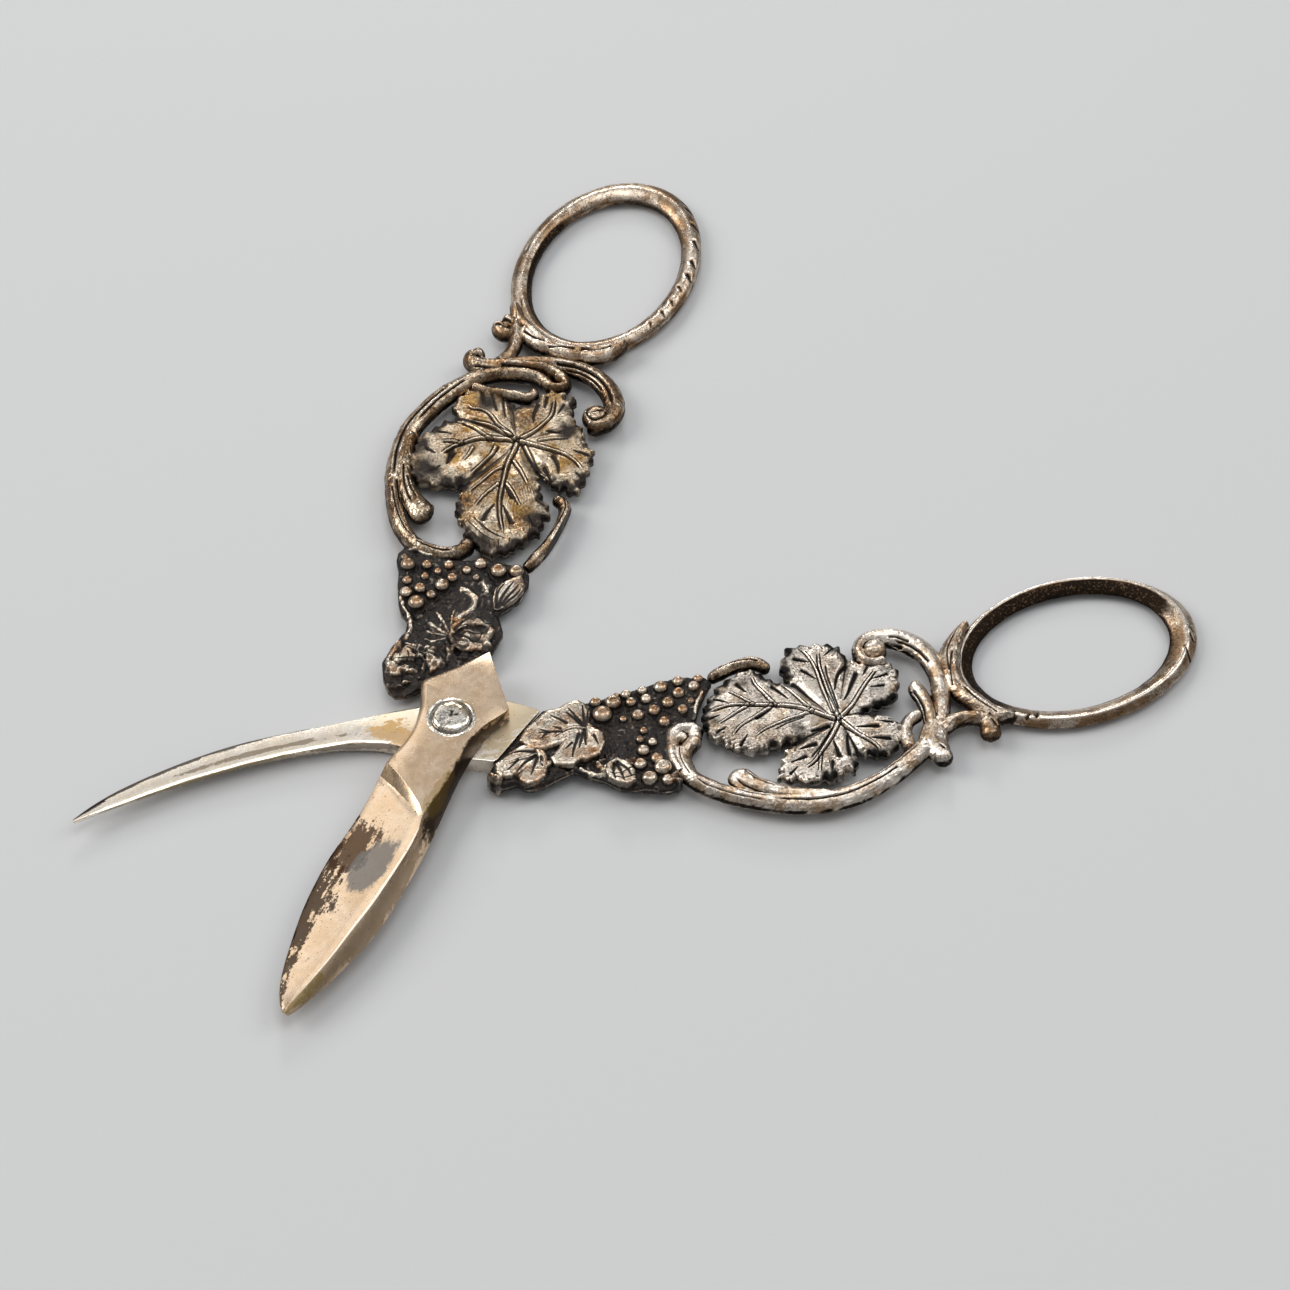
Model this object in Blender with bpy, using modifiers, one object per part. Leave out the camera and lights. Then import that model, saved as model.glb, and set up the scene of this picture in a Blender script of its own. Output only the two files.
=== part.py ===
"""Grape shears: two cast and chased vine halves that turn on one rivet. Metres, +Z up.

The origin is on the rivet's axis, at the table. +X runs from the rivet to the blade tips,
midway between the two halves, which stand open as for cutting. Each half is drawn in its
own frame: the rivet at the origin, +X towards its tip, and +Y on the side of its cutting
edge and of its outer scroll. The broad half, whose blade lies on top, is drawn mirrored.
"""

import math
from dataclasses import dataclass

import bmesh
import bpy
from mathutils import Matrix, Vector

MM = 0.001
PERCENT = 0.01

# The length that every drawn outline follows. Outline tables are in percent shares of it.
PATTERN = 100 * MM

# How the halves stand: the angle of each blade and of each handle about the rivet.
HOOKED_BLADE_TURN = math.radians(-24.9)
HOOKED_HANDLE_TURN = math.radians(-31.84)
BROAD_BLADE_TURN = math.radians(24.9)
BROAD_HANDLE_TURN = math.radians(34.67)
# Half the angle between the two handles when the shears are shut.
CLOSING_HALF_ANGLE = math.radians(8.35)

# Blades and their lapped plates.
BLADE_THICKNESS = 2.9 * MM
LAP_GAP = 0.1 * MM
TANG_WIDTH = 5.0 * MM
TANG_LENGTH = 6.5 * MM
TANG_ROOT = 1.6 * MM
TANG_THICKNESS = 0.75 * MM

# Rivet.
SHANK_RADIUS = 1.9 * MM
RUNNING_FIT = 0.08 * MM
HEAD_RADIUS = 3.1 * MM
HEAD_RISE = 0.7 * MM
TAIL_RADIUS = 2.8 * MM
TAIL_DEPTH = 0.7 * MM
HEAD_SEAT = 2 * BLADE_THICKNESS + 2 * LAP_GAP
# The head's profile: radius and rise above its seat, as shares of the head's own.
HEAD_SHARES = ((0.0, 1.0), (0.45, 0.93), (0.8, 0.62), (1.0, 0.12))

# Finger bows.
BOW_HOLE_LENGTH = 30.8 * MM
BOW_HOLE_WIDTH = 21.3 * MM
BOW_WIRE_WIDTH = 2.8 * MM
BOW_WIRE_HEIGHT = 2.6 * MM
BOW_TURN = math.radians(11.0)

# Ornament, worked alike on both faces about its own middle height.
ORNAMENT_MIDDLE = 2.35 * MM
SCROLL_WIDTH = 2.3 * MM
SCROLL_HEIGHT = 2.9 * MM
COLLAR_WIDTH = 1.8 * MM
COLLAR_HEIGHT = 3.3 * MM
LEAF_EDGE_THICKNESS = 1.5 * MM
LEAF_LOBE_THICKNESS = 2.7 * MM
LEAF_HEART_THICKNESS = 2.0 * MM
PANEL_THICKNESS = 2.9 * MM
BERRY_SINK = 0.1 * MM
SMALL_LEAF_HEART = 0.64 * MM
SMALL_LEAF_LOBE = 0.8 * MM
SMALL_LEAF_EDGE = 0.45 * MM
# Where a leaf's lobes stand highest between heart and edge, and how flat a berry is.
LOBE_SHARE = 0.6
BERRY_RISE_SHARE = 0.62

# Clearances: soldered seams, seated pieces, the shut handles, and how far cuts overrun.
SOLDER_GAP = 0.3 * MM
SEAT_GAP = 0.2 * MM
CLOSING_GAP = 0.25 * MM
OVERRUN = 1.0 * MM
TRIM_SIZE = 3 * PATTERN
WELD_SHARE = 1e-6
WELD = PATTERN * WELD_SHARE
# How much further than the gap a skin corner may move, as a share of it.
CORNER_SHARE = 1.8

# Counts.
BOW_POINTS = 36
COLLAR_POINTS = 9
RIVET_STEPS = 32
CURVE_STEPS = 2
TUBE_SIDES_LEVEL = 2
BERRY_SIDES = 8
BERRY_RINGS = 4
BALL_SIDES = 12
BALL_RINGS = 6

# Blade stations from heel to tip: cutting side x, y and top; ridge x, y and top; spine y.
# Places are percent shares of the pattern, heights are shares of the blade's thickness.
BROAD_BLADE_SHARES = (
    (-13.3, 0.2, 1.0, -13.3, -0.2, 1.0, -0.2),
    (-9.0, 3.5, 1.0, -9.0, -3.5, 1.0, -3.4),
    (-4.8, 6.9, 1.0, -4.8, -7.0, 1.0, -6.8),
    (-2.5, 6.0, 1.0, -2.5, -6.0, 1.0, -6.0),
    (0.0, 5.2, 1.0, 0.0, -4.8, 1.0, -5.3),
    (4.0, 4.4, 1.0, 4.0, -4.1, 1.0, -5.0),
    (8.0, 4.8, 1.0, 9.0, -4.2, 1.0, -5.1),
    (10.8, 5.4, 1.0, 15.5, -4.1, 1.0, -5.6),
    (12.3, 5.7, 0.14, 18.5, -4.3, 1.0, -5.9),
    (17.8, 5.5, 0.1, 22.0, -4.5, 1.0, -6.1),
    (23.0, 5.9, 0.1, 26.0, -4.6, 1.0, -6.25),
    (28.2, 6.15, 0.1, 30.5, -4.4, 1.0, -6.25),
    (33.3, 6.0, 0.1, 35.2, -4.0, 0.97, -6.1),
    (38.3, 5.6, 0.1, 40.1, -3.3, 0.9, -5.8),
    (43.3, 4.8, 0.1, 44.8, -2.6, 0.77, -4.8),
    (48.3, 3.8, 0.1, 49.4, -1.6, 0.6, -3.5),
    (53.0, 2.4, 0.1, 53.6, -0.5, 0.4, -1.9),
    (56.2, 0.9, 0.1, 56.3, 0.0, 0.22, -0.7),
)
# Hooked blade: x, cutting edge y, its foot y, spine y, underside height.
HOOKED_BLADE_SHARES = (
    (-13.3, 0.2, 0.2, -0.2, 0.0),
    (-9.0, 3.5, 3.5, -3.5, 0.0),
    (-4.8, 6.9, 6.9, -7.0, 0.0),
    (-2.0, 6.0, 6.0, -5.8, 0.0),
    (1.0, 5.0, 5.0, -5.5, 0.0),
    (4.0, 3.4, 3.4, -5.8, 0.0),
    (7.0, 1.4, 1.4, -5.95, 0.0),
    (10.0, -0.4, -0.6, -6.1, 0.0),
    (15.0, -1.9, -2.2, -6.2, 0.1),
    (20.0, -2.4, -2.9, -6.35, 0.2),
    (25.0, -2.5, -3.1, -6.5, 0.25),
    (30.0, -2.4, -3.1, -6.5, 0.3),
    (35.0, -2.1, -2.8, -6.0, 0.35),
    (40.0, -1.6, -2.2, -5.2, 0.4),
    (45.0, -0.95, -1.5, -4.1, 0.48),
    (50.0, -0.15, -0.6, -2.7, 0.56),
    (54.0, 0.5, 0.2, -0.9, 0.64),
    (56.6, 1.0, 0.85, 0.6, 0.7),
)
# The heel corner and the shoulder corner of both plates: the line where the handle starts.
HEEL_SHARE = (-13.3, 0.0)
SHOULDER_SHARE = (-4.8, 6.9)

# Scroll paths: x, y, and half width as a share of the scroll's own half width.
OUTER_SCROLL_SHARES = (
    (-67.2, 13.9, 0.9),
    (-65.4, 15.5, 1.0),
    (-63.2, 17.1, 1.0),
    (-59.8, 19.3, 1.0),
    (-54.8, 21.0, 1.0),
    (-49.8, 21.4, 1.0),
    (-44.8, 20.8, 1.0),
    (-40.3, 19.3, 1.0),
    (-36.3, 17.2, 1.0),
    (-33.6, 15.1, 1.0),
    (-32.1, 12.6, 0.95),
    (-31.5, 9.8, 0.85),
    (-31.6, 7.2, 0.8),
    (-33.2, 5.6, 0.8),
    (-35.2, 6.2, 0.75),
)
OUTER_VOLUTE_SHARE = (-33.4, 7.3, 1.0)
INNER_SCROLL_SHARES = (
    (-48.0, 20.2, 0.7),
    (-45.6, 19.3, 0.9),
    (-42.8, 18.1, 1.0),
    (-40.7, 16.5, 1.15),
    (-39.3, 14.8, 1.25),
)
CLUB_SHARE = (-38.9, 14.1, 1.38)
BOW_SCROLL_SHARES = (
    (-71.3, 9.2, 0.65),
    (-71.3, 6.1, 0.75),
    (-71.4, 2.1, 0.85),
    (-71.2, -0.9, 0.9),
    (-70.0, -4.1, 0.95),
    (-67.6, -6.5, 0.95),
    (-64.8, -7.4, 0.85),
    (-62.2, -6.8, 0.75),
    (-60.9, -5.1, 0.65),
    (-61.5, -3.3, 0.55),
)
BOW_VOLUTE_SHARE = (-63.1, -5.2, 1.5)
STRUT_SHARES = (
    (-70.0, 15.0, 1.1),
    (-69.4, 13.2, 1.15),
    (-69.0, 11.2, 1.2),
    (-68.7, 8.3, 0.95),
    (-68.8, 5.2, 0.8),
    (-68.4, 3.0, 0.75),
    (-67.9, 1.6, 0.65),
)
STRUT_KNOB_SHARE = (-70.4, 15.7, 1.25)
TENDRIL_SHARES = (
    (-65.7, 14.6, 0.5),
    (-66.4, 12.6, 0.52),
    (-66.5, 10.6, 0.52),
    (-66.8, 9.0, 0.52),
    (-67.8, 7.8, 0.5),
)
COLLAR_BAR_SHARES = (
    (-75.4, 10.7, 0.95),
    (-73.2, 10.5, 0.9),
    (-70.4, 11.1, 0.9),
)
# Half width of the bar where it leaves the collar, and of the knob, as shares of the collar's.
COLLAR_ROOT_SHARE = 1.0
COLLAR_KNOB_SHARE = 1.9
# The stretch of the bow that the collar clasps, and where its bar and knob stand on it.
COLLAR_SPAN = (math.radians(-42.0), math.radians(56.0))
COLLAR_BAR_ANGLE = math.radians(32.0)
# How far the knob's centre stands out of the collar, as a share of its radius.
COLLAR_KNOB_STAND = 0.7
COLLAR_TAPER_SHARES = (0.45, 0.75, 0.95, 1.0, 1.0, 1.0, 0.95, 0.85, 0.7)


@dataclass(frozen=True)
class Half:
    """One half of the shears: its name, how it stands and the outlines that only it has."""

    name: str
    side: int
    blade_turn: float
    handle_turn: float
    blade_base: float
    tang_base: float
    bow_share: tuple
    heart_share: tuple
    leaf_shares: tuple
    panel_shares: tuple
    berry_shares: tuple
    stem_shares: tuple
    small_leaf_shares: tuple
    colour: tuple


HOOKED = Half(
    name="hooked",
    side=1,
    blade_turn=HOOKED_BLADE_TURN,
    handle_turn=HOOKED_HANDLE_TURN,
    blade_base=0.0,
    tang_base=ORNAMENT_MIDDLE - TANG_THICKNESS,
    bow_share=(-75.8, 2.3),
    heart_share=(-56.1, 7.1),
    leaf_shares=(
        (-60.3, 7.1), (-63.0, 7.6), (-64.6, 9.3), (-64.5, 12.2), (-63.0, 14.0), (-61.4, 15.1),
        (-59.4, 14.5), (-57.7, 13.5), (-57.1, 16.6), (-55.2, 17.1), (-53.0, 18.1), (-50.8, 17.9),
        (-48.2, 17.6), (-45.4, 16.4), (-46.3, 13.8), (-47.4, 11.3), (-49.5, 10.2), (-46.0, 10.7),
        (-43.6, 11.2), (-41.0, 10.9), (-38.8, 9.4), (-36.8, 7.2), (-36.2, 4.8), (-37.0, 1.6),
        (-38.8, -0.6), (-41.4, -2.6), (-44.2, -3.9), (-45.8, -3.1), (-48.0, -1.4), (-50.4, 0.1),
        (-49.1, -2.0), (-49.4, -4.5), (-50.7, -6.8), (-53.0, -7.1), (-55.4, -7.1), (-57.6, -6.8),
        (-59.2, -4.4), (-60.6, -2.8), (-63.4, -1.9), (-65.6, -1.8), (-66.1, 0.5), (-65.4, 3.8),
        (-63.2, 5.6), (-60.9, 6.4),
    ),
    panel_shares=(
        (-4.2, 8.8), (-4.4, 10.2), (-6.0, 11.0), (-8.0, 10.6), (-9.0, 11.8), (-11.0, 11.8),
        (-14.0, 10.6), (-16.7, 9.6), (-18.0, 10.8), (-21.0, 12.5), (-24.0, 14.5), (-27.0, 14.6),
        (-29.0, 15.6), (-31.2, 14.8), (-31.4, 12.0), (-30.6, 9.0), (-31.0, 6.0), (-34.8, 4.2),
        (-36.0, 2.5), (-37.0, 0.5), (-38.6, -1.8), (-38.2, -3.3), (-36.5, -3.8), (-34.0, -3.8),
        (-30.0, -3.4), (-25.0, -2.3), (-22.0, -1.8), (-19.3, -2.2), (-17.5, -1.6), (-13.5, -1.1),
    ),
    berry_shares=(
        (-29.5, 14.2, 1.0), (-26.9, 14.0, 1.2), (-29.0, 12.4, 1.3), (-26.0, 11.3, 1.0),
        (-28.4, 10.6, 0.9), (-26.8, 8.9, 0.9), (-28.3, 7.6, 0.65), (-26.6, 6.8, 0.6),
        (-27.5, 5.4, 0.6), (-30.6, 4.4, 0.85), (-33.6, 2.4, 0.8), (-31.8, 0.8, 0.9),
        (-29.5, 2.1, 0.9), (-27.0, 2.4, 0.9), (-24.8, 2.8, 0.6), (-22.0, 1.7, 1.4),
        (-33.5, -0.6, 0.9), (-36.1, -1.6, 0.9), (-33.7, -2.9, 0.9), (-31.1, -2.2, 1.0),
        (-28.7, -0.4, 0.8), (-26.4, -0.3, 0.75), (-23.9, -0.4, 1.2),
    ),
    stem_shares=(
        (-46.5, -3.9, 0.5), (-46.2, -4.9, 0.55), (-44.6, -5.3, 0.6), (-42.0, -5.0, 0.6),
        (-39.8, -4.2, 0.55), (-37.9, -3.0, 0.5),
    ),
    small_leaf_shares=(
        ("small_leaf_1", (-18.8, 4.2), (
            (-20.6, 5.4), (-21.6, 7.4), (-20.8, 9.4), (-18.7, 9.8), (-16.9, 9.2), (-14.6, 9.4),
            (-13.6, 8.4), (-13.0, 7.0), (-11.6, 6.0), (-10.8, 4.8), (-11.6, 3.0), (-12.9, 0.7),
            (-14.2, -0.6), (-16.0, -0.3), (-17.4, -1.2), (-19.2, -1.6), (-20.0, 0.4), (-20.4, 2.4),
        )),
        ("small_leaf_2", (-9.8, 8.4), (
            (-12.4, 8.8), (-12.0, 10.4), (-10.2, 11.4), (-8.2, 10.4), (-6.4, 10.7), (-4.8, 9.9),
            (-5.0, 8.4), (-6.2, 7.4), (-7.6, 6.2), (-9.8, 5.0), (-11.0, 6.6),
        )),
        ("edge_leaf", (-23.0, 10.8), (
            (-24.6, 11.4), (-24.8, 13.6), (-23.0, 13.6), (-21.2, 12.2), (-19.4, 11.3), (-19.6, 10.4),
            (-21.4, 9.4), (-23.6, 9.6),
        )),
    ),
    colour=(0.60, 0.52, 0.42),
)

BROAD = Half(
    name="broad",
    side=-1,
    blade_turn=BROAD_BLADE_TURN,
    handle_turn=BROAD_HANDLE_TURN,
    blade_base=BLADE_THICKNESS + LAP_GAP,
    tang_base=BLADE_THICKNESS + LAP_GAP,
    bow_share=(-76.9, 3.7),
    heart_share=(-55.9, 4.8),
    leaf_shares=(
        (-62.4, 6.3), (-64.6, 8.6), (-65.0, 11.5), (-64.1, 14.3), (-61.4, 15.6), (-59.0, 15.7),
        (-57.9, 14.6), (-56.6, 16.6), (-55.2, 17.3), (-53.9, 18.4), (-51.5, 19.0), (-48.4, 19.0),
        (-45.2, 18.1), (-44.3, 16.0), (-44.3, 13.5), (-44.6, 11.5), (-45.6, 10.5), (-42.2, 10.4),
        (-40.2, 10.1), (-38.0, 8.6), (-35.6, 7.2), (-34.4, 5.0), (-33.4, 3.0), (-34.0, 0.6),
        (-36.4, -0.9), (-38.8, -2.4), (-40.6, -3.1), (-42.8, -3.6), (-45.2, -2.2), (-48.2, -0.8),
        (-50.9, 0.3), (-49.0, -2.0), (-47.8, -4.0), (-47.7, -6.0), (-49.3, -6.8), (-52.0, -7.1),
        (-54.6, -7.1), (-56.8, -6.8), (-58.3, -5.3), (-60.8, -3.4), (-63.5, -2.2), (-66.3, -1.6),
        (-66.8, 0.4), (-66.2, 2.6), (-64.0, 4.4),
    ),
    panel_shares=(
        (-4.6, 8.4), (-4.2, 9.6), (-5.3, 10.8), (-7.0, 11.8), (-9.7, 12.8), (-13.5, 12.1),
        (-16.5, 11.1), (-18.5, 11.4), (-19.6, 12.6), (-21.7, 13.6), (-24.5, 14.5), (-27.5, 15.1),
        (-30.0, 16.0), (-31.8, 15.2), (-30.8, 12.0), (-30.6, 8.6), (-31.6, 6.0), (-31.4, 4.0),
        (-31.6, 1.2), (-31.6, -2.6), (-28.0, -3.2), (-25.0, -2.4), (-22.8, -1.2), (-21.5, -1.7),
        (-19.7, -2.4), (-17.8, -2.2), (-14.6, -1.8),
    ),
    berry_shares=(
        (-29.4, 14.6, 0.9), (-27.5, 13.8, 0.9), (-25.1, 13.3, 0.75), (-22.7, 12.8, 0.95),
        (-28.4, 11.4, 0.75), (-26.2, 11.0, 0.65), (-23.8, 11.1, 0.8), (-21.0, 10.9, 1.1),
        (-27.5, 9.5, 0.55), (-23.1, 9.2, 0.75), (-29.2, 8.1, 0.8), (-25.2, 8.1, 1.0),
        (-27.0, 7.0, 0.8), (-28.8, 5.3, 0.75), (-30.2, 3.6, 0.9), (-27.9, 3.6, 0.65),
        (-29.5, 1.0, 1.15), (-30.1, -1.2, 1.05),
    ),
    stem_shares=(
        (-46.5, -3.9, 0.5), (-46.2, -4.9, 0.55), (-44.6, -5.3, 0.6), (-41.0, -5.0, 0.6),
        (-37.4, -4.2, 0.6), (-34.4, -3.2, 0.55), (-31.0, -2.0, 0.5),
    ),
    small_leaf_shares=(
        ("small_leaf_1", (-19.4, 2.4), (
            (-21.8, 3.4), (-23.6, 5.2), (-22.4, 6.0), (-20.4, 5.2), (-17.4, 5.0), (-15.2, 3.0),
            (-14.4, 0.8), (-14.9, -0.9), (-16.6, -0.8), (-18.6, -1.7), (-20.4, -1.2), (-21.4, 0.4),
            (-23.4, 1.0),
        )),
        ("small_leaf_2", (-11.4, 7.6), (
            (-14.2, 7.0), (-14.8, 9.4), (-13.4, 11.2), (-9.8, 12.0), (-7.2, 11.0), (-5.4, 9.6),
            (-6.4, 7.6), (-8.6, 5.6), (-10.6, 4.0), (-13.0, 4.6),
        )),
        ("edge_leaf", (-24.2, -0.2), (
            (-24.4, 1.4), (-26.8, 1.6), (-28.0, 0.2), (-28.4, -2.6), (-26.6, -2.6), (-24.4, -1.9),
            (-22.8, -0.9), (-22.6, 0.6),
        )),
    ),
    colour=(0.55, 0.46, 0.36),
)

RIVET_COLOUR = (0.83, 0.82, 0.80)
BLADE_COLOUR = (0.72, 0.62, 0.50)
METAL_ROUGHNESS = 0.35
SMOOTH_ANGLE = math.radians(40.0)


def clear_scene():
    """Remove what the startup scene holds."""
    for obj in list(bpy.data.objects):
        bpy.data.objects.remove(obj)


def new_collection(name):
    """Return a new collection, linked to the scene."""
    collection = bpy.data.collections.new(name)
    bpy.context.scene.collection.children.link(collection)
    return collection


def metal(name, colour):
    """Return a metal of this colour for one piece."""
    material = bpy.data.materials.new(name)
    material.use_nodes = True
    shader = material.node_tree.nodes["Principled BSDF"]
    shader.inputs["Base Color"].default_value = (*colour, 1.0)
    shader.inputs["Metallic"].default_value = 1.0
    shader.inputs["Roughness"].default_value = METAL_ROUGHNESS
    return material


def spot(half, share):
    """Return the point of a half's frame that a percent share of the pattern names."""
    unit = PATTERN * PERCENT
    return Vector((share[0] * unit, half.side * share[1] * unit, 0.0))


def blade_to_handle(half):
    """Return the turn from a half's blade frame to its handle frame."""
    return Matrix.Rotation(half.blade_turn - half.handle_turn, 3, "Z")


def link_mesh(name, mesh):
    """Put a mesh in the parts collection under this name."""
    obj = bpy.data.objects.new(name, mesh)
    PARTS.objects.link(obj)
    return obj


def mesh_from_bmesh(name, work):
    """Close a bmesh into a new mesh whose faces point outwards."""
    bmesh.ops.recalc_face_normals(work, faces=work.faces)
    mesh = bpy.data.meshes.new(name)
    work.to_mesh(mesh)
    work.free()
    return mesh


def settled(obj):
    """Return the object's evaluated mesh, with its modifiers done and loose caps welded."""
    bpy.context.view_layer.update()
    graph = bpy.context.evaluated_depsgraph_get()
    mesh = bpy.data.meshes.new_from_object(obj.evaluated_get(graph))
    work = bmesh.new()
    work.from_mesh(mesh)
    bmesh.ops.remove_doubles(work, verts=work.verts, dist=WELD)
    bmesh.ops.dissolve_degenerate(work, edges=work.edges, dist=WELD)
    bmesh.ops.triangulate(work, faces=work.faces)
    work.to_mesh(mesh)
    work.free()
    return mesh


def flattened(centre, height_share, middle):
    """Return the placing of a shape at a point, with its height changed by a share."""
    place = Matrix.Translation((centre.x, centre.y, middle))
    return place @ Matrix.Diagonal((1.0, 1.0, height_share, 1.0))


def prism(name, points, base, thickness):
    """Return a flat outline, filled and given its thickness from the base upwards."""
    curve = bpy.data.curves.new(name, "CURVE")
    curve.dimensions = "2D"
    curve.fill_mode = "BOTH"
    curve.extrude = thickness / 2
    spline = curve.splines.new("POLY")
    spline.points.add(len(points) - 1)
    for target, point in zip(spline.points, points):
        target.co = (point.x, point.y, 0.0, 1.0)
    spline.use_cyclic_u = True
    drawn = bpy.data.objects.new(name, curve)
    PARTS.objects.link(drawn)
    mesh = settled(drawn)
    bpy.data.objects.remove(drawn)
    mesh.transform(Matrix.Translation((0.0, 0.0, base + thickness / 2)))
    return link_mesh(name, mesh)


def tube(name, points, radii, height_share, middle, closed=False):
    """Return a swept bar: round in section, then stretched in height about its middle."""
    curve = bpy.data.curves.new(name, "CURVE")
    curve.dimensions = "3D"
    curve.bevel_depth = 1.0
    curve.bevel_resolution = TUBE_SIDES_LEVEL
    curve.use_fill_caps = not closed
    curve.resolution_u = 1 if closed else CURVE_STEPS
    spline = curve.splines.new("BEZIER")
    spline.bezier_points.add(len(points) - 1)
    for target, point, radius in zip(spline.bezier_points, points, radii):
        target.co = point
        target.radius = radius
        target.handle_left_type = target.handle_right_type = "AUTO"
    spline.use_cyclic_u = closed
    drawn = bpy.data.objects.new(name, curve)
    PARTS.objects.link(drawn)
    mesh = settled(drawn)
    bpy.data.objects.remove(drawn)
    mesh.transform(flattened(Vector(), height_share, middle))
    return link_mesh(name, mesh)


def scroll(name, half, shares, width, height, middle):
    """Return a scroll bar along shares of x, y and half width."""
    points = [spot(half, share) for share in shares]
    radii = [share[2] * width / 2 for share in shares]
    return tube(name, points, radii, height / width, middle)


def ball(name, centre, radius, height_share, middle, sides=BALL_SIDES, rings=BALL_RINGS):
    """Return a flattened ball, for a knob, a club end, a volute's eye or a berry."""
    work = bmesh.new()
    place = flattened(centre, height_share, middle)
    bmesh.ops.create_uvsphere(
        work, u_segments=sides, v_segments=rings, radius=radius, matrix=place
    )
    return link_mesh(name, mesh_from_bmesh(name, work))


def boolean(target, other, operation):
    """Apply one Boolean of another object to the target."""
    modifier = target.modifiers.new(operation.lower(), "BOOLEAN")
    modifier.operation = operation
    modifier.object = other
    modifier.use_self = True
    mesh = settled(target)
    target.modifiers.remove(modifier)
    old = target.data
    target.data = mesh
    bpy.data.meshes.remove(old)


def fuse(target, *others):
    """Join other closed shapes into the target, as one casting."""
    for other in others:
        boolean(target, other, "UNION")
        bpy.data.objects.remove(other)


def grown(obj, gap):
    """Return a cutter: the object's shape with its skin moved outwards by the gap."""
    work = bmesh.new()
    work.from_mesh(obj.data)
    work.normal_update()
    moves = [vert.normal * gap * min(vert.calc_shell_factor(), CORNER_SHARE) for vert in work.verts]
    for vert, move in zip(work.verts, moves):
        vert.co += move
    return link_mesh("clearance", mesh_from_bmesh("clearance", work))


def relieve(target, gap, *neighbours):
    """Cut the target back so that each neighbour has its solder gap."""
    for neighbour in neighbours:
        cutter = grown(neighbour, gap)
        boolean(target, cutter, "DIFFERENCE")
        bpy.data.objects.remove(cutter)


def trim(target, point, outward):
    """Cut the target flat where it would pass an upright plane."""
    work = bmesh.new()
    bmesh.ops.create_cube(work, size=TRIM_SIZE)
    turn = Vector((1.0, 0.0, 0.0)).rotation_difference(outward).to_matrix().to_4x4()
    work.transform(Matrix.Translation(point + outward * TRIM_SIZE / 2) @ turn)
    block = link_mesh("trim_block", mesh_from_bmesh("trim_block", work))
    boolean(target, block, "DIFFERENCE")
    bpy.data.objects.remove(block)


def trim_to_closing(half, *targets):
    """Keep pieces on their own side of the line where the shut handles meet."""
    outward = Vector((math.sin(CLOSING_HALF_ANGLE), -math.cos(CLOSING_HALF_ANGLE) * half.side, 0.0))
    for target in targets:
        trim(target, -outward * CLOSING_GAP, outward)


def shoulder_line(half, gap):
    """Return the handle's end line in its own frame: a point, and the way to the blade."""
    turn = blade_to_handle(half)
    heel = turn @ spot(half, HEEL_SHARE)
    corner = turn @ spot(half, SHOULDER_SHARE)
    along = (corner - heel).normalized()
    inward = Vector((along.y, -along.x, 0.0)) * half.side
    return heel - inward * gap, inward


def loft(name, rings):
    """Return a closed skin over rings of equally many points."""
    work = bmesh.new()
    rows = [[work.verts.new(point) for point in ring] for ring in rings]
    count = len(rows[0])
    for near, far in zip(rows, rows[1:]):
        for i in range(count):
            j = (i + 1) % count
            work.faces.new((near[i], near[j], far[j], far[i]))
    work.faces.new(rows[0])
    work.faces.new(rows[-1])
    bmesh.ops.triangulate(work, faces=work.faces)
    return link_mesh(name, mesh_from_bmesh(name, work))


def broad_blade_rings(half):
    """Return the stations of the broad blade, ground from its ridge down to its edge."""
    rings = []
    for x_cut, y_cut, cut_top, x_ridge, y_ridge, ridge_top, y_spine in BROAD_BLADE_SHARES:
        base = Vector((0.0, 0.0, half.blade_base))
        up = Vector((0.0, 0.0, BLADE_THICKNESS))
        rings.append((
            spot(half, (x_cut, y_cut)) + base,
            spot(half, (x_cut, y_cut)) + base + up * cut_top,
            spot(half, (x_ridge, y_ridge)) + base + up * ridge_top,
            spot(half, (x_ridge, y_spine)) + base,
        ))
    return rings


def hooked_blade_rings(half):
    """Return the stations of the hooked blade, flat on top, its underside rising to the tip."""
    rings = []
    for x, y_cut, y_foot, y_spine, foot in HOOKED_BLADE_SHARES:
        top = Vector((0.0, 0.0, half.blade_base + BLADE_THICKNESS))
        low = Vector((0.0, 0.0, half.blade_base + BLADE_THICKNESS * foot))
        rings.append((
            spot(half, (x, y_foot)) + low,
            spot(half, (x, y_cut)) + top,
            spot(half, (x, y_spine)) + top,
            spot(half, (x, y_spine)) + low,
        ))
    return rings


def tang(half):
    """Return the blade's tang, in the blade's frame, as it runs into the handle."""
    heel = spot(half, HEEL_SHARE)
    corner = spot(half, SHOULDER_SHARE)
    along = (corner - heel).normalized()
    outward = Vector((-along.y, along.x, 0.0)) * half.side
    middle = (heel + corner) / 2
    across = along * TANG_WIDTH / 2
    near = middle - outward * TANG_ROOT
    far = middle + outward * TANG_LENGTH
    corners = (near - across, near + across, far + across, far - across)
    return prism(half.name + "_tang", corners, half.tang_base, TANG_THICKNESS)


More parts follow.
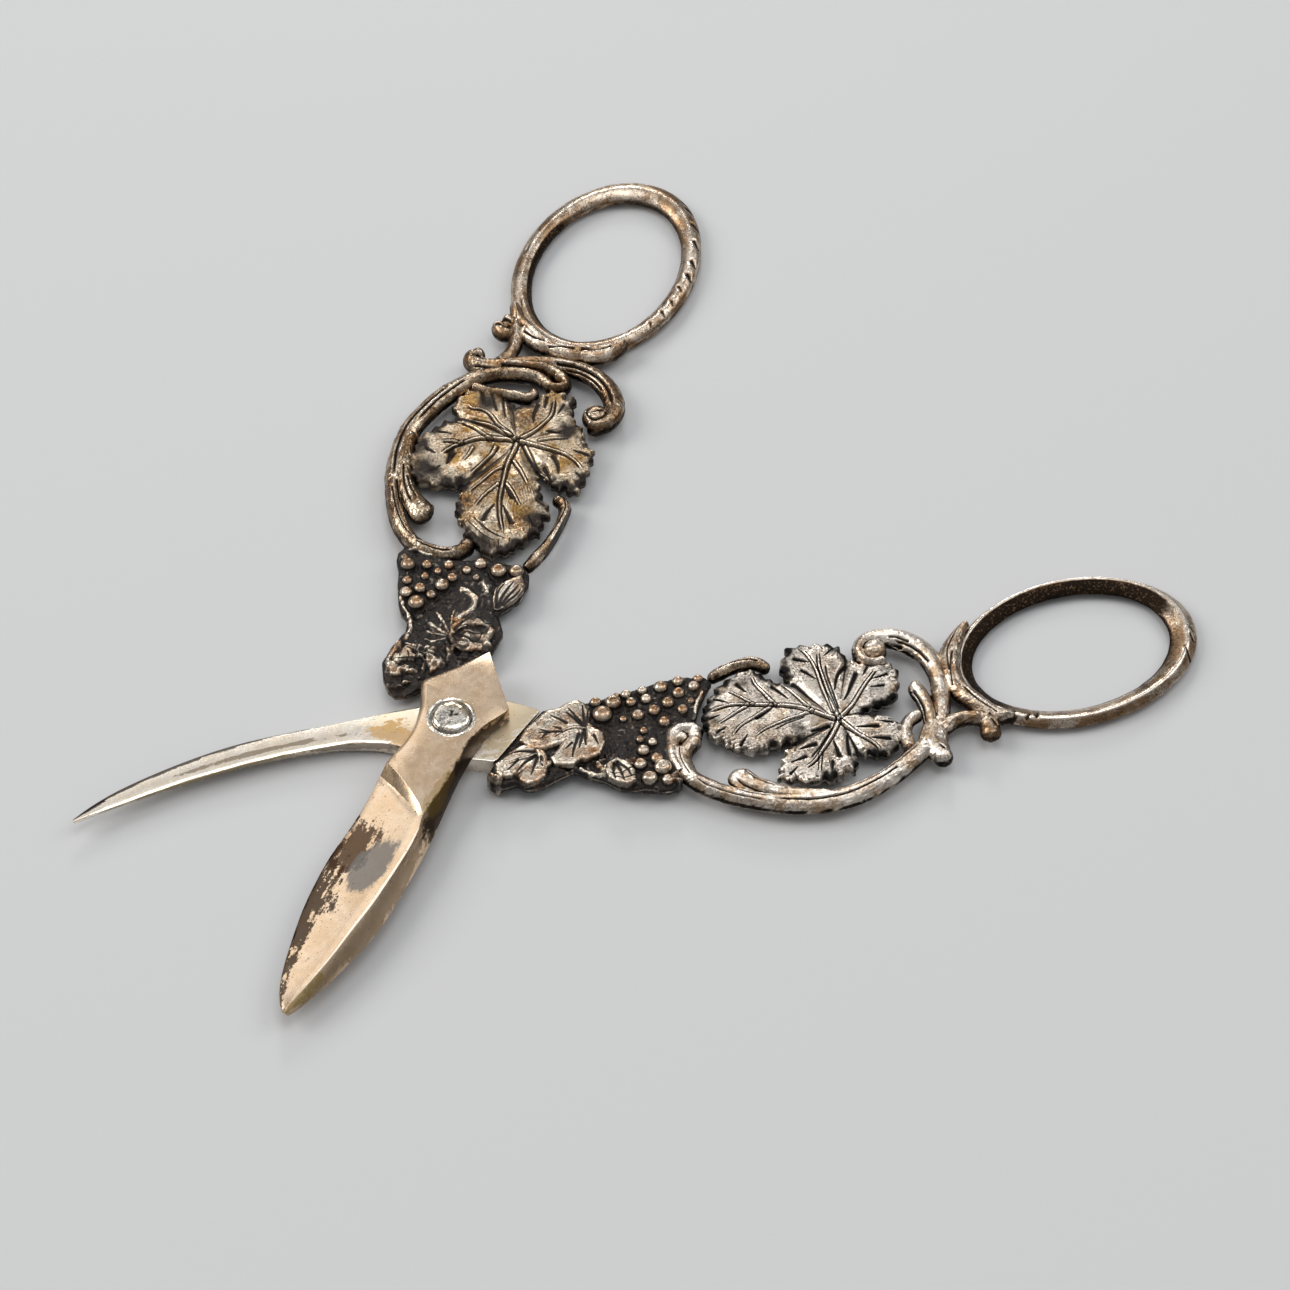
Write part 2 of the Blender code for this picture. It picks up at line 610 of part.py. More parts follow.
def make_blade(half):
    """Build a blade with its lapped plate, tang and rivet hole; return it and the tang's form."""
    rings = hooked_blade_rings(half) if half is HOOKED else broad_blade_rings(half)
    blade = loft(half.name + "_blade", rings)
    seat_form = tang(half)
    seat_form.data.transform(blade_to_handle(half).to_4x4())
    fuse(blade, tang(half))
    through = BLADE_THICKNESS + 2 * OVERRUN
    hole = rivet_cylinder("rivet_hole", SHANK_RADIUS + RUNNING_FIT, half.blade_base - OVERRUN, through)
    boolean(blade, hole, "DIFFERENCE")
    bpy.data.objects.remove(hole)
    if half is HOOKED:
        depth = OVERRUN + TAIL_DEPTH + SEAT_GAP
        sink = rivet_cylinder("tail_sink", TAIL_RADIUS + SEAT_GAP, -OVERRUN, depth)
        boolean(blade, sink, "DIFFERENCE")
        bpy.data.objects.remove(sink)
    return blade, seat_form


def rivet_cylinder(name, radius, base, height):
    """Return an upright cylinder on the rivet's axis."""
    work = bmesh.new()
    bmesh.ops.create_cone(
        work, cap_ends=True, segments=RIVET_STEPS, radius1=radius, radius2=radius, depth=height,
        matrix=Matrix.Translation((0.0, 0.0, base + height / 2)),
    )
    return link_mesh(name, mesh_from_bmesh(name, work))


def bow_point(half, angle, offset=0.0):
    """Return a point of the bow's wire centre line, moved outwards by an offset.

    The angle runs round the oval from its near end, the end that the collar clasps.
    """
    long_radius = (BOW_HOLE_LENGTH + BOW_WIRE_WIDTH) / 2
    short_radius = (BOW_HOLE_WIDTH + BOW_WIRE_WIDTH) / 2
    point = Vector((long_radius * (math.cos(angle) - 1.0), short_radius * math.sin(angle), 0.0))
    normal = Vector((math.cos(angle) / long_radius, math.sin(angle) / short_radius, 0.0)).normalized()
    turned = Matrix.Rotation(BOW_TURN, 3, "Z") @ (point + normal * offset)
    turned.y *= half.side
    return spot(half, half.bow_share) + turned


def make_bow(half):
    """Build the finger bow: an oval of wire that rests on the table."""
    angles = [2 * math.pi * i / BOW_POINTS for i in range(BOW_POINTS)]
    points = [bow_point(half, angle) for angle in angles]
    radii = [BOW_WIRE_WIDTH / 2] * BOW_POINTS
    stretch = BOW_WIRE_HEIGHT / BOW_WIRE_WIDTH
    return tube(half.name + "_finger_bow", points, radii, stretch, BOW_WIRE_HEIGHT / 2, closed=True)


def make_collar(half, bow, strut):
    """Build the clasp of leaves that holds the bow, with its knob and its bar to the strut."""
    middle = (ORNAMENT_MIDDLE + BOW_WIRE_HEIGHT / 2) / 2
    start, end = COLLAR_SPAN
    offset = BOW_WIRE_WIDTH / 2 + SOLDER_GAP + COLLAR_WIDTH / 2
    angles = [start + (end - start) * i / (COLLAR_POINTS - 1) for i in range(COLLAR_POINTS)]
    points = [bow_point(half, angle, offset) for angle in angles]
    radii = [share * COLLAR_WIDTH / 2 for share in COLLAR_TAPER_SHARES]
    stretch = COLLAR_HEIGHT / COLLAR_WIDTH
    collar = tube(half.name + "_bow_collar", points, radii, stretch, middle)
    root = bow_point(half, COLLAR_BAR_ANGLE, offset + COLLAR_WIDTH / 2)
    bar_points = [root] + [spot(half, share) for share in COLLAR_BAR_SHARES]
    bar_radii = [COLLAR_ROOT_SHARE * COLLAR_WIDTH / 2]
    bar_radii += [share[2] * COLLAR_WIDTH / 2 for share in COLLAR_BAR_SHARES]
    bar = tube("collar_bar", bar_points, bar_radii, SCROLL_HEIGHT / COLLAR_WIDTH, ORNAMENT_MIDDLE)
    knob_radius = COLLAR_KNOB_SHARE * COLLAR_WIDTH / 2
    stand = COLLAR_WIDTH / 2 + COLLAR_KNOB_STAND * knob_radius
    knob_spot = bow_point(half, COLLAR_BAR_ANGLE, offset + stand)
    knob = ball("collar_knob", knob_spot, knob_radius, 1.0, ORNAMENT_MIDDLE)
    fuse(collar, bar, knob)
    relieve(collar, SOLDER_GAP, bow, strut)
    return collar


def make_scroll_with_eye(name, half, shares, eye_share):
    """Build a scroll whose end carries a rounded eye or knob."""
    bar = scroll(half.name + name, half, shares, SCROLL_WIDTH, SCROLL_HEIGHT, ORNAMENT_MIDDLE)
    radius = eye_share[2] * SCROLL_WIDTH / 2
    stretch = SCROLL_HEIGHT / (2 * radius)
    fuse(bar, ball("eye", spot(half, eye_share), radius, stretch, ORNAMENT_MIDDLE))
    return bar


def make_leaf(name, half, heart_share, outline_shares, layers, lobe_share):
    """Build a leaf as a fan of spokes: heart, lobes and edge, each at its own two heights.

    layers holds (lower, upper) heights for the heart, the lobes and the edge.
    """
    heart = spot(half, heart_share)
    outline = [spot(half, share) for share in outline_shares]
    work = bmesh.new()
    faces = []
    rims = []
    for level in (0, 1):
        heights = [Vector((0.0, 0.0, layer[level])) for layer in layers]
        centre = work.verts.new(heart + heights[0])
        lobe = [work.verts.new(heart.lerp(point, lobe_share) + heights[1]) for point in outline]
        edge = [work.verts.new(point + heights[2]) for point in outline]
        count = len(outline)
        for i in range(count):
            j = (i + 1) % count
            faces.append((centre, lobe[i], lobe[j]))
            faces.append((lobe[i], edge[i], edge[j], lobe[j]))
        rims.append(edge)
    for i in range(len(outline)):
        j = (i + 1) % len(outline)
        faces.append((rims[0][i], rims[1][i], rims[1][j], rims[0][j]))
    for face in faces:
        work.faces.new(face)
    bmesh.ops.triangulate(work, faces=work.faces)
    return link_mesh(name, mesh_from_bmesh(name, work))


def make_vine_leaf(half):
    """Build the large pierced vine leaf, bulging alike above and below its middle."""
    thicknesses = (LEAF_HEART_THICKNESS, LEAF_LOBE_THICKNESS, LEAF_EDGE_THICKNESS)
    layers = [(ORNAMENT_MIDDLE - t / 2, ORNAMENT_MIDDLE + t / 2) for t in thicknesses]
    return make_leaf(half.name + "_vine_leaf", half, half.heart_share, half.leaf_shares, layers, LOBE_SHARE)


def make_panel(half, seat_form):
    """Build the grape panel: its ground, its berries on both faces and the tang's seat."""
    line_point, to_blade = shoulder_line(half, SOLDER_GAP)
    outline = [spot(half, share) for share in half.panel_shares]
    base = ORNAMENT_MIDDLE - PANEL_THICKNESS / 2
    panel = prism(half.name + "_grape_panel", outline, base, PANEL_THICKNESS)
    for share in half.berry_shares:
        radius = share[2] * PATTERN * PERCENT
        for face in (-1, 1):
            middle = ORNAMENT_MIDDLE + face * (PANEL_THICKNESS / 2 - BERRY_SINK)
            berry = ball(
                "berry", spot(half, share), radius, BERRY_RISE_SHARE, middle, BERRY_SIDES, BERRY_RINGS
            )
            fuse(panel, berry)
    trim(panel, line_point, to_blade)
    trim_to_closing(half, panel)
    relieve(panel, SEAT_GAP, seat_form)
    return panel


def make_small_leaves(half, panel):
    """Build the small leaves that lie on the panel's upper face, clear of its berries."""
    line_point, to_blade = shoulder_line(half, SOLDER_GAP)
    base = ORNAMENT_MIDDLE + PANEL_THICKNESS / 2
    top = base + SEAT_GAP
    layers = [(base, top + rise) for rise in (SMALL_LEAF_HEART, SMALL_LEAF_LOBE, SMALL_LEAF_EDGE)]
    leaves = []
    for name, heart_share, outline_shares in half.small_leaf_shares:
        leaf = make_leaf(half.name + "_" + name, half, heart_share, outline_shares, layers, LOBE_SHARE)
        trim(leaf, line_point, to_blade)
        trim_to_closing(half, leaf)
        leaves.append(leaf)
    return leaves


def make_rivet():
    """Turn the rivet: domed head on top, shank, and a tail sunk flush into the underside."""
    head = [(HEAD_RADIUS * out, HEAD_SEAT + HEAD_RISE * up) for out, up in HEAD_SHARES]
    profile = (
        *head,
        (HEAD_RADIUS, HEAD_SEAT),
        (SHANK_RADIUS, HEAD_SEAT),
        (SHANK_RADIUS, TAIL_DEPTH),
        (TAIL_RADIUS, TAIL_DEPTH),
        (TAIL_RADIUS, 0.0),
        (0.0, 0.0),
    )
    mesh = bpy.data.meshes.new("pivot_rivet")
    points = [(radius, 0.0, height) for radius, height in profile]
    mesh.from_pydata(points, [(i, i + 1) for i in range(len(points) - 1)], [])
    rivet = link_mesh("pivot_rivet", mesh)
    screw = rivet.modifiers.new("turn", "SCREW")
    screw.steps = screw.render_steps = RIVET_STEPS
    screw.use_merge_vertices = True
    screw.merge_threshold = WELD
    return rivet


def frame_empty(name, turn, parent=None):
    """Return an empty on the rivet's axis, turned as a half's blade or handle stands."""
    empty = bpy.data.objects.new(name, None)
    PARTS.objects.link(empty)
    empty.rotation_euler = (0.0, 0.0, turn)
    empty.parent = parent
    return empty


def make_half(half):
    """Build one half and stand it at its angle on the rivet."""
    blade_frame = frame_empty(half.name + "_half", half.blade_turn)
    handle_frame = frame_empty(half.name + "_handle", half.handle_turn - half.blade_turn, blade_frame)
    blade, seat_form = make_blade(half)
    bow = make_bow(half)
    strut = make_scroll_with_eye("_strut_scroll", half, STRUT_SHARES, STRUT_KNOB_SHARE)
    collar = make_collar(half, bow, strut)
    bow_scroll = make_scroll_with_eye("_bow_scroll", half, BOW_SCROLL_SHARES, BOW_VOLUTE_SHARE)
    relieve(bow_scroll, SOLDER_GAP, collar, strut)
    outer = make_scroll_with_eye("_outer_scroll", half, OUTER_SCROLL_SHARES, OUTER_VOLUTE_SHARE)
    relieve(outer, SOLDER_GAP, strut)
    inner = make_scroll_with_eye("_inner_scroll", half, INNER_SCROLL_SHARES, CLUB_SHARE)
    relieve(inner, SOLDER_GAP, outer)
    panel = make_panel(half, seat_form)
    relieve(panel, SOLDER_GAP, outer)
    leaf = make_vine_leaf(half)
    relieve(leaf, SOLDER_GAP, outer, bow_scroll, panel, strut)
    bar_size = (SCROLL_WIDTH, SCROLL_HEIGHT, ORNAMENT_MIDDLE)
    stem = scroll(half.name + "_stem", half, half.stem_shares, *bar_size)
    relieve(stem, SOLDER_GAP, panel, leaf)
    tendril = scroll(half.name + "_tendril", half, TENDRIL_SHARES, *bar_size)
    relieve(tendril, SOLDER_GAP, outer, strut)
    small_leaves = make_small_leaves(half, panel)
    for small_leaf in small_leaves:
        relieve(small_leaf, SEAT_GAP, panel, outer)
    trim_to_closing(half, leaf, bow_scroll)
    bpy.data.objects.remove(seat_form)
    blade.parent = blade_frame
    handle = (bow, strut, collar, bow_scroll, outer, inner, panel, leaf, stem, tendril, *small_leaves)
    for piece in handle:
        piece.parent = handle_frame
        piece.data.materials.append(metal(piece.name, half.colour))
    blade.data.materials.append(metal(blade.name, BLADE_COLOUR))


def finish():
    """Shade every piece smooth, with its corners kept sharp."""
    for obj in PARTS.objects:
        if obj.type == "MESH":
            obj.data.shade_smooth()
            obj.data.set_sharp_from_angle(angle=SMOOTH_ANGLE)


PARTS = new_collection("grape_shears")


def main():
    """Build both halves and the rivet."""
    clear_scene()
    for half in (HOOKED, BROAD):
        make_half(half)
    rivet = make_rivet()
    rivet.data.materials.append(metal(rivet.name, RIVET_COLOUR))
    finish()


main()
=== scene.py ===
"""The grape shears as the eye sees them: chased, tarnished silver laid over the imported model.

Each piece is drawn in millimetres in its own half's frame, as in the part's source: the rivet
at the origin, +X to the tip, +Y on the side of the cutting edge and of the outer scroll. It is
then stood at its angle in the shared frame, in metres, and it replaces the plain solid there.
"""

import logging
import math
from dataclasses import dataclass, field
from enum import Enum

import bpy
import numpy as np
from mathutils import Matrix, Vector
from mathutils.geometry import delaunay_2d_cdt
from mathutils.kdtree import KDTree


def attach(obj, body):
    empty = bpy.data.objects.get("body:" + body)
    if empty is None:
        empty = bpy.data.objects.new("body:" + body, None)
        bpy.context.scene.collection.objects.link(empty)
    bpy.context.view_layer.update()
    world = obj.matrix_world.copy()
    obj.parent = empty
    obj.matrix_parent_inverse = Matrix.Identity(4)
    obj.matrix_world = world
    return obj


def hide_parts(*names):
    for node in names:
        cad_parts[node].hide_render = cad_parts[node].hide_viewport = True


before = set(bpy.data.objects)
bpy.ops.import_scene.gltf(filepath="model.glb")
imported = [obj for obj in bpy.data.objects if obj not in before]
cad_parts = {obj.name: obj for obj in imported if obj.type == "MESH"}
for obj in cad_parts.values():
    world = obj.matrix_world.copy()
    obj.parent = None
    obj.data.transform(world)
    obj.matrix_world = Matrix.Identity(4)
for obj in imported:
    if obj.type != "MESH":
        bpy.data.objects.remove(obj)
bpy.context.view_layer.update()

LOG = logging.getLogger("grape_shears")

MM = 0.001
# Height of the ornament's middle plane, and of the lap between the two blades.
MIDDLE = 2.35
LAP_TOP = 2.9
PLATE_BASE = 3.0
PLATE_TOP = 5.9
# Lowest that any worked face may reach above the table.
FLOOR_CLEARANCE = 0.05
# Where the two handles meet when the shears are shut.
CLOSING_SLOPE = math.tan(math.radians(8.35))
CLOSING_GAP = 0.27

Rows = tuple[tuple[float, ...], ...]


class Cut(Enum):
    """The marks of the chaser's tools."""

    VEIN = "a raised rib between two grooves"
    WEDGE = "a graver's cut, broad at its start and fine at its end"
    LINE = "a fine groove of even width"
    CREASE = "a broad valley between two lobes"
    RIB = "a raised rounded rib"


@dataclass(frozen=True)
class Half:
    """How one half of the shears stands."""

    name: str
    side: int
    blade_turn: float
    handle_turn: float
    bow_anchor: tuple[float, float]

    def standing(self, turn: float) -> Matrix:
        """Return the matrix from this half's frame, in millimetres, to the shared frame.

        Args:
            turn: The angle in degrees at which the piece stands on the rivet.

        Returns:
            The placing, with the half's mirroring in it.
        """
        mirror = Matrix.Diagonal((MM, MM * self.side, MM, 1.0))
        return Matrix.Rotation(math.radians(turn), 4, "Z") @ mirror

    @property
    def body(self) -> str:
        """Return the name of the moving body of this half."""
        return f"{self.name}_half"


HOOKED = Half("hooked", 1, -24.9, -31.84, (-75.8, 2.3))
BROAD = Half("broad", -1, 24.9, 34.67, (-76.9, 3.7))


# Lines and plan shapes, in millimetres.


def smooth_line(rows: Rows, step: float, closed: bool = False) -> np.ndarray:
    """Draw a smooth line through rows of numbers whose first two are x and y.

    Args:
        rows: The points, each with any further values to carry along.
        step: The spacing of the new points along the line.
        closed: Whether the line runs back to its start.

    Returns:
        The evenly spaced points with their carried values.
    """
    known = np.asarray(rows, dtype=float)
    count = len(known)
    fine = []
    share = np.linspace(0.0, 1.0, 12, endpoint=False)[:, None]
    for k in range(count if closed else count - 1):
        if closed:
            a, b, c, d = (known[(k + j) % count] for j in (-1, 0, 1, 2))
        else:
            b, c = known[k], known[k + 1]
            a = known[k - 1] if k else 2 * b - c
            d = known[k + 2] if k + 2 < count else 2 * c - b
        curve = (2 * b) + (c - a) * share
        curve = curve + (2 * a - 5 * b + 4 * c - d) * share**2
        curve = curve + (3 * b - a - 3 * c + d) * share**3
        fine.append(curve / 2)
    fine.append(known[:1] if closed else known[-1:])
    return resampled(np.concatenate(fine), step, closed)


def resampled(points: np.ndarray, step: float, closed: bool = False) -> np.ndarray:
    """Return points at an even spacing along a chain of points.

    Args:
        points: The chain; a closed chain ends with its first point again.
        step: The wanted spacing.
        closed: Whether to leave the repeated last point out.

    Returns:
        The evenly spaced points.
    """
    run = np.hypot(*np.diff(points[:, :2], axis=0).T)
    arc = np.concatenate(([0.0], np.cumsum(run)))
    count = max(3, round(arc[-1] / step))
    at = np.linspace(0.0, arc[-1], count + 1)
    even = np.column_stack([np.interp(at, arc, column) for column in points.T])
    return even[:-1] if closed else even


def sideways(line: np.ndarray, closed: bool = False) -> np.ndarray:
    """Return the unit normals on the left of a line in plan."""
    if closed:
        ahead = np.roll(line, -1, axis=0) - np.roll(line, 1, axis=0)
    else:
        ahead = np.gradient(line, axis=0)
    ahead = ahead[:, :2] / np.maximum(np.hypot(ahead[:, 0], ahead[:, 1]), 1e-9)[:, None]
    return np.column_stack((-ahead[:, 1], ahead[:, 0]))


def beside(line: np.ndarray, distance: float | np.ndarray) -> np.ndarray:
    """Return a line moved to its left by a distance."""
    moved = line.copy()
    moved[:, :2] += sideways(line) * np.reshape(distance, (-1, 1))
    return moved


def reach_of(points: np.ndarray, line: np.ndarray) -> tuple[np.ndarray, np.ndarray]:
    """Return how far points lie from a line, and at what share of its length.

    Args:
        points: The points, x and y first.
        line: The line's points.

    Returns:
        The distances, and the shares from 0 at its start to 1 at its end.
    """
    run = np.hypot(*np.diff(line[:, :2], axis=0).T)
    arc = np.concatenate(([0.0], np.cumsum(run)))
    best = np.full(len(points), np.inf)
    share = np.zeros(len(points))
    for k, length in enumerate(run):
        start = line[k, :2]
        ahead = line[k + 1, :2] - start
        away = points[:, :2] - start
        along = np.clip(away @ ahead / max(length * length, 1e-12), 0.0, 1.0)
        distance = np.hypot(*(away - along[:, None] * ahead).T)
        closer = distance < best
        best[closer] = distance[closer]
        share[closer] = (arc[k] + along[closer] * length) / arc[-1]
    return best, share


def is_inside(points: np.ndarray, outline: np.ndarray) -> np.ndarray:
    """Return which points lie inside a closed outline."""
    inside = np.zeros(len(points), dtype=bool)
    x, y = points[:, 0], points[:, 1]
    for (ax, ay), (bx, by) in zip(outline[:, :2], np.roll(outline[:, :2], -1, axis=0)):
        if ay == by:
            continue
        crosses = ((ay > y) != (by > y)) & (x < (bx - ax) * (y - ay) / (by - ay) + ax)
        inside ^= crosses
    return inside


def nearest(points: np.ndarray, marks: np.ndarray) -> np.ndarray:
    """Return each point's distance to the nearest mark."""
    found = np.empty(len(points))
    for start in range(0, len(points), 3000):
        part = points[start:start + 3000, None, :2] - marks[None, :, :2]
        found[start:start + 3000] = np.sqrt((part**2).sum(axis=2).min(axis=1))
    return found


def cloud(points: np.ndarray, size: float, seed: int) -> np.ndarray:
    """Return smooth seeded noise from 0 to 1 over points in plan.

    Args:
        points: The points, x and y first.
        size: The width of one blot in millimetres.
        seed: The number that picks the pattern.

    Returns:
        One value for each point.
    """
    table = np.random.default_rng(seed).random((64, 64))
    place = points[:, :2] / size
    cell = np.floor(place).astype(int)
    part = place - cell
    part = part * part * (3 - 2 * part)
    i, j = cell[:, 0] % 64, cell[:, 1] % 64
    k, m = (i + 1) % 64, (j + 1) % 64
    low = table[i, j] * (1 - part[:, 0]) + table[k, j] * part[:, 0]
    high = table[i, m] * (1 - part[:, 0]) + table[k, m] * part[:, 0]
    return low * (1 - part[:, 1]) + high * part[:, 1]


def rounded(value: np.ndarray, low: float, high: float) -> np.ndarray:
    """Return a smooth step from 0 at low to 1 at high."""
    share = np.clip((value - low) / (high - low), 0.0, 1.0)
    return share * share * (3 - 2 * share)


def past_closing(points: np.ndarray) -> np.ndarray:
    """Return plan points with none beyond the line where the shut handles meet."""
    kept = points.copy()
    kept[:, 1] = np.maximum(kept[:, 1], CLOSING_SLOPE * kept[:, 0] + CLOSING_GAP)
    return kept


def chased(points: np.ndarray, strokes: tuple, shift: tuple[float, float]) -> tuple:
    """Work out what a set of tool strokes does to a face.

    Args:
        points: The face's points in plan.
        strokes: Each a Cut, a size that scales it, and its points.
        shift: How far the whole set is moved in plan.

    Returns:
        The rise of each point, and how hollow it is from 0 to 1.
    """
    rise = np.zeros(len(points))
    hollow = np.zeros(len(points))
    for cut, size, rows in strokes:
        line = smooth_line(rows, 0.4) if len(rows) > 2 else np.asarray(rows, dtype=float)
        line = line[:, :2] + np.asarray(shift)
        margin = 2.5 * size + 0.5
        low, high = line.min(axis=0) - margin, line.max(axis=0) + margin
        near = np.flatnonzero(((points[:, :2] > low) & (points[:, :2] < high)).all(axis=1))
        if not len(near):
            continue
        reach, share = reach_of(points[near], line)
        if cut is Cut.VEIN:
            fade = 1.0 - 0.55 * share
            spread = 0.27 * size * fade + 0.05
            groove = np.exp(-(((reach - spread) / (0.1 * size)) ** 2)) * rounded(1 - share, 0.0, 0.12)
            crest = np.exp(-((reach / (0.2 * size * fade)) ** 2)) * rounded(1 - share, 0.0, 0.1)
            move = 0.17 * size * crest - 0.2 * size * groove
            dark = 0.8 * groove
        elif cut is Cut.WEDGE:
            width = size * (0.25 * (1.0 - share) ** 0.7 + 0.06)
            groove = np.exp(-((reach / width) ** 2)) * rounded(1 - share, 0.0, 0.1)
            move = -0.36 * size * groove * (1.05 - share) ** 0.5
            dark = groove
        elif cut is Cut.LINE:
            groove = np.exp(-((reach / (0.14 * size)) ** 2)) * rounded(1 - share, 0.0, 0.15)
            move = -0.2 * size * groove
            dark = 0.85 * groove
        elif cut is Cut.CREASE:
            width = size * (0.6 * (1.0 - share) + 0.2)
            groove = np.exp(-((reach / width) ** 2))
            move = -0.6 * size * groove * (1.0 - 0.6 * share)
            dark = np.exp(-((reach / (0.45 * width)) ** 2)) * (1.0 - 0.35 * share)
        else:
            crest = np.exp(-((reach / (0.34 * size)) ** 2)) * rounded(1 - share, 0.0, 0.15)
            move = 0.4 * size * crest
            dark = np.zeros(len(reach))
        rise[near] += move
        hollow[near] = np.maximum(hollow[near], dark)
    return rise, hollow


# Meshes.


def only(obj: bpy.types.Object) -> bpy.types.Object:
    """Select one object alone and make it the active one."""
    bpy.ops.object.select_all(action="DESELECT")
    obj.select_set(True)
    bpy.context.view_layer.objects.active = obj
    return obj


def begin() -> None:
    """Deselect everything, so that the next primitive is selected alone."""
    bpy.ops.object.select_all(action="DESELECT")


def place_points(mesh: bpy.types.Mesh, points: np.ndarray) -> None:
    """Move a mesh's vertices to new points."""
    mesh.vertices.foreach_set("co", np.ascontiguousarray(points, dtype=np.float32).ravel())
    mesh.update()


def points_of(mesh: bpy.types.Mesh) -> np.ndarray:
    """Return a mesh's vertices as rows of x, y and z."""
    flat = np.empty(len(mesh.vertices) * 3, dtype=np.float32)
    mesh.vertices.foreach_get("co", flat)
    return flat.reshape(-1, 3).astype(float)


def normals_of(mesh: bpy.types.Mesh) -> np.ndarray:
    """Return a mesh's vertex normals as rows."""
    flat = np.empty(len(mesh.vertices) * 3, dtype=np.float32)
    mesh.vertex_normals.foreach_get("vector", flat)
    return flat.reshape(-1, 3).astype(float)


def write_values(mesh: bpy.types.Mesh, name: str, values: np.ndarray) -> None:
    """Store one number for each vertex under an attribute name."""
    layer = mesh.attributes.get(name) or mesh.attributes.new(name, "FLOAT", "POINT")
    layer.data.foreach_set("value", np.ascontiguousarray(values, dtype=np.float32))


def read_values(mesh: bpy.types.Mesh, name: str) -> np.ndarray:
    """Return the numbers stored under an attribute name, or zeros."""
    values = np.zeros(len(mesh.vertices), dtype=np.float32)
    layer = mesh.attributes.get(name)
    if layer:
        layer.data.foreach_get("value", values)
    return values.astype(float)


def carry(obj: bpy.types.Object, places: np.ndarray, values: np.ndarray, name: str) -> None:
    """Give each vertex of a piece the value of the nearest of these places.

    Args:
        obj: The piece.
        places: The places, as x, y and height.
        values: The value at each place.
        name: The attribute that takes the values.
    """
    tree = KDTree(len(places))
    for number, place in enumerate(places):
        tree.insert(place, number)
    tree.balance()
    near = [tree.find(point)[1] for point in points_of(obj.data)]
    write_values(obj.data, name, values[near])


def skin(name: str, rings: np.ndarray, closed: bool = False) -> bpy.types.Object:
    """Wrap a grid round a row of rings, weld its seam and cap its ends.

    Args:
        name: The name of the piece.
        rings: The rings along the piece, each of equally many points.
        closed: Whether the last ring joins the first.

    Returns:
        The closed piece.
    """
    wrapped = np.concatenate((rings, rings[:, :1]), axis=1)
    if closed:
        wrapped = np.concatenate((wrapped, wrapped[:1]), axis=0)
    rows, columns = wrapped.shape[:2]
    begin()
    bpy.ops.mesh.primitive_grid_add(x_subdivisions=columns - 1, y_subdivisions=rows - 1, size=1.0)
    obj = bpy.context.object
    obj.name = obj.data.name = name
    flat = points_of(obj.data)
    column = np.rint((flat[:, 0] + 0.5) * (columns - 1)).astype(int)
    row = np.rint((flat[:, 1] + 0.5) * (rows - 1)).astype(int)
    place_points(obj.data, wrapped[row, column])
    bpy.ops.object.mode_set(mode="EDIT")
    bpy.ops.mesh.select_all(action="SELECT")
    bpy.ops.mesh.remove_doubles(threshold=0.0004)
    if not closed:
        bpy.ops.mesh.fill_holes(sides=0)
    bpy.ops.mesh.select_all(action="SELECT")
    bpy.ops.mesh.normals_make_consistent(inside=False)
    bpy.ops.object.mode_set(mode="OBJECT")
    return obj


def bar(name: str, line: np.ndarray, sides: int = 20, middle: float = MIDDLE,
        ridge: float = 0.0, closed: bool = False) -> bpy.types.Object:
    """Draw a bar along rows of x, y, half width and half height.

    Args:
        name: The name of the bar.
        line: The rows along it.
        sides: The number of points round its section.
        middle: The height of its middle.
        ridge: How much of its upper and lower face is drawn to a ridge, from 0 to 1.
        closed: Whether the bar is a ring.

    Returns:
        The closed bar.
    """
    around = np.linspace(0.0, 2 * math.pi, sides, endpoint=False)
    across, up = np.cos(around), np.sin(around)
    peak = (1.0 - np.abs(across) ** 1.15) * np.sign(up)
    lift = up * (1.0 - ridge) + peak * ridge
    normal = sideways(line, closed)
    rings = np.empty((len(line), sides, 3))
    rings[:, :, 0] = line[:, None, 0] + normal[:, None, 0] * across * line[:, None, 2]
    rings[:, :, 1] = line[:, None, 1] + normal[:, None, 1] * across * line[:, None, 2]
    rings[:, :, 2] = middle + lift * line[:, None, 3]
    return skin(name, rings, closed)


def tapered(line: np.ndarray, start: float = 0.0, end: float = 0.0) -> np.ndarray:
    """Round off the ends of a bar's rows over these lengths."""
    run = np.hypot(*np.diff(line[:, :2], axis=0).T)
    arc = np.concatenate(([0.0], np.cumsum(run)))
    factor = np.ones(len(line))
    if start:
        factor *= np.sqrt(np.clip(1 - np.clip(1 - arc / start, 0, 0.985) ** 2, 0, 1))
    if end:
        factor *= np.sqrt(np.clip(1 - np.clip(1 - (arc[-1] - arc) / end, 0, 0.985) ** 2, 0, 1))
    shaped = line.copy()
    shaped[:, 2:4] *= factor[:, None]
    return shaped


def knob(name: str, x: float, y: float, radius: float, height: float,
         middle: float = MIDDLE) -> bpy.types.Object:
    """Add a flattened ball of this radius and half height."""
    begin()
    bpy.ops.mesh.primitive_uv_sphere_add(segments=32, ring_count=16, radius=radius)
    obj = bpy.context.object
    obj.name = obj.data.name = name
    obj.data.transform(Matrix.Translation((x, y, middle)) @ Matrix.Diagonal((1, 1, height / radius, 1)))
    return obj


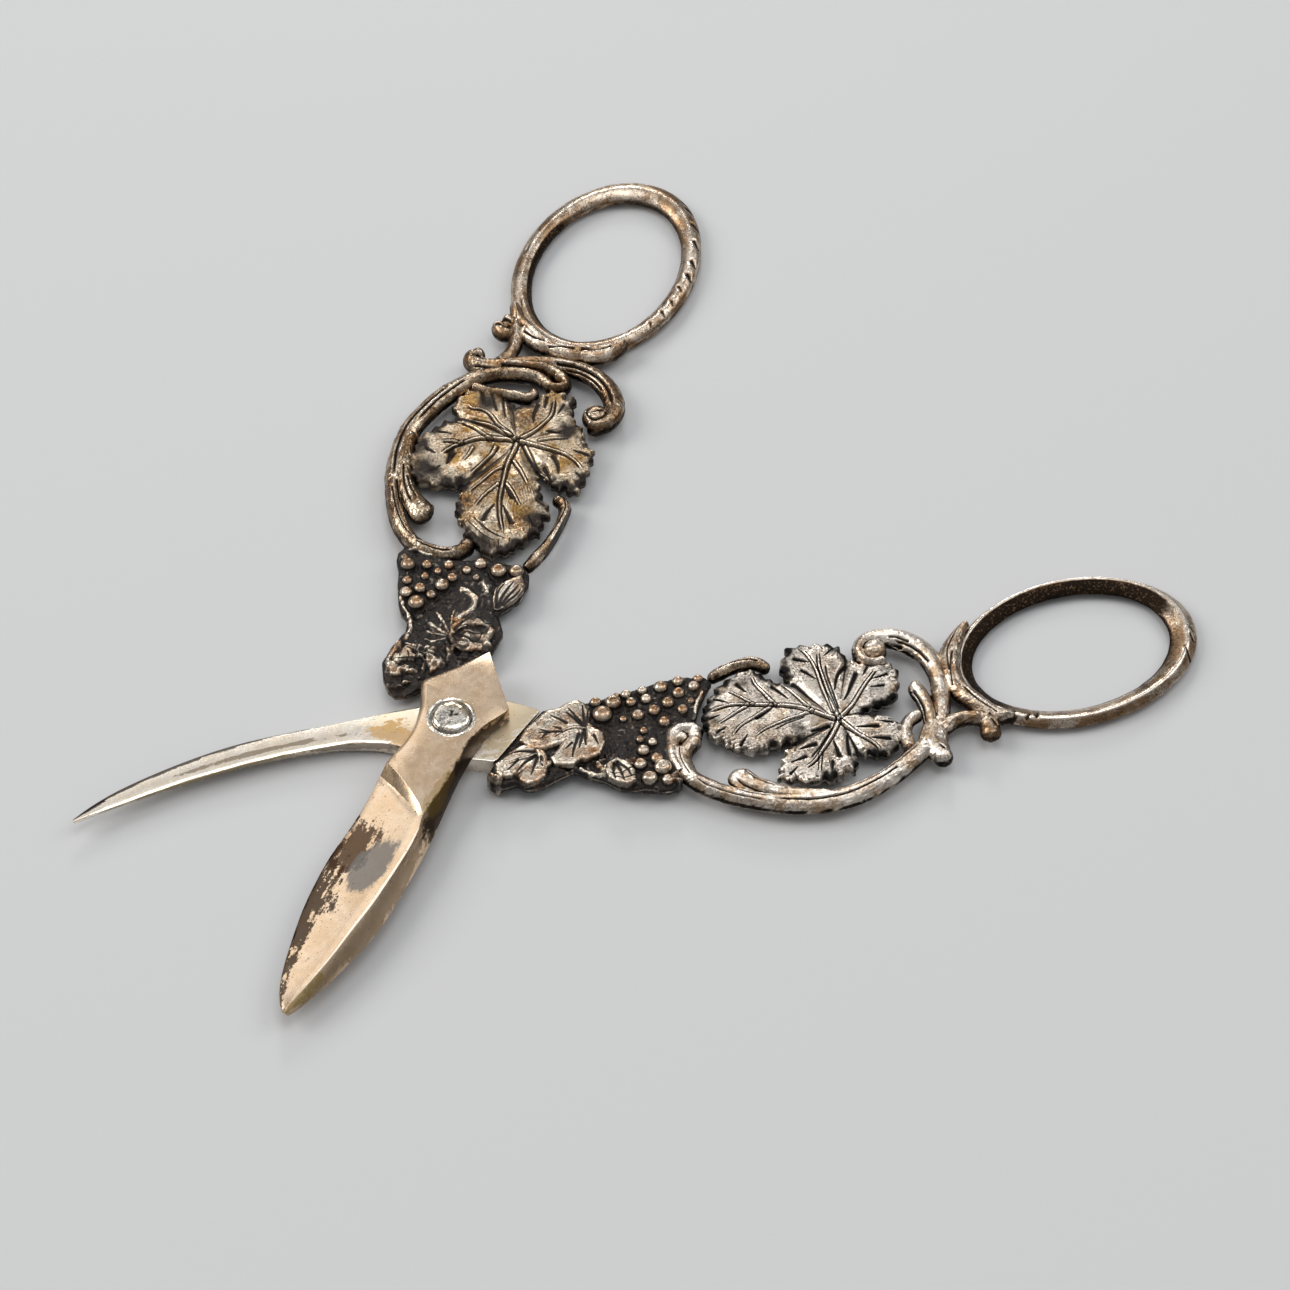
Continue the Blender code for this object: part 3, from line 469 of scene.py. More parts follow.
def cast(name: str, forms: list[bpy.types.Object], grain: float = 0.13,
         soften: int = 4) -> bpy.types.Object:
    """Fuse several closed forms to the one skin of a casting.

    Args:
        name: The name of the casting.
        forms: Its forms; they are used up.
        grain: The size of the faces of the new skin.
        soften: How often its corners are eased.

    Returns:
        The casting.
    """
    begin()
    for form in forms:
        form.select_set(True)
    bpy.context.view_layer.objects.active = forms[0]
    if len(forms) > 1:
        bpy.ops.object.join()
    obj = bpy.context.object
    obj.name = obj.data.name = name
    obj.data.remesh_voxel_size = grain
    obj.data.use_remesh_fix_poles = False
    bpy.ops.object.voxel_remesh()
    easing = obj.modifiers.new("easing", "SMOOTH")
    easing.factor = 0.5
    easing.iterations = soften
    bpy.ops.object.modifier_apply(modifier=easing.name)
    return obj


def chase(obj: bpy.types.Object, strokes: tuple, shift: tuple[float, float] = (0.0, 0.0)) -> None:
    """Cut strokes into the upper and the lower face of a casting.

    Args:
        obj: The casting, in its half's frame.
        strokes: The strokes, as chased() takes them.
        shift: How far the set is moved in plan.
    """
    points = points_of(obj.data)
    normals = normals_of(obj.data)
    rise, hollow = chased(points, strokes, shift)
    facing = rounded(np.abs(normals[:, 2]), 0.15, 0.6)
    points[:, 2] += rise * np.sign(normals[:, 2]) * facing
    place_points(obj.data, points)
    write_values(obj.data, "hollow", np.maximum(read_values(obj.data, "hollow"), hollow * facing))


def roughen(obj: bpy.types.Object, size: float, depth: float, seed: int) -> None:
    """Give a casting the uneven skin of worked metal."""
    points = points_of(obj.data)
    normals = normals_of(obj.data)
    skewed = points[:, :2] + points[:, 2:] * np.array([0.7, -0.6])
    wave = cloud(skewed, size, seed) + 0.5 * cloud(skewed, size / 2.3, seed + 1) - 0.75
    place_points(obj.data, points + normals * (wave * depth)[:, None])


def mark_recesses_and_wall_shade(obj: bpy.types.Object, passes: int = 14, reach: float = 0.12,
                  walls: float = 0.6) -> None:
    """Store how deep each vertex lies in a recess, where tarnish is never rubbed off, and darken the upright walls as
    painted shade.

    Args:
        obj: The finished piece, still in millimetres.
        passes: How far round a vertex its neighbours count.
        reach: The depth in millimetres that counts as a full recess.
        walls: How dark the upright walls are painted as shade, from 0 to 1.
    """
    mesh = obj.data
    count = len(mesh.vertices)
    pairs = np.empty(len(mesh.edges) * 2, dtype=np.int32)
    mesh.edges.foreach_get("vertices", pairs)
    a, b = pairs.reshape(-1, 2).T
    share = 1.0 / np.maximum(np.bincount(a, minlength=count) + np.bincount(b, minlength=count), 1)
    points = points_of(mesh)
    eased = points.copy()
    for _ in range(passes):
        total = np.empty_like(eased)
        for axis in range(3):
            column = eased[:, axis]
            total[:, axis] = np.bincount(a, column[b], count) + np.bincount(b, column[a], count)
        eased = 0.4 * eased + 0.6 * total * share[:, None]
    depth = ((eased - points) * normals_of(mesh)).sum(axis=1)
    write_values(mesh, "recess", np.clip(depth / reach, -1.0, 1.0))
    hollow = np.maximum(read_values(mesh, "hollow"), rounded(depth, 0.25 * reach, 1.1 * reach))
    # Painted shade: upright walls are darkened in patches, however shallow they lie.
    steep = 1 - rounded(np.abs(normals_of(mesh)[:, 2]), 0.1, 0.7)
    patchy = 0.45 + 0.8 * cloud(points[:, :2] + points[:, 2:] * 0.8, 1.3, 97)
    write_values(mesh, "hollow", np.maximum(hollow, np.clip(walls * steep * patchy, 0, 1)))


def stand(obj: bpy.types.Object, half: Half, turn: float, slot: str, *nodes: str) -> bpy.types.Object:
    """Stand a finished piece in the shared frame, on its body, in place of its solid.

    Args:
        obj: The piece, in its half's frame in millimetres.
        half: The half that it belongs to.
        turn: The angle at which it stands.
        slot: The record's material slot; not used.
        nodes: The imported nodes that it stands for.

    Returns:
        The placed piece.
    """
    obj.data.transform(half.standing(turn))
    if half.side < 0:
        obj.data.flip_normals()
    obj.data.update()
    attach(obj, half.body)
    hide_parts(*nodes)
    LOG.info("%s: %d faces", obj.name, len(obj.data.polygons))
    return obj


def dress(obj: bpy.types.Object, material: bpy.types.Material) -> None:
    """Give a piece one material and nothing else."""
    obj.data.materials.clear()
    obj.data.materials.append(material)


# Relief sheets: plates of ornament whose faces are chased from an outline and a height.


@dataclass
class ReliefSheet:
    """A plate with a chased face above and the same below, cut to an outline in plan."""

    name: str
    outline: np.ndarray
    pitch: float = 0.14
    rim: float = 0.45
    domes: tuple = ()
    teeth: float = 0.0
    tooth_pitch: float = 1.3
    points: np.ndarray = field(init=False)
    faces: np.ndarray = field(init=False)
    edge: np.ndarray = field(init=False)

    def __post_init__(self) -> None:
        """Net the outline with points: rim rows, rings round each dome, then an even fill."""
        border = self.border()
        closed = np.vstack((border, border[:1]))
        rows = [border]
        inward = sideways(border, closed=True)
        for depth in (0.06, 0.17):
            row = border + inward * depth
            rows.append(row[is_inside(row, border) & (nearest(row, border) > 0.8 * depth)])
        fill = self.fill(border)
        rows.append(fill)
        points = np.vstack(rows)
        count = len(border)
        edges = [(i, (i + 1) % count) for i in range(count)]
        found = delaunay_2d_cdt([Vector(p) for p in points.tolist()], edges, [], 1, 1e-6, False)
        self.points = np.array([tuple(v) for v in found[0]])
        faces = np.array([f for f in found[2] if len(f) == 3], dtype=np.int64)
        a, b, c = (self.points[faces[:, k]] for k in range(3))
        area = (b[:, 0] - a[:, 0]) * (c[:, 1] - a[:, 1]) - (b[:, 1] - a[:, 1]) * (c[:, 0] - a[:, 0])
        faces[area < 0] = faces[area < 0][:, ::-1]
        kept = (np.abs(area) > 1e-7) & is_inside((a + b + c) / 3, border)
        self.faces = faces[kept]
        marks = resampled(closed, self.pitch * 0.6, True)
        self.edge = nearest(self.points, marks)

    def border(self) -> np.ndarray:
        """Return the outline evenly spaced, its corners eased and its teeth drawn."""
        border = resampled(np.vstack((self.outline, self.outline[:1])), self.pitch, True)
        for _ in range(1):
            border = (np.roll(border, 1, axis=0) + 2 * border + np.roll(border, -1, axis=0)) / 4
        area = np.sum(border[:, 0] * np.roll(border[:, 1], -1) - np.roll(border[:, 0], -1) * border[:, 1])
        if area < 0:
            border = border[::-1]
        if self.teeth:
            arc = np.arange(len(border)) * self.pitch
            beat = np.mod(arc / self.tooth_pitch + 0.25 * np.sin(arc / 3.1), 1.0)
            saw = np.where(beat < 0.68, beat / 0.68, (1 - beat) / 0.32) - 0.62
            border = border - sideways(border, closed=True) * (self.teeth * saw)[:, None]
            border = resampled(np.vstack((border, border[:1])), self.pitch, True)
        for x, y, radius in self.domes:
            away = border - (x, y)
            far = np.hypot(away[:, 0], away[:, 1])
            near = (far < radius * 1.04) & (far > 1e-6)
            border[near] = (x, y) + away[near] / far[near, None] * radius * 1.04
        if self.domes:
            border = resampled(np.vstack((border, border[:1])), self.pitch, True)
        return past_closing(border)

    def fill(self, border: np.ndarray) -> np.ndarray:
        """Return the points inside the rim: rings for the domes and an even net between."""
        low, high = border.min(axis=0), border.max(axis=0)
        columns = np.arange(low[0], high[0], self.pitch)
        lines = np.arange(low[1], high[1], self.pitch * math.sqrt(3) / 2)
        x, y = np.meshgrid(columns, lines)
        x[1::2] += self.pitch / 2
        net = np.column_stack((x.ravel(), y.ravel()))
        net = net[is_inside(net, border)]
        rings = []
        for x_dome, y_dome, radius in self.domes:
            net = net[np.hypot(net[:, 0] - x_dome, net[:, 1] - y_dome) > radius * 1.12 + 0.04]
            for share in (0.0, 0.22, 0.42, 0.6, 0.75, 0.87, 0.96, 1.02, 1.1):
                steps = 1 if share == 0.0 else max(10, round(2 * math.pi * radius * share / self.pitch))
                turn = np.arange(steps) * 2 * math.pi / steps + share
                ring = np.column_stack((np.cos(turn), np.sin(turn))) * radius * share
                ring = ring + (x_dome, y_dome)
                for x_other, y_other, other in self.domes:
                    if (x_other, y_other) == (x_dome, y_dome):
                        break
                    ring = ring[np.hypot(ring[:, 0] - x_other, ring[:, 1] - y_other) > other * 1.13]
                rings.append(ring)
        fill = np.vstack([net] + rings)
        fill = fill[is_inside(fill, border)]
        return fill[nearest(fill, border) > 0.25]

    def solid(self, height: np.ndarray, below: np.ndarray | None = None) -> bpy.types.Object:
        """Return the closed plate whose upper face has these heights.

        Args:
            height: The height of each point above the table.
            below: The height of the lower face; without it the upper one is mirrored.

        Returns:
            The plate, in millimetres.
        """
        rounding = np.sqrt(1 - (1 - np.clip(self.edge / self.rim, 0, 1)) ** 2)
        under = 2 * MIDDLE - height if below is None else below
        centre = (height + under) / 2
        half = (height - under) / 2 * (0.5 + 0.5 * rounding)
        upper = centre + half
        lower = np.maximum(centre - half, FLOOR_CLEARANCE)
        count = len(self.points)
        sides = np.sort(np.vstack([self.faces[:, (i, (i + 1) % 3)] for i in range(3)]), axis=1)
        keyed = np.vstack([self.faces[:, (i, (i + 1) % 3)] for i in range(3)])
        _, first, uses = np.unique(sides, axis=0, return_index=True, return_counts=True)
        rim = keyed[first[uses == 1]]
        rim_points = np.unique(rim)
        belt = np.full(count, -1)
        belt[rim_points] = 2 * count + np.arange(len(rim_points))
        places = np.vstack((
            np.column_stack((self.points, upper)),
            np.column_stack((self.points, lower)),
            np.column_stack((self.points[rim_points], centre[rim_points])),
        ))
        a, b = rim.T
        walls = np.vstack((
            np.column_stack((b, a, belt[a])), np.column_stack((b, belt[a], belt[b])),
            np.column_stack((belt[b], belt[a], a + count)),
            np.column_stack((belt[b], a + count, b + count)),
        ))
        faces = np.vstack((self.faces, self.faces[:, ::-1] + count, walls))
        mesh = bpy.data.meshes.new(self.name)
        mesh.from_pydata(places, [], faces)
        mesh.validate()
        obj = bpy.data.objects.new(self.name, mesh)
        bpy.context.scene.collection.objects.link(obj)
        mesh.shade_smooth()
        return obj

    def spread(self, values: np.ndarray, obj: bpy.types.Object, name: str) -> None:
        """Store values of the sheet's points on both faces of its plate, and on its wall."""
        total = len(obj.data.vertices)
        whole = np.concatenate((values, values, np.zeros(max(0, total - 2 * len(values)))))
        write_values(obj.data, name, whole[:total])


def domed(points: np.ndarray, domes: tuple, rise_share: float = 0.88, seed: int = 5) -> tuple:
    """Work out berries on a ground.

    Args:
        points: The points in plan.
        domes: Each berry's x, y and radius.
        rise_share: How high a berry stands, as a share of its radius.
        seed: The number that picks which berries have a deep eye.

    Returns:
        The rise of each point, how hollow it is, and how much of a berry's top it is.
    """
    rise = np.zeros(len(points))
    hollow = np.zeros(len(points))
    crown = np.zeros(len(points))
    fate = np.random.default_rng(seed)
    for x, y, radius in domes:
        away = np.hypot(points[:, 0] - x, points[:, 1] - y) / radius
        eye = fate.uniform(0.0, 0.3)
        dome = np.sqrt(np.clip(1 - away**2.7, 0, 1)) * rise_share * radius
        dimple = np.exp(-((away / 0.3) ** 2)) * eye * radius * 0.7
        on = away < 1.0
        rise = np.where(on, np.maximum(rise, dome - dimple), rise)
        crown = np.where(on, np.maximum(crown, np.clip(1.5 * (1 - away**2), 0, 1)), crown)
        hollow = np.where(on, 0.4 * np.exp(-((away / 0.22) ** 2)) * (eye > 0.14), hollow)
    return rise, hollow, crown


# Finishes.


def linear(hex_colour: str) -> tuple[float, float, float, float]:
    """Turn an sRGB hex colour into the linear one that a shader takes."""
    channels = [int(hex_colour[i:i + 2], 16) / 255 for i in (1, 3, 5)]
    turned = [c / 12.92 if c <= 0.04045 else ((c + 0.055) / 1.055) ** 2.4 for c in channels]
    return (*turned, 1.0)


def put(tree: bpy.types.NodeTree, kind: str, settings: dict | None = None,
        links: dict | None = None) -> bpy.types.Node:
    """Add a node with its settings and links.

    Args:
        tree: The material's node tree.
        kind: The node's type.
        settings: Properties by name, and input values by socket name or number.
        links: The output that feeds each input, by the input's name or number.

    Returns:
        The node.
    """
    node = tree.nodes.new(kind)
    for key, value in (settings or {}).items():
        if isinstance(key, str) and hasattr(node, key):
            setattr(node, key, value)
        else:
            node.inputs[key].default_value = value
    for key, source in (links or {}).items():
        tree.links.new(source, node.inputs[key])
    return node


def ramp_between(tree: bpy.types.NodeTree, source: bpy.types.NodeSocket, low: float,
                 high: float) -> bpy.types.NodeSocket:
    """Return a smooth step of a value, 0 below low and 1 above high."""
    node = put(tree, "ShaderNodeMapRange",
               {"interpolation_type": "SMOOTHSTEP", "From Min": low, "From Max": high},
               {"Value": source})
    return node.outputs["Result"]


def mixed(tree: bpy.types.NodeTree, share: bpy.types.NodeSocket, low: object,
          high: object) -> bpy.types.NodeSocket:
    """Return a colour between two colours, each a socket or an sRGB hex."""
    settings, links = {"data_type": "RGBA"}, {0: share}
    for number, colour in ((6, low), (7, high)):
        if isinstance(colour, str):
            settings[number] = linear(colour)
        else:
            links[number] = colour
    return put(tree, "ShaderNodeMix", settings, links).outputs[2]


def sums(tree: bpy.types.NodeTree, operation: str, first: object, second: object,
         clamp: bool = False) -> bpy.types.NodeSocket:
    """Return one sum of two values, each a socket or a number."""
    settings, links = {"operation": operation, "use_clamp": clamp}, {}
    for number, value in enumerate((first, second)):
        if isinstance(value, (int, float)):
            settings[number] = float(value)
        else:
            links[number] = value
    return put(tree, "ShaderNodeMath", settings, links).outputs[0]


@dataclass(frozen=True)
class CastSilver:
    """Cast and chased silver, oxidised black in its recesses and rubbed bright on its heights, where a pale painted
    highlight is laid as well.

    The eye sees pale silver with a warm tan bloom, brown specks, and black in every cut; upright walls and leaf margins
    are darkened as painted shade.
    """

    name: str
    bright: str = "#d6cab8"
    bloom: str = "#a98c69"
    stain: str = "#6f4724"
    oxide: str = "#14110e"
    bloom_share: float = 0.5
    stain_share: float = 0.35
    oxide_low: float = 0.15
    oxide_high: float = 0.75
    roughness: float = 0.3
    speck_size: float = 0.5
    pitting: float = 0.35
    grime: float = 0.6
    grains: float = 0.1
    wear_and_highlight: str = "#f3e9dc"

    def material(self) -> bpy.types.Material:
        """Build the finish.

        Returns:
            Its material.
        """
        made = bpy.data.materials.new(self.name)
        made.use_nodes = True
        tree = made.node_tree
        shader = tree.nodes["Principled BSDF"]
        spot = put(tree, "ShaderNodeTexCoord").outputs["Object"]
        hollow = put(tree, "ShaderNodeAttribute", {"attribute_name": "hollow"}).outputs["Fac"]
        recess = put(tree, "ShaderNodeAttribute", {"attribute_name": "recess"}).outputs["Fac"]
        warmth = put(tree, "ShaderNodeAttribute", {"attribute_name": "warmth"}).outputs["Fac"]
        # Tarnish clouds about 4 mm across, and specks of about half a millimetre.
        clouds = put(tree, "ShaderNodeTexNoise",
                     {"Scale": 1 / (4 * MM), "Detail": 4.0, "Roughness": 0.65}, {"Vector": spot})
        specks = put(tree, "ShaderNodeTexNoise",
                     {"Scale": 1 / (self.speck_size * MM), "Detail": 3.0, "Roughness": 0.7},
                     {"Vector": spot})
        skin_grain = put(tree, "ShaderNodeTexNoise",
                         {"Scale": 1 / (0.22 * MM), "Detail": 2.0}, {"Vector": spot})
        blot = ramp_between(tree, clouds.outputs["Fac"], 0.62 - self.bloom_share * 0.4, 0.78 - self.bloom_share * 0.3)
        warm = sums(tree, "MAXIMUM", blot, warmth)
        colour = mixed(tree, warm, self.bright, self.bloom)
        speckled = sums(tree, "ADD", specks.outputs["Fac"], sums(tree, "MULTIPLY", warmth, 0.16))
        brown = ramp_between(tree, speckled, 0.7 - self.stain_share * 0.2, 0.86 - self.stain_share * 0.2)
        colour = mixed(tree, sums(tree, "MULTIPLY", brown, 0.8), colour, self.stain)
        # Fine grime of about 0.3 mm gathers in drifts 3 mm wide.
        crumbs, drifts = (
            put(tree, "ShaderNodeTexNoise", {"Scale": 1 / (size * MM), "Detail": 3.0, "Roughness": 0.6},
                {"Vector": spot}).outputs["Fac"]
            for size in (0.32, 2.6)
        )
        drift = sums(tree, "ADD", crumbs, sums(tree, "MULTIPLY", drifts, 0.55))
        drift = sums(tree, "ADD", drift, sums(tree, "MULTIPLY", warmth, 0.05))
        dusty = ramp_between(tree, drift, 0.79, 0.88)
        colour = mixed(tree, sums(tree, "MULTIPLY", dusty, self.grime), colour, self.oxide)
        # Heights are rubbed bright and painted paler still as a highlight; recesses hold the black oxide.
        crest = ramp_between(tree, sums(tree, "MULTIPLY", recess, -1.0), 0.3, 0.9)
        colour = mixed(tree, sums(tree, "MULTIPLY", crest, 0.75), colour, self.wear_and_highlight)
        # The hollow attribute holds the oxide of recesses and cuts, and also painted shade on upright walls, on leaf
        # rims and margins and between leaf lobes.
        oxide_and_shade = sums(tree, "ADD", hollow, sums(tree, "MULTIPLY", specks.outputs["Fac"], 0.25))
        dark = ramp_between(tree, sums(tree, "SUBTRACT", oxide_and_shade, 0.12), self.oxide_low, self.oxide_high)
        colour = mixed(tree, dark, colour, self.oxide)
        # Rubbed grains show through the oxide.
        grains = ramp_between(tree, sums(tree, "ADD", crumbs, sums(tree, "MULTIPLY", clouds.outputs["Fac"], 0.3)),
                              0.7, 0.78)
        colour = mixed(tree, sums(tree, "MULTIPLY", grains, self.grains), colour, self.bloom)
        tree.links.new(colour, shader.inputs["Base Color"])
        dull = sums(tree, "MULTIPLY", specks.outputs["Fac"], 0.2)
        dull = sums(tree, "ADD", dull, sums(tree, "MULTIPLY", dark, 0.22))
        rough = sums(tree, "SUBTRACT", dull, sums(tree, "MULTIPLY", crest, 0.08))
        rough = sums(tree, "ADD", rough, self.roughness - 0.1)
        tree.links.new(rough, shader.inputs["Roughness"])
        shader.inputs["Metallic"].default_value = 1.0
        lumps = sums(tree, "ADD", specks.outputs["Fac"], sums(tree, "MULTIPLY", skin_grain.outputs["Fac"], 0.5))
        bump = put(tree, "ShaderNodeBump", {"Strength": self.pitting, "Distance": 0.12 * MM},
                   {"Height": lumps})
        tree.links.new(bump.outputs["Normal"], shader.inputs["Normal"])
        return made


@dataclass(frozen=True)
class StainAndHighlight:
    """A ragged patch of tarnish on a blade, also used once for a painted highlight along the upper blade's ridge: where
    along it, where across it, and how far.
    """

    colour: str
    along: float
    across: float
    reach_along: float
    reach_across: float
    ragged: float = 2.4
    strength: float = 0.9
    dulling: float = 0.15


@dataclass(frozen=True)
class GroundSilver:
    """Ground and polished blade metal under years of tarnish.

    The eye sees flat champagne-tan faces, browned in ragged patches, with fine pits.
    """

    name: str
    turn: float
    stains_and_highlight: tuple[StainAndHighlight, ...]
    base: str = "#dabd9c"
    pale: str = "#e6cdb1"
    brown: str = "#4f3826"
    olive: str = "#a58a4c"

    def material(self) -> bpy.types.Material:
        """Build the finish in the blade's own frame.

        Returns:
            Its material.
        """
        made = bpy.data.materials.new(self.name)
        made.use_nodes = True
        tree = made.node_tree
        shader = tree.nodes["Principled BSDF"]
        spot = put(tree, "ShaderNodeTexCoord").outputs["Object"]
        turned = put(tree, "ShaderNodeMapping",
                     {"Rotation": (0.0, 0.0, -math.radians(self.turn)),
                      "Scale": (1 / MM, 1 / MM, 1 / MM)}, {"Vector": spot}).outputs[0]
        x = put(tree, "ShaderNodeSeparateXYZ", {}, {0: turned}).outputs[0]
        share = put(tree, "ShaderNodeAttribute", {"attribute_name": "across"}).outputs["Fac"]
        place = put(tree, "ShaderNodeCombineXYZ", {}, {0: x, 1: share}).outputs[0]
        # Tarnish clouds of 4.5 mm, blots of 1 mm, specks of 0.4 mm and pits of 0.35 mm.
        clouds, blots, specks, pits = (
            put(tree, "ShaderNodeTexNoise", {"Scale": 1 / size, "Detail": detail, "Roughness": 0.65},
                {"Vector": turned}).outputs["Fac"]
            for size, detail in ((4.5, 5.0), (1.1, 4.0), (0.4, 3.0), (0.35, 1.0))
        )
        colour = mixed(tree, ramp_between(tree, clouds, 0.35, 0.65), self.base, self.pale)
        colour = mixed(tree, sums(tree, "MULTIPLY", ramp_between(tree, blots, 0.6, 0.72), 0.25), colour, self.olive)
        drawn = put(tree, "ShaderNodeMapping", {"Scale": (0.25, 1.6, 1.0)}, {"Vector": turned}).outputs[0]
        streaks = put(tree, "ShaderNodeTexNoise", {"Scale": 1.0, "Detail": 4.0, "Roughness": 0.7},
                      {"Vector": drawn}).outputs["Fac"]
        ragged = sums(tree, "ADD", sums(tree, "MULTIPLY", clouds, 0.35), sums(tree, "MULTIPLY", blots, 0.2))
        ragged = sums(tree, "ADD", ragged, sums(tree, "MULTIPLY", specks, 0.15))
        ragged = sums(tree, "ADD", ragged, sums(tree, "MULTIPLY", streaks, 0.3))
        dull = sums(tree, "ADD", sums(tree, "MULTIPLY", blots, 0.2), 0.17)
        # Each patch is a stain of tarnish, apart from the pale one on the upper blade's ridge, which is a painted
        # highlight.
        for stain in self.stains_and_highlight:
            away = put(tree, "ShaderNodeMapping",
                       {"Location": (-stain.along / stain.reach_along, -stain.across / stain.reach_across, 0.0),
                        "Scale": (1 / stain.reach_along, 1 / stain.reach_across, 0.0)}, {"Vector": place})
            far = put(tree, "ShaderNodeVectorMath", {"operation": "LENGTH"}, {0: away.outputs[0]}).outputs["Value"]
            reach = sums(tree, "SUBTRACT", sums(tree, "MULTIPLY", ragged, stain.ragged), far)
            cover = ramp_between(tree, reach, stain.ragged * 0.5 - 1.0, stain.ragged * 0.5 - 0.8)
            colour = mixed(tree, sums(tree, "MULTIPLY", cover, stain.strength), colour, stain.colour)
            dull = sums(tree, "ADD", dull, sums(tree, "MULTIPLY", cover, stain.dulling))
        pit = ramp_between(tree, pits, 0.7, 0.76)
        colour = mixed(tree, sums(tree, "MULTIPLY", pit, 0.75), colour, self.brown)
        tree.links.new(colour, shader.inputs["Base Color"])
        tree.links.new(dull, shader.inputs["Roughness"])
        shader.inputs["Metallic"].default_value = 1.0
        # Hair scratches cross the face, and the pits sink in it.
        rubbed = put(tree, "ShaderNodeMapping", {"Rotation": (0.0, 0.0, 0.5), "Scale": (0.3, 5.0, 1.0)},
                     {"Vector": turned}).outputs[0]
        scratches = put(tree, "ShaderNodeTexNoise", {"Scale": 1.6, "Detail": 3.0}, {"Vector": rubbed}).outputs["Fac"]
        sunk = sums(tree, "SUBTRACT", sums(tree, "MULTIPLY", blots, 0.4), pit)
        sunk = sums(tree, "ADD", sunk, sums(tree, "MULTIPLY", scratches, 0.35))
        bump = put(tree, "ShaderNodeBump", {"Strength": 0.3, "Distance": 0.06 * MM}, {"Height": sunk})
        tree.links.new(bump.outputs["Normal"], shader.inputs["Normal"])
        return made


UPPER_STAINS_AND_HIGHLIGHT = (
    StainAndHighlight("#33251c", 40.0, 1.2, 19.5, 0.55, ragged=6.0, strength=0.9, dulling=0.15),
    StainAndHighlight("#4a3526", 25.5, 0.75, 5.5, 0.3, ragged=4.4, strength=0.9),
    StainAndHighlight("#16110d", 38.0, 1.12, 19.0, 0.16, ragged=3.0, strength=0.9),
    StainAndHighlight("#7f7a75", 28.5, 0.38, 5.8, 0.28, ragged=1.8, strength=0.9, dulling=0.25),
    StainAndHighlight("#6e5a40", 36.0, -0.04, 20.0, 0.06, ragged=6.0, strength=0.5),
    StainAndHighlight("#8a742f", 53.0, 0.0, 6.0, 0.07, ragged=6.0, strength=0.6),
    StainAndHighlight("#32241a", 8.0, -0.08, 15.0, 0.16, ragged=2.4, strength=0.95),
    StainAndHighlight("#7a6434", 13.0, 0.05, 5.0, 0.1, ragged=4.0, strength=0.6),
    # A painted highlight along the ridge line, pale and a little glossier.
    StainAndHighlight("#f6ecdc", 37.0, 0.05, 19.0, 0.022, ragged=0.6, strength=0.9, dulling=-0.06),
)
LOWER_STAINS = (
    StainAndHighlight("#2c2017", 46.0, -0.02, 27.0, 0.26, ragged=2.4, strength=0.9),
    StainAndHighlight("#1f1712", 55.0, 0.1, 4.5, 0.35, ragged=3.0, strength=0.9),
    StainAndHighlight("#b0801c", 8.0, 0.62, 3.6, 0.3, ragged=6.5, strength=0.7),
    StainAndHighlight("#c09a45", 7.0, 0.3, 4.5, 0.3, ragged=5.5, strength=0.3),
    StainAndHighlight("#5d4a30", 28.0, 0.62, 13.0, 0.12, ragged=5.0, strength=0.75),
    StainAndHighlight("#8f7a44", 36.0, 1.04, 18.0, 0.08, ragged=4.0, strength=0.7),
    StainAndHighlight("#5c4733", 14.0, 1.04, 8.0, 0.08, ragged=4.0, strength=0.6),
    StainAndHighlight("#a58c55", -8.0, 0.4, 6.0, 0.6, ragged=5.0, strength=0.6),
)


# Blades and rivet.


def finish_edges(obj: bpy.types.Object, width: float, segments: int = 2, angle: float = 22.0) -> None:
    """Bevel the sharp edges of a piece and shade it smooth between them."""
    only(obj)
    bevel = obj.modifiers.new("edge", "BEVEL")
    bevel.width = width
    bevel.segments = segments
    bevel.limit_method = "ANGLE"
    bevel.angle_limit = math.radians(angle)
    bevel.use_clamp_overlap = True
    bevel.harden_normals = False
    bpy.ops.object.modifier_apply(modifier=bevel.name)
    bpy.ops.object.shade_smooth_by_angle(angle=math.radians(32.0))


def denser(table: Rows, step: float) -> np.ndarray:
    """Return more stations of a table, on smooth lines through it."""
    return smooth_line(table, step)


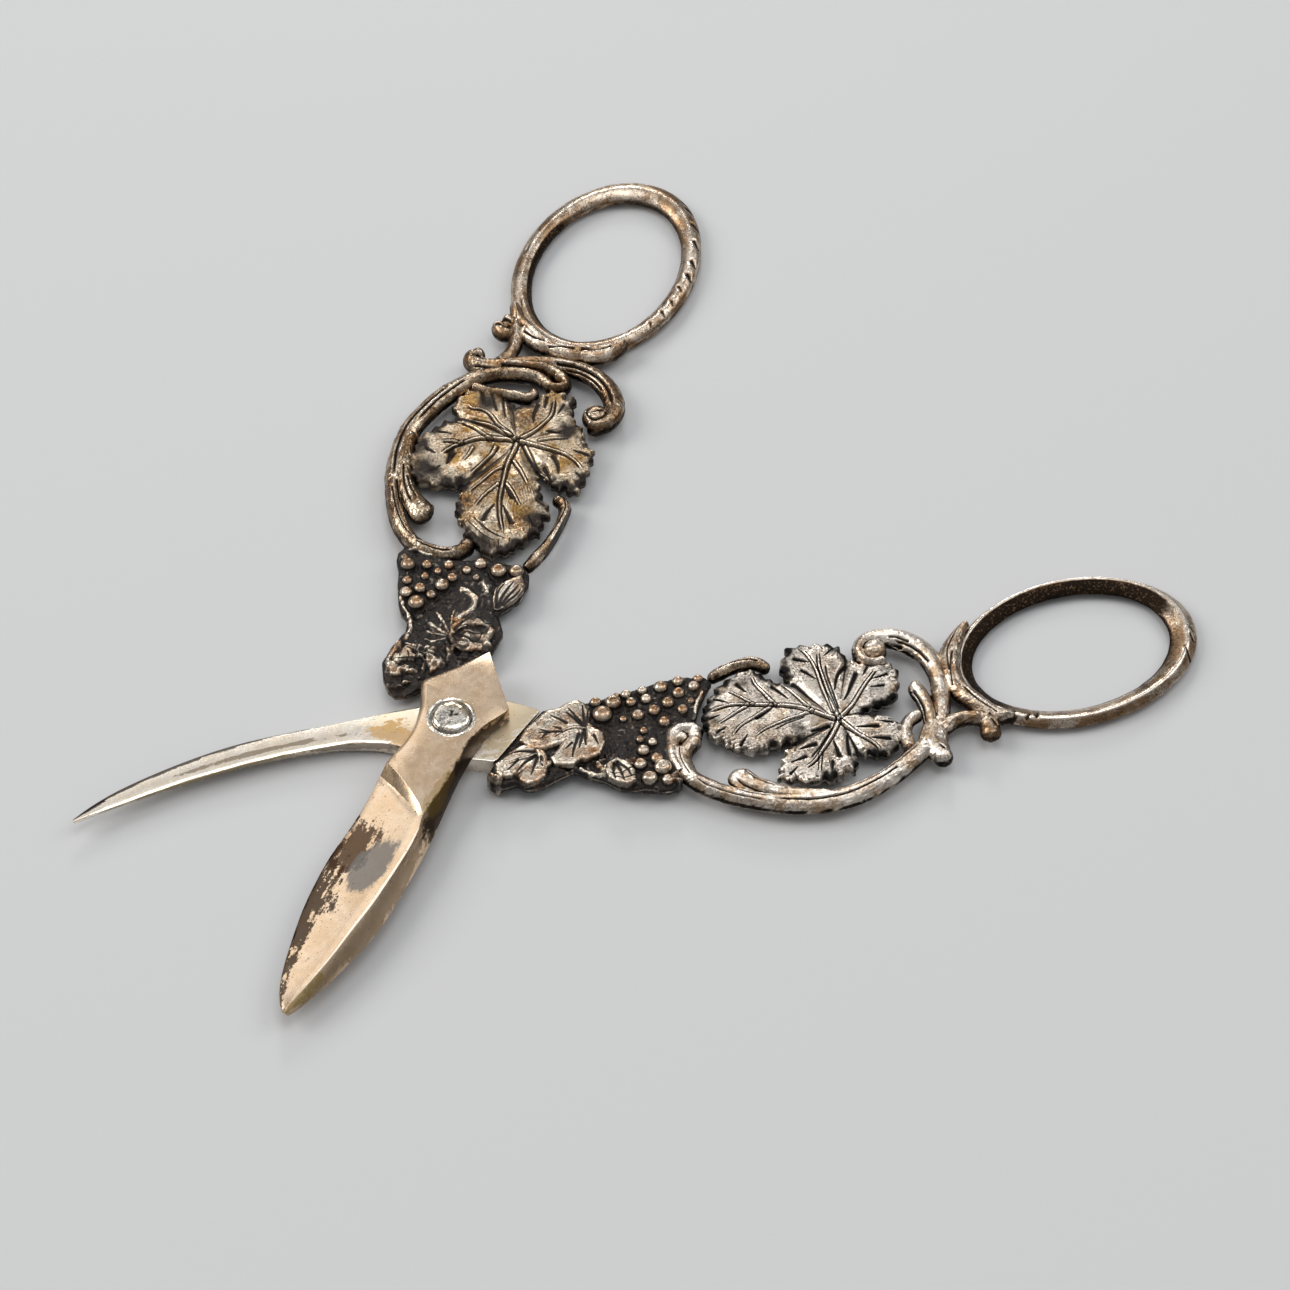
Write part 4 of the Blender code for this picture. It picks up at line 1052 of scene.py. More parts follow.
@dataclass
class BroadBlade:
    """The blade that lies on top: its plate, the ground step and the hollow bevel to its edge."""

    half: Half = BROAD
    # Plate stations: edge x and y, shoulder x and y, foot of the far wall x and y.
    plate: Rows = (
        (-13.3, 0.12, -13.3, -0.12, -13.3, -0.1),
        (-9.05, 3.5, -9.05, -3.55, -9.1, -3.6),
        (-5.0, 6.85, -4.95, -6.95, -5.1, -6.95),
        (-4.3, 6.85, -4.2, -6.85, -4.5, -6.85),
        (-3.1, 6.3, -3.0, -6.2, -3.3, -6.25),
        (-2.0, 5.8, -1.6, -5.45, -2.0, -5.6),
        (-0.5, 5.2, 0.0, -4.75, 0.0, -5.2),
        (1.0, 4.85, 2.0, -4.35, 2.6, -5.02),
        (3.0, 4.5, 4.2, -4.15, 5.0, -4.98),
        (5.0, 4.42, 6.6, -4.2, 7.6, -5.0),
        (7.6, 4.72, 9.6, -4.28, 10.4, -5.15),
        (9.4, 5.08, 13.0, -4.25, 13.4, -5.4),
    )
    # Where the plate's face ends at the ground step, from the edge to the shoulder.
    step_line: Rows = ((10.9, 5.3), (12.5, 2.6), (14.5, -0.3), (16.2, -2.4), (17.7, -3.7), (19.2, -4.2))
    # Ground stations: edge x, y and height; ridge x, y and height; foot of the far wall x, y.
    ground: Rows = (
        (12.1, 5.75, 3.3, 20.6, -4.4, 5.86, 20.0, -5.95),
        (15.0, 5.6, 3.26, 22.0, -4.5, 5.88, 21.8, -6.08),
        (18.0, 5.5, 3.22, 24.0, -4.6, 5.9, 24.0, -6.15),
        (23.3, 5.7, 3.2, 27.6, -4.5, 5.9, 27.6, -6.2),
        (28.3, 6.08, 3.2, 31.4, -4.3, 5.9, 31.4, -6.18),
        (33.3, 6.0, 3.2, 35.6, -4.0, 5.86, 35.7, -6.0),
        (38.3, 5.6, 3.2, 40.4, -3.3, 5.66, 40.3, -5.45),
        (43.3, 4.8, 3.2, 45.0, -2.6, 5.22, 45.0, -4.4),
        (48.3, 3.8, 3.2, 49.6, -1.6, 4.68, 49.6, -3.15),
        (52.0, 2.75, 3.2, 53.0, -0.7, 4.2, 53.0, -2.0),
        (54.7, 1.5, 3.18, 55.0, -0.1, 3.8, 55.1, -1.2),
        (56.1, 0.4, 3.15, 56.2, 0.1, 3.42, 56.25, -0.5),
    )
    cove: float = 0.95
    cove_fall: float = 0.8

    def plate_rings(self) -> list:
        """Return the rings of the flat plate, up to the ground step."""
        rings = []
        heel = np.asarray(self.plate[:4])
        arm = denser(self.plate[4:], 1.4)
        for xe, ye, xs, ys, xf, yf in np.vstack((heel, arm)):
            reach = min(self.cove, abs(ye - ys) * 0.3)
            fall = self.cove_fall * min(1.0, abs(ye - ys) / 3.0)
            inner = np.array((xe, ye - reach, PLATE_TOP))
            far = np.array((xs, ys, PLATE_TOP))
            rings.append((
                (xe, ye, PLATE_BASE), (xe, ye, PLATE_TOP - fall), (xe, ye - reach * 0.45, PLATE_TOP - 0.25 * fall),
                inner, inner + (far - inner) / 3, inner + (far - inner) * 2 / 3, far, (xf, yf, PLATE_BASE),
            ))
        edge = self.step_line
        rings.append((
            (edge[0][0], edge[0][1], PLATE_BASE),
            (edge[0][0], edge[0][1], PLATE_TOP - self.cove_fall),
            (edge[0][0] + 0.3, edge[0][1] - 0.5, PLATE_TOP - 0.3),
            *((x, y, PLATE_TOP) for x, y in edge[1:5]),
            (18.9, -5.9, PLATE_BASE),
        ))
        return rings

    def rings(self) -> np.ndarray:
        """Return the blade's rings of eight points, from its heel to its tip."""
        rings = self.plate_rings()
        foot = (self.ground[0][0], self.ground[0][1])
        rings.append((
            (*foot, PLATE_BASE), (*foot, 3.3), (12.9, 4.4, 3.6), (13.9, 2.6, 4.1),
            (15.8, -0.2, 4.8), (17.3, -2.4, 5.35), (18.9, -3.95, 5.8), (19.6, -5.93, PLATE_BASE),
        ))
        for xe, ye, ze, xr, yr, zr, xf, yf in denser(self.ground, 1.6):
            low, high = np.array((xe, ye, ze)), np.array((xr, yr, zr))
            between = []
            for share in (0.12, 0.35, 0.6, 0.82):
                point = low + (high - low) * share
                point[2] -= 0.22 * math.sin(math.pi * share) * (zr - ze) / 2.6
                between.append(tuple(point))
            rings.append(((xe, ye, PLATE_BASE), tuple(low), *between, tuple(high), (xf, yf, PLATE_BASE)))
        return np.asarray(rings)

    def build(self, material: bpy.types.Material) -> bpy.types.Object:
        """Build and dress the blade.

        Args:
            material: Its finish.

        Returns:
            The blade.
        """
        rings = self.rings()
        blade = skin("broad_blade_ground", rings)
        shares = np.tile((1.08, 1.0, 0.88, 0.75, 0.5, 0.25, 0.05, -0.1), (len(rings), 1))
        shares[len(self.plate_rings()):] = (1.1, 1.0, 0.86, 0.64, 0.4, 0.2, 0.03, -0.1)
        carry(blade, rings.reshape(-1, 3), shares.ravel(), "across")
        finish_edges(blade, 0.11)
        dress(blade, material)
        return stand(blade, self.half, self.half.blade_turn, "blade_silver", "broad_blade")


@dataclass
class HookedBlade:
    """The blade underneath: flat on top, hollow along its edge, its underside rising."""

    half: Half = HOOKED
    # Heel stations: x, edge y, foot y, far y, underside height.
    heel: Rows = (
        (-13.3, 0.15, 0.15, -0.15, 0.0),
        (-9.0, 3.6, 3.6, -3.5, 0.0),
        (-5.0, 7.0, 7.0, -6.85, 0.0),
        (-4.3, 7.25, 7.25, -6.9, 0.0),
        (-3.2, 6.7, 6.7, -6.4, 0.0),
    )
    arm: Rows = (
        (-1.5, 6.0, 6.0, -5.65, 0.0),
        (1.0, 5.0, 5.0, -5.5, 0.0),
        (4.0, 3.45, 3.45, -5.8, 0.0),
        (7.0, 1.3, 1.25, -5.98, 0.15),
        (10.0, -0.45, -0.65, -6.1, 0.5),
        (15.0, -1.88, -2.2, -6.2, 0.75),
        (20.0, -2.32, -2.85, -6.35, 0.85),
        (25.0, -2.5, -3.1, -6.48, 0.9),
        (30.0, -2.4, -3.1, -6.45, 0.95),
        (35.0, -2.1, -2.8, -6.0, 1.02),
        (40.0, -1.65, -2.25, -5.2, 1.15),
        (45.0, -0.98, -1.5, -4.1, 1.4),
        (50.0, -0.18, -0.62, -2.65, 1.7),
        (54.0, 0.5, 0.2, -0.95, 1.95),
        (56.7, 1.0, 0.85, 0.55, 2.1),
    )

    def rings(self) -> np.ndarray:
        """Return the blade's rings of eight points, from its heel to its tip."""
        rings = []
        for x, edge, foot, far, low in np.vstack((np.asarray(self.heel), denser(self.arm, 1.5))):
            width = edge - far
            lip = min(0.55, width * 0.16) if x > 6 else min(0.15, width * 0.1)
            land = 0.12 if x > 6 else 0.02
            rings.append((
                (x, foot, low), (x, edge, LAP_TOP - land), (x, edge - lip, LAP_TOP),
                (x, far + width * 0.5, LAP_TOP), (x, far + min(0.5, width * 0.2), LAP_TOP),
                (x, far, LAP_TOP - min(0.35, width * 0.1)), (x, far, low + 0.1),
                (x, far + width * 0.4, low),
            ))
        return np.asarray(rings)

    def build(self, material: bpy.types.Material) -> bpy.types.Object:
        """Build and dress the blade.

        Args:
            material: Its finish.

        Returns:
            The blade.
        """
        rings = self.rings()
        blade = skin("hooked_blade_ground", rings)
        shares = np.tile((1.15, 1.0, 0.86, 0.5, 0.12, 0.0, -0.15, 0.5), (len(rings), 1))
        carry(blade, rings.reshape(-1, 3), shares.ravel(), "across")
        finish_edges(blade, 0.1)
        points = points_of(blade.data)
        points[:, 2] = np.maximum(points[:, 2], 0.0)
        place_points(blade.data, points)
        dress(blade, material)
        return stand(blade, self.half, self.half.blade_turn, "blade_silver", "hooked_blade")


@dataclass
class Rivet:
    """The pivot rivet: a worn domed head in its turned seat, and a flush tail."""

    seat: float = 5.93
    # The head's profile outwards from its worn crown: radius and rise above the seat.
    head: Rows = (
        (0.001, 0.5), (0.6, 0.52), (1.2, 0.58), (1.8, 0.6), (2.3, 0.52), (2.65, 0.34), (2.8, 0.14),
        (2.84, 0.0), (2.95, -0.1), (3.08, -0.1), (3.2, 0.0), (3.34, 0.07), (3.5, 0.06), (3.62, -0.02),
    )
    tail_radius: float = 2.7

    def build(self, material: bpy.types.Material) -> bpy.types.Object:
        """Spin, wear and dress the rivet.

        Args:
            material: Its finish.

        Returns:
            The rivet.
        """
        profile = [(radius, self.seat + rise) for radius, rise in self.head]
        profile += [(1.85, self.seat - 0.02), (1.85, 0.75), (self.tail_radius, 0.7),
                    (self.tail_radius, 0.06), (self.tail_radius - 0.1, 0.0), (0.001, 0.0)]
        turns = np.linspace(0, 2 * math.pi, 96, endpoint=False)
        rings = np.empty((len(profile), len(turns), 3))
        for row, (radius, height) in enumerate(profile):
            rings[row, :, 0] = np.cos(turns) * radius
            rings[row, :, 1] = np.sin(turns) * radius
            rings[row, :, 2] = height
        rivet = skin("pivot_rivet_head", rings)
        only(rivet)
        points = points_of(rivet.data)
        crown = points[:, 2] > self.seat
        wear = cloud(points, 0.9, 41) - 0.5 + 0.6 * (cloud(points, 0.35, 42) - 0.5)
        points[crown, 2] += wear[crown] * 0.1
        place_points(rivet.data, points)
        bpy.ops.object.shade_smooth_by_angle(angle=math.radians(40.0))
        away = np.hypot(points[:, 0], points[:, 1])
        worn = rounded(cloud(points, 0.55, 43), 0.5, 0.62) * (1 - rounded(away, 0.9, 1.5)) * crown
        write_values(rivet.data, "hollow", worn)
        gold = rounded(-points[:, 0] - 0.4 * points[:, 1], 0.4, 1.6) * rounded(away, 1.0, 1.5) * (1 - rounded(away, 2.2, 2.6))
        write_values(rivet.data, "warmth", gold * crown * 0.8)
        mark_recesses_and_wall_shade(rivet, 3, 0.22)
        dress(rivet, material)
        return stand(rivet, HOOKED, 0.0, "rivet_silver", "pivot_rivet")


# Cast scrolls and the finger bow.


def line_of(rows: Rows, height: float, step: float = 0.3) -> np.ndarray:
    """Return a bar's rows from rows of x, y and half width, all of one half height."""
    line = smooth_line(rows, step)
    return np.column_stack((line, np.full(len(line), height)))


@dataclass
class FingerBow:
    """The oval finger loop, a wire of pointed section with engraved ticks."""

    half: Half
    ticks: tuple
    hole_length: float = 30.8
    hole_width: float = 21.3
    wire: float = 2.8
    height: float = 2.6
    turn: float = 11.0
    stations: int = 420
    ridge_at: float = 0.0
    ridge: float = 0.45
    # Where the bow is black inside: start and end angle in degrees, and how far out it reaches.
    gloom: Rows = ()

    def at(self, angle: np.ndarray, offset: float | np.ndarray = 0.0) -> np.ndarray:
        """Return points round the bow's centre line, moved outwards by an offset.

        Args:
            angle: The angles round the oval from its near end.
            offset: How far outwards.

        Returns:
            The points in plan.
        """
        long = (self.hole_length + self.wire) / 2
        short = (self.hole_width + self.wire) / 2
        point = np.column_stack((long * (np.cos(angle) - 1.0), short * np.sin(angle)))
        out = np.column_stack((np.cos(angle) / long, np.sin(angle) / short))
        out /= np.hypot(out[:, 0], out[:, 1])[:, None]
        point = point + out * np.reshape(offset, (-1, 1))
        turn = math.radians(self.turn)
        spin = np.array(((math.cos(turn), -math.sin(turn)), (math.sin(turn), math.cos(turn))))
        return point @ spin.T + np.asarray(self.half.bow_anchor)

    def build(self, material: bpy.types.Material) -> bpy.types.Object:
        """Draw the wire, engrave it and dress it.

        Args:
            material: Its finish.

        Returns:
            The bow.
        """
        angle = np.linspace(0, 2 * math.pi, self.stations, endpoint=False)
        far = np.exp(-(((angle - math.pi) / 0.75) ** 2))
        near = np.exp(-((np.minimum(angle, 2 * math.pi - angle) / 0.6) ** 2))
        width = self.wire / 2 * (1.14 + 0.34 * far - 0.12 * near)
        around = np.linspace(0, 2 * math.pi, 36, endpoint=False)
        across = np.cos(around)
        slope = (across - self.ridge_at) / np.where(across > self.ridge_at, 1 - self.ridge_at, 1 + self.ridge_at)
        peak = (1 - np.abs(slope) ** 1.1) * np.sign(np.sin(around))
        lift = (1 - self.ridge) * np.sin(around) + self.ridge * peak
        rings = np.empty((len(angle), len(around), 3))
        middle = self.height / 2
        # The side that meets the other bow when the shears close keeps the wire's own width.
        facing = np.exp(-(((angle - 1.5 * math.pi) / 0.9) ** 4))
        outside = width * (1 - facing) + (self.wire / 2 - 0.1) * facing
        for k, share in enumerate(across):
            rings[:, k, :2] = self.at(angle, (outside if share > 0 else width) * share)
            rings[:, k, 2] = middle + (middle + 0.1) * lift[k]
        bow = skin(f"{self.half.name}_finger_bow_wire", rings, closed=True)
        cover = np.zeros((len(angle), len(around)))
        for start, end, reach, strength in self.gloom:
            share = np.mod(angle - math.radians(start), 2 * math.pi) / math.radians(end - start)
            inside = rounded(share, 0.0, 0.2) * (1 - rounded(share, 0.8, 1.0))
            side = 1 - rounded(across, reach - 0.25, reach + 0.15)
            cover = np.maximum(cover, strength * inside[:, None] * side)
        carry(bow, rings.reshape(-1, 3), cover.ravel(), "hollow")
        cover = read_values(bow.data, "hollow")
        roughen(bow, 1.6, 0.07, 11 if self.half is HOOKED else 12)
        chase(bow, self.ticks)
        points = points_of(bow.data)
        points[:, 2] = np.maximum(points[:, 2], 0.01)
        place_points(bow.data, points)
        cover = cover * (1.4 * cloud(points, 0.45, 71) - 0.15)
        write_values(bow.data, "hollow", np.maximum(read_values(bow.data, "hollow"), np.clip(cover, 0, 1)))
        mark_recesses_and_wall_shade(bow, 8, 0.16)
        bow.data.shade_smooth()
        dress(bow, material)
        nodes = (f"{self.half.name}_finger_bow",)
        return stand(bow, self.half, self.half.handle_turn, "bow_silver", *nodes)


@dataclass
class Casting:
    """One cast scroll: its bars and knobs, fused, with strokes chased into both faces."""

    half: Half
    node: str
    bars: tuple
    knobs: tuple = ()
    strokes: tuple = ()
    slot: str = "scroll_silver"
    height: float = 1.45
    fullness: float = 0.2
    swell: float = 0.36
    ridge: float = 0.25
    grain: float = 0.13
    soften: int = 2
    rough: float = 0.07
    seed: int = 3

    def build(self, material: bpy.types.Material) -> bpy.types.Object:
        """Draw the forms, fuse, chase and dress them.

        Args:
            material: The finish.

        Returns:
            The casting.
        """
        name = f"{self.half.name}_{self.node}"
        forms = []
        for number, (rows, ends) in enumerate(self.bars):
            line = line_of(rows, self.height)
            line[:, 2] += self.swell
            line[:, 3] += self.fullness
            line = tapered(line, *ends)
            forms.append(bar(f"{name}_bar_{number}", line, ridge=self.ridge))
        for number, (x, y, radius, height) in enumerate(self.knobs):
            forms.append(knob(f"{name}_knob_{number}", x, y, radius, height))
        piece = cast(f"{name}_cast", forms, self.grain, self.soften)
        roughen(piece, 1.1, self.rough, self.seed)
        roughen(piece, 0.4, 0.06, self.seed + 1)
        chase(piece, self.strokes)
        points = points_of(piece.data)
        points[:, :2] = past_closing(points[:, :2])
        points[:, 2] = np.maximum(points[:, 2], FLOOR_CLEARANCE)
        place_points(piece.data, points)
        mark_recesses_and_wall_shade(piece, 14, 0.13, walls=0.95)
        piece.data.shade_smooth()
        dress(piece, material)
        return stand(piece, self.half, self.half.handle_turn, self.slot, name)


OUTER_PATHS = {
    HOOKED.name: (
        (-68.0, 13.2, 1.1), (-66.6, 14.6, 1.2), (-63.2, 17.2, 1.25), (-59.8, 19.3, 1.3), (-54.8, 21.1, 1.45),
        (-49.8, 21.3, 1.5), (-46.0, 20.9, 1.3), (-42.5, 20.0, 1.05), (-40.0, 19.0, 1.0), (-37.0, 17.5, 1.0),
        (-35.0, 16.0, 1.0), (-33.2, 14.3, 1.0), (-32.4, 12.4, 1.15), (-32.1, 10.4, 1.1), (-32.2, 8.6, 0.9),
    ),
    BROAD.name: (
        (-68.0, 13.0, 0.9), (-66.6, 14.0, 1.15), (-63.2, 16.9, 1.3), (-59.8, 18.9, 1.3), (-54.8, 20.8, 1.3),
        (-49.8, 21.1, 1.35), (-45.5, 20.9, 1.15), (-42.5, 20.3, 0.95), (-40.0, 19.6, 0.85), (-37.0, 18.2, 0.9),
        (-35.0, 16.8, 0.95), (-33.2, 14.9, 0.95), (-32.3, 12.8, 0.95), (-32.0, 10.6, 0.95), (-32.3, 8.9, 0.85),
    ),
}
OUTER_STROKES = (
    (Cut.LINE, 1.9, ((-62.5, 17.9), (-59.4, 19.6), (-54.6, 21.4), (-50.0, 21.7), (-46.5, 21.2), (-43.0, 20.4))),
    (Cut.LINE, 1.2, ((-66.0, 14.4), (-63.4, 16.3), (-59.6, 18.5), (-55.0, 20.3))),
    (Cut.LINE, 1.7, ((-43.4, 20.0), (-40.6, 18.9), (-38.6, 17.6))),
    (Cut.LINE, 1.1, ((-42.0, 20.4), (-38.0, 18.6), (-34.6, 16.3), (-33.0, 14.2))),
    (Cut.LINE, 1.3, ((-32.7, 14.0), (-32.1, 12.0), (-31.9, 10.0), (-32.4, 8.4))),
)


def scrolls(half: Half) -> list[Casting]:
    """Return the cast scrolls of one half, from the panel back to the bow.

    Args:
        half: The half.

    Returns:
        Its castings.
    """
    broad = half is BROAD
    if broad:
        curl = (((-32.0, 10.2, 0.8), (-32.4, 8.6, 0.85), (-33.4, 7.4, 0.8), (-34.3, 6.9, 0.9)),)
        curl_knobs = ((-34.3, 6.9, 1.2, 1.75), (-32.8, 8.0, 0.95, 1.5))
        club = ((-54.0, 20.4, 0.5), (-51.5, 20.4, 0.7), (-49.0, 20.1, 0.85), (-46.0, 19.6, 0.95), (-43.6, 18.7, 1.1), (-41.8, 17.6, 1.25),
                (-40.2, 16.2, 1.5), (-39.0, 14.8, 1.75), (-38.4, 13.6, 1.8))
        club_strokes = (
            (Cut.LINE, 1.3, ((-46.6, 19.9), (-43.6, 19.0), (-41.4, 17.9), (-39.6, 16.6))),
            (Cut.LINE, 1.0, ((-44.6, 18.7), (-42.4, 17.5), (-40.8, 16.1))),
        )
        volute = ((-70.2, 10.6, 0.75), (-71.2, 7.6, 0.85), (-71.9, 4.6, 0.9), (-72.1, 1.8, 0.95), (-71.9, -0.8, 1.15),
                  (-71.1, -3.3, 1.25), (-69.6, -5.5, 1.3), (-67.4, -7.1, 1.3), (-65.0, -7.8, 1.2), (-62.9, -7.4, 0.9),
                  (-61.6, -6.0, 0.7), (-61.5, -4.6, 0.55))
        volute_ball = (-63.5, -5.4, 2.1, 1.7)
        volute_strokes = (
            (Cut.LINE, 1.9, ((-71.6, 2.6), (-71.5, -0.6), (-70.6, -3.4), (-69.0, -5.5), (-66.8, -6.9), (-64.8, -7.5))),
            (Cut.LINE, 1.0, ((-71.0, 1.0), (-70.6, -1.6), (-69.5, -3.8), (-67.8, -5.6))),
            (Cut.LINE, 0.9, ((-64.8, -4.6), (-63.9, -3.9), (-62.7, -4.3), (-62.2, -5.4), (-62.8, -6.5), (-64.0, -6.9),
                             (-65.0, -6.2))),
            (Cut.WEDGE, 0.8, ((-64.2, -6.2), (-63.2, -4.9))),
        )
        strut = (
            (((-71.1, 15.2, 0.9), (-70.4, 15.8, 0.75), (-69.6, 15.4, 1.05), (-69.1, 14.0, 1.3), (-69.2, 12.4, 1.4),
              (-69.8, 10.6, 1.3), (-70.3, 8.8, 0.95), (-70.7, 6.6, 0.75), (-70.8, 4.6, 0.7), (-70.4, 2.8, 0.65),
              (-69.6, 1.3, 0.6), (-68.4, 0.5, 0.6)), (0.6, 0.4)),
            (((-64.4, 15.8, 0.45), (-65.9, 14.4, 0.7), (-67.4, 12.6, 0.85), (-68.3, 10.6, 0.85), (-68.8, 8.6, 0.85), (-69.0, 6.6, 0.8), (-68.8, 4.8, 0.75),
              (-68.1, 3.5, 0.7), (-67.4, 2.4, 0.6), (-67.5, 1.2, 0.55), (-68.4, 0.5, 0.55), (-69.2, 1.2, 0.5),
              (-69.4, 2.6, 0.45)), (1.2, 0.3)),
        )
        strut_knobs = ((-71.1, 14.9, 1.1, 1.6),)
        strut_strokes = (
            (Cut.LINE, 1.7, ((-69.3, 10.6), (-69.7, 8.6), (-69.9, 6.4), (-69.7, 4.4), (-69.0, 2.9))),
            (Cut.LINE, 1.2, ((-70.6, 10.2), (-71.0, 8.4), (-71.3, 6.2))),
            (Cut.WEDGE, 1.0, ((-70.3, 14.8), (-69.8, 13.2))), (Cut.LINE, 1.0, ((-68.2, 14.6), (-68.3, 12.4), (-68.6, 10.8))),
        )
        tendril = ((-64.7, 14.2, 0.7), (-64.4, 12.0, 0.7), (-64.5, 9.8, 0.65), (-64.6, 7.6, 0.65), (-64.5, 6.0, 0.6),
                   (-65.1, 4.9, 0.65), (-66.3, 4.8, 0.6))
        stem = ((-46.2, -3.6, 0.55), (-46.0, -4.7, 0.7), (-44.7, -5.5, 0.8), (-42.4, -5.7, 0.8), (-39.8, -5.3, 0.75),
                (-37.2, -4.6, 0.75), (-34.6, -3.6, 0.75), (-32.0, -2.6, 0.7))
        stem_knobs = ((-46.2, -3.9, 0.7, 1.1),)
    else:
        curl = (
            ((-31.8, 13.4, 0.6), (-31.1, 11.4, 0.65), (-30.95, 9.4, 0.7), (-31.3, 7.4, 0.75), (-31.7, 5.8, 0.75),
             (-33.2, 5.1, 0.7), (-34.8, 5.5, 0.8), (-35.3, 6.6, 0.85)),
            ((-32.4, 10.6, 0.85), (-33.0, 9.2, 0.8), (-34.2, 7.9, 0.8), (-35.0, 7.0, 0.9)),
        )
        curl_knobs = ((-32.8, 6.8, 0.95, 1.5), (-34.7, 6.7, 1.1, 1.5))
        club = ((-53.0, 20.5, 0.5), (-50.8, 20.5, 0.8), (-48.5, 20.2, 1.0), (-46.0, 19.5, 1.2), (-43.8, 18.4, 1.35), (-42.0, 17.3, 1.35), (-40.6, 16.0, 1.45),
                (-39.7, 14.8, 1.55), (-39.4, 13.9, 1.5))
        club_strokes = (
            (Cut.LINE, 1.2, ((-45.6, 20.3), (-42.6, 19.0), (-40.4, 17.4), (-38.9, 15.6))),
            (Cut.LINE, 0.9, ((-44.6, 18.2), (-42.4, 16.7), (-41.0, 15.0), (-40.7, 13.8), (-40.1, 13.6))),
        )
        volute = ((-70.3, 10.4, 0.85), (-71.0, 7.6, 1.0), (-71.5, 4.8, 1.05), (-71.7, 2.0, 1.05), (-71.5, -0.6, 1.2),
                  (-70.7, -3.0, 1.35), (-69.2, -5.0, 1.45), (-67.1, -6.5, 1.4), (-64.9, -7.2, 1.1), (-62.7, -7.1, 0.8),
                  (-61.3, -6.0, 0.65), (-61.0, -4.3, 0.6), (-61.7, -2.9, 0.55), (-63.2, -2.3, 0.55), (-64.6, -2.8, 0.5))
        volute_ball = (-63.4, -4.9, 1.8, 1.85)
        volute_strokes = (
            (Cut.LINE, 1.3, ((-70.6, -1.0), (-69.6, -3.0), (-67.9, -4.8), (-66.2, -5.7))),
            (Cut.LINE, 1.2, ((-68.4, -4.9), (-66.8, -6.0), (-65.4, -6.4))),
            (Cut.WEDGE, 1.2, ((-67.2, -4.6), (-65.8, -5.4))),
        )
        strut = (
            (((-69.7, 16.4, 1.05), (-69.2, 15.0, 1.5), (-68.8, 13.4, 1.8), (-69.2, 11.6, 1.7), (-69.9, 9.8, 1.25),
              (-70.6, 7.8, 0.9), (-71.0, 5.8, 0.8), (-71.1, 4.0, 0.7)), (1.0, 0.8)),
            (((-69.0, 11.6, 1.1), (-69.2, 9.4, 0.85), (-69.1, 7.2, 0.85), (-68.8, 5.2, 0.85), (-68.2, 3.5, 0.85),
              (-67.7, 2.1, 0.7)), (0.4, 0.8)),
        )
        strut_knobs = ((-69.7, 16.1, 1.45, 1.6), (-67.2, 14.6, 1.2, 1.6))
        strut_strokes = (
            (Cut.LINE, 1.8, ((-69.9, 9.8), (-70.1, 7.6), (-69.9, 5.4), (-69.2, 3.4))),
            (Cut.LINE, 1.0, ((-68.3, 9.8), (-68.3, 7.2), (-67.8, 5.0), (-67.2, 3.4))),
            (Cut.WEDGE, 1.3, ((-66.6, 13.4), (-67.2, 12.9))), (Cut.WEDGE, 0.8, ((-69.9, 15.4), (-69.3, 14.6))),
        )
        tendril = ((-65.1, 14.0, 0.7), (-65.1, 12.2, 0.75), (-65.2, 10.4, 0.7), (-65.8, 9.0, 0.7), (-66.9, 8.2, 0.65),
                   (-68.0, 7.8, 0.6))
        stem = ((-47.0, -4.4, 0.8), (-46.0, -5.3, 0.85), (-44.4, -5.6, 0.8), (-42.4, -5.2, 0.75), (-40.4, -4.5, 0.75),
                (-38.4, -3.4, 0.7))
        stem_knobs = ((-46.9, -4.5, 0.95, 1.15),)
    bars = ((OUTER_PATHS[half.name], (0.8, 0.5)),) + tuple((rows, (0.4, 0.6)) for rows in curl)
    outer_strokes = tuple((cut, size * (1.0 if broad else 0.65), line) for cut, size, line in OUTER_STROKES)
    return [
        Casting(half, "outer_scroll", bars, curl_knobs, outer_strokes, seed=21),
        Casting(half, "inner_scroll", ((club, (1.5, 1.6)),), (), club_strokes, ridge=0.15, seed=23),
        Casting(half, "bow_scroll", ((volute, (0.5, 0.4)),), (volute_ball,), volute_strokes, seed=25),
        Casting(half, "strut_scroll", strut, strut_knobs, strut_strokes, seed=27),
        Casting(half, "tendril", ((tendril, (0.4, 0.5)),), (), (), height=1.2, fullness=0.1, swell=0.28, seed=29),
        Casting(half, "stem", ((stem, (0.4, 1.1)),), stem_knobs, (
            (Cut.LINE, 1.0, ((-46.0, -5.1), (-44.4, -5.6), (-41.5, -5.2), (-38.9, -4.2))),
        ), height=1.25, fullness=0.1, swell=0.2, seed=31),
    ]


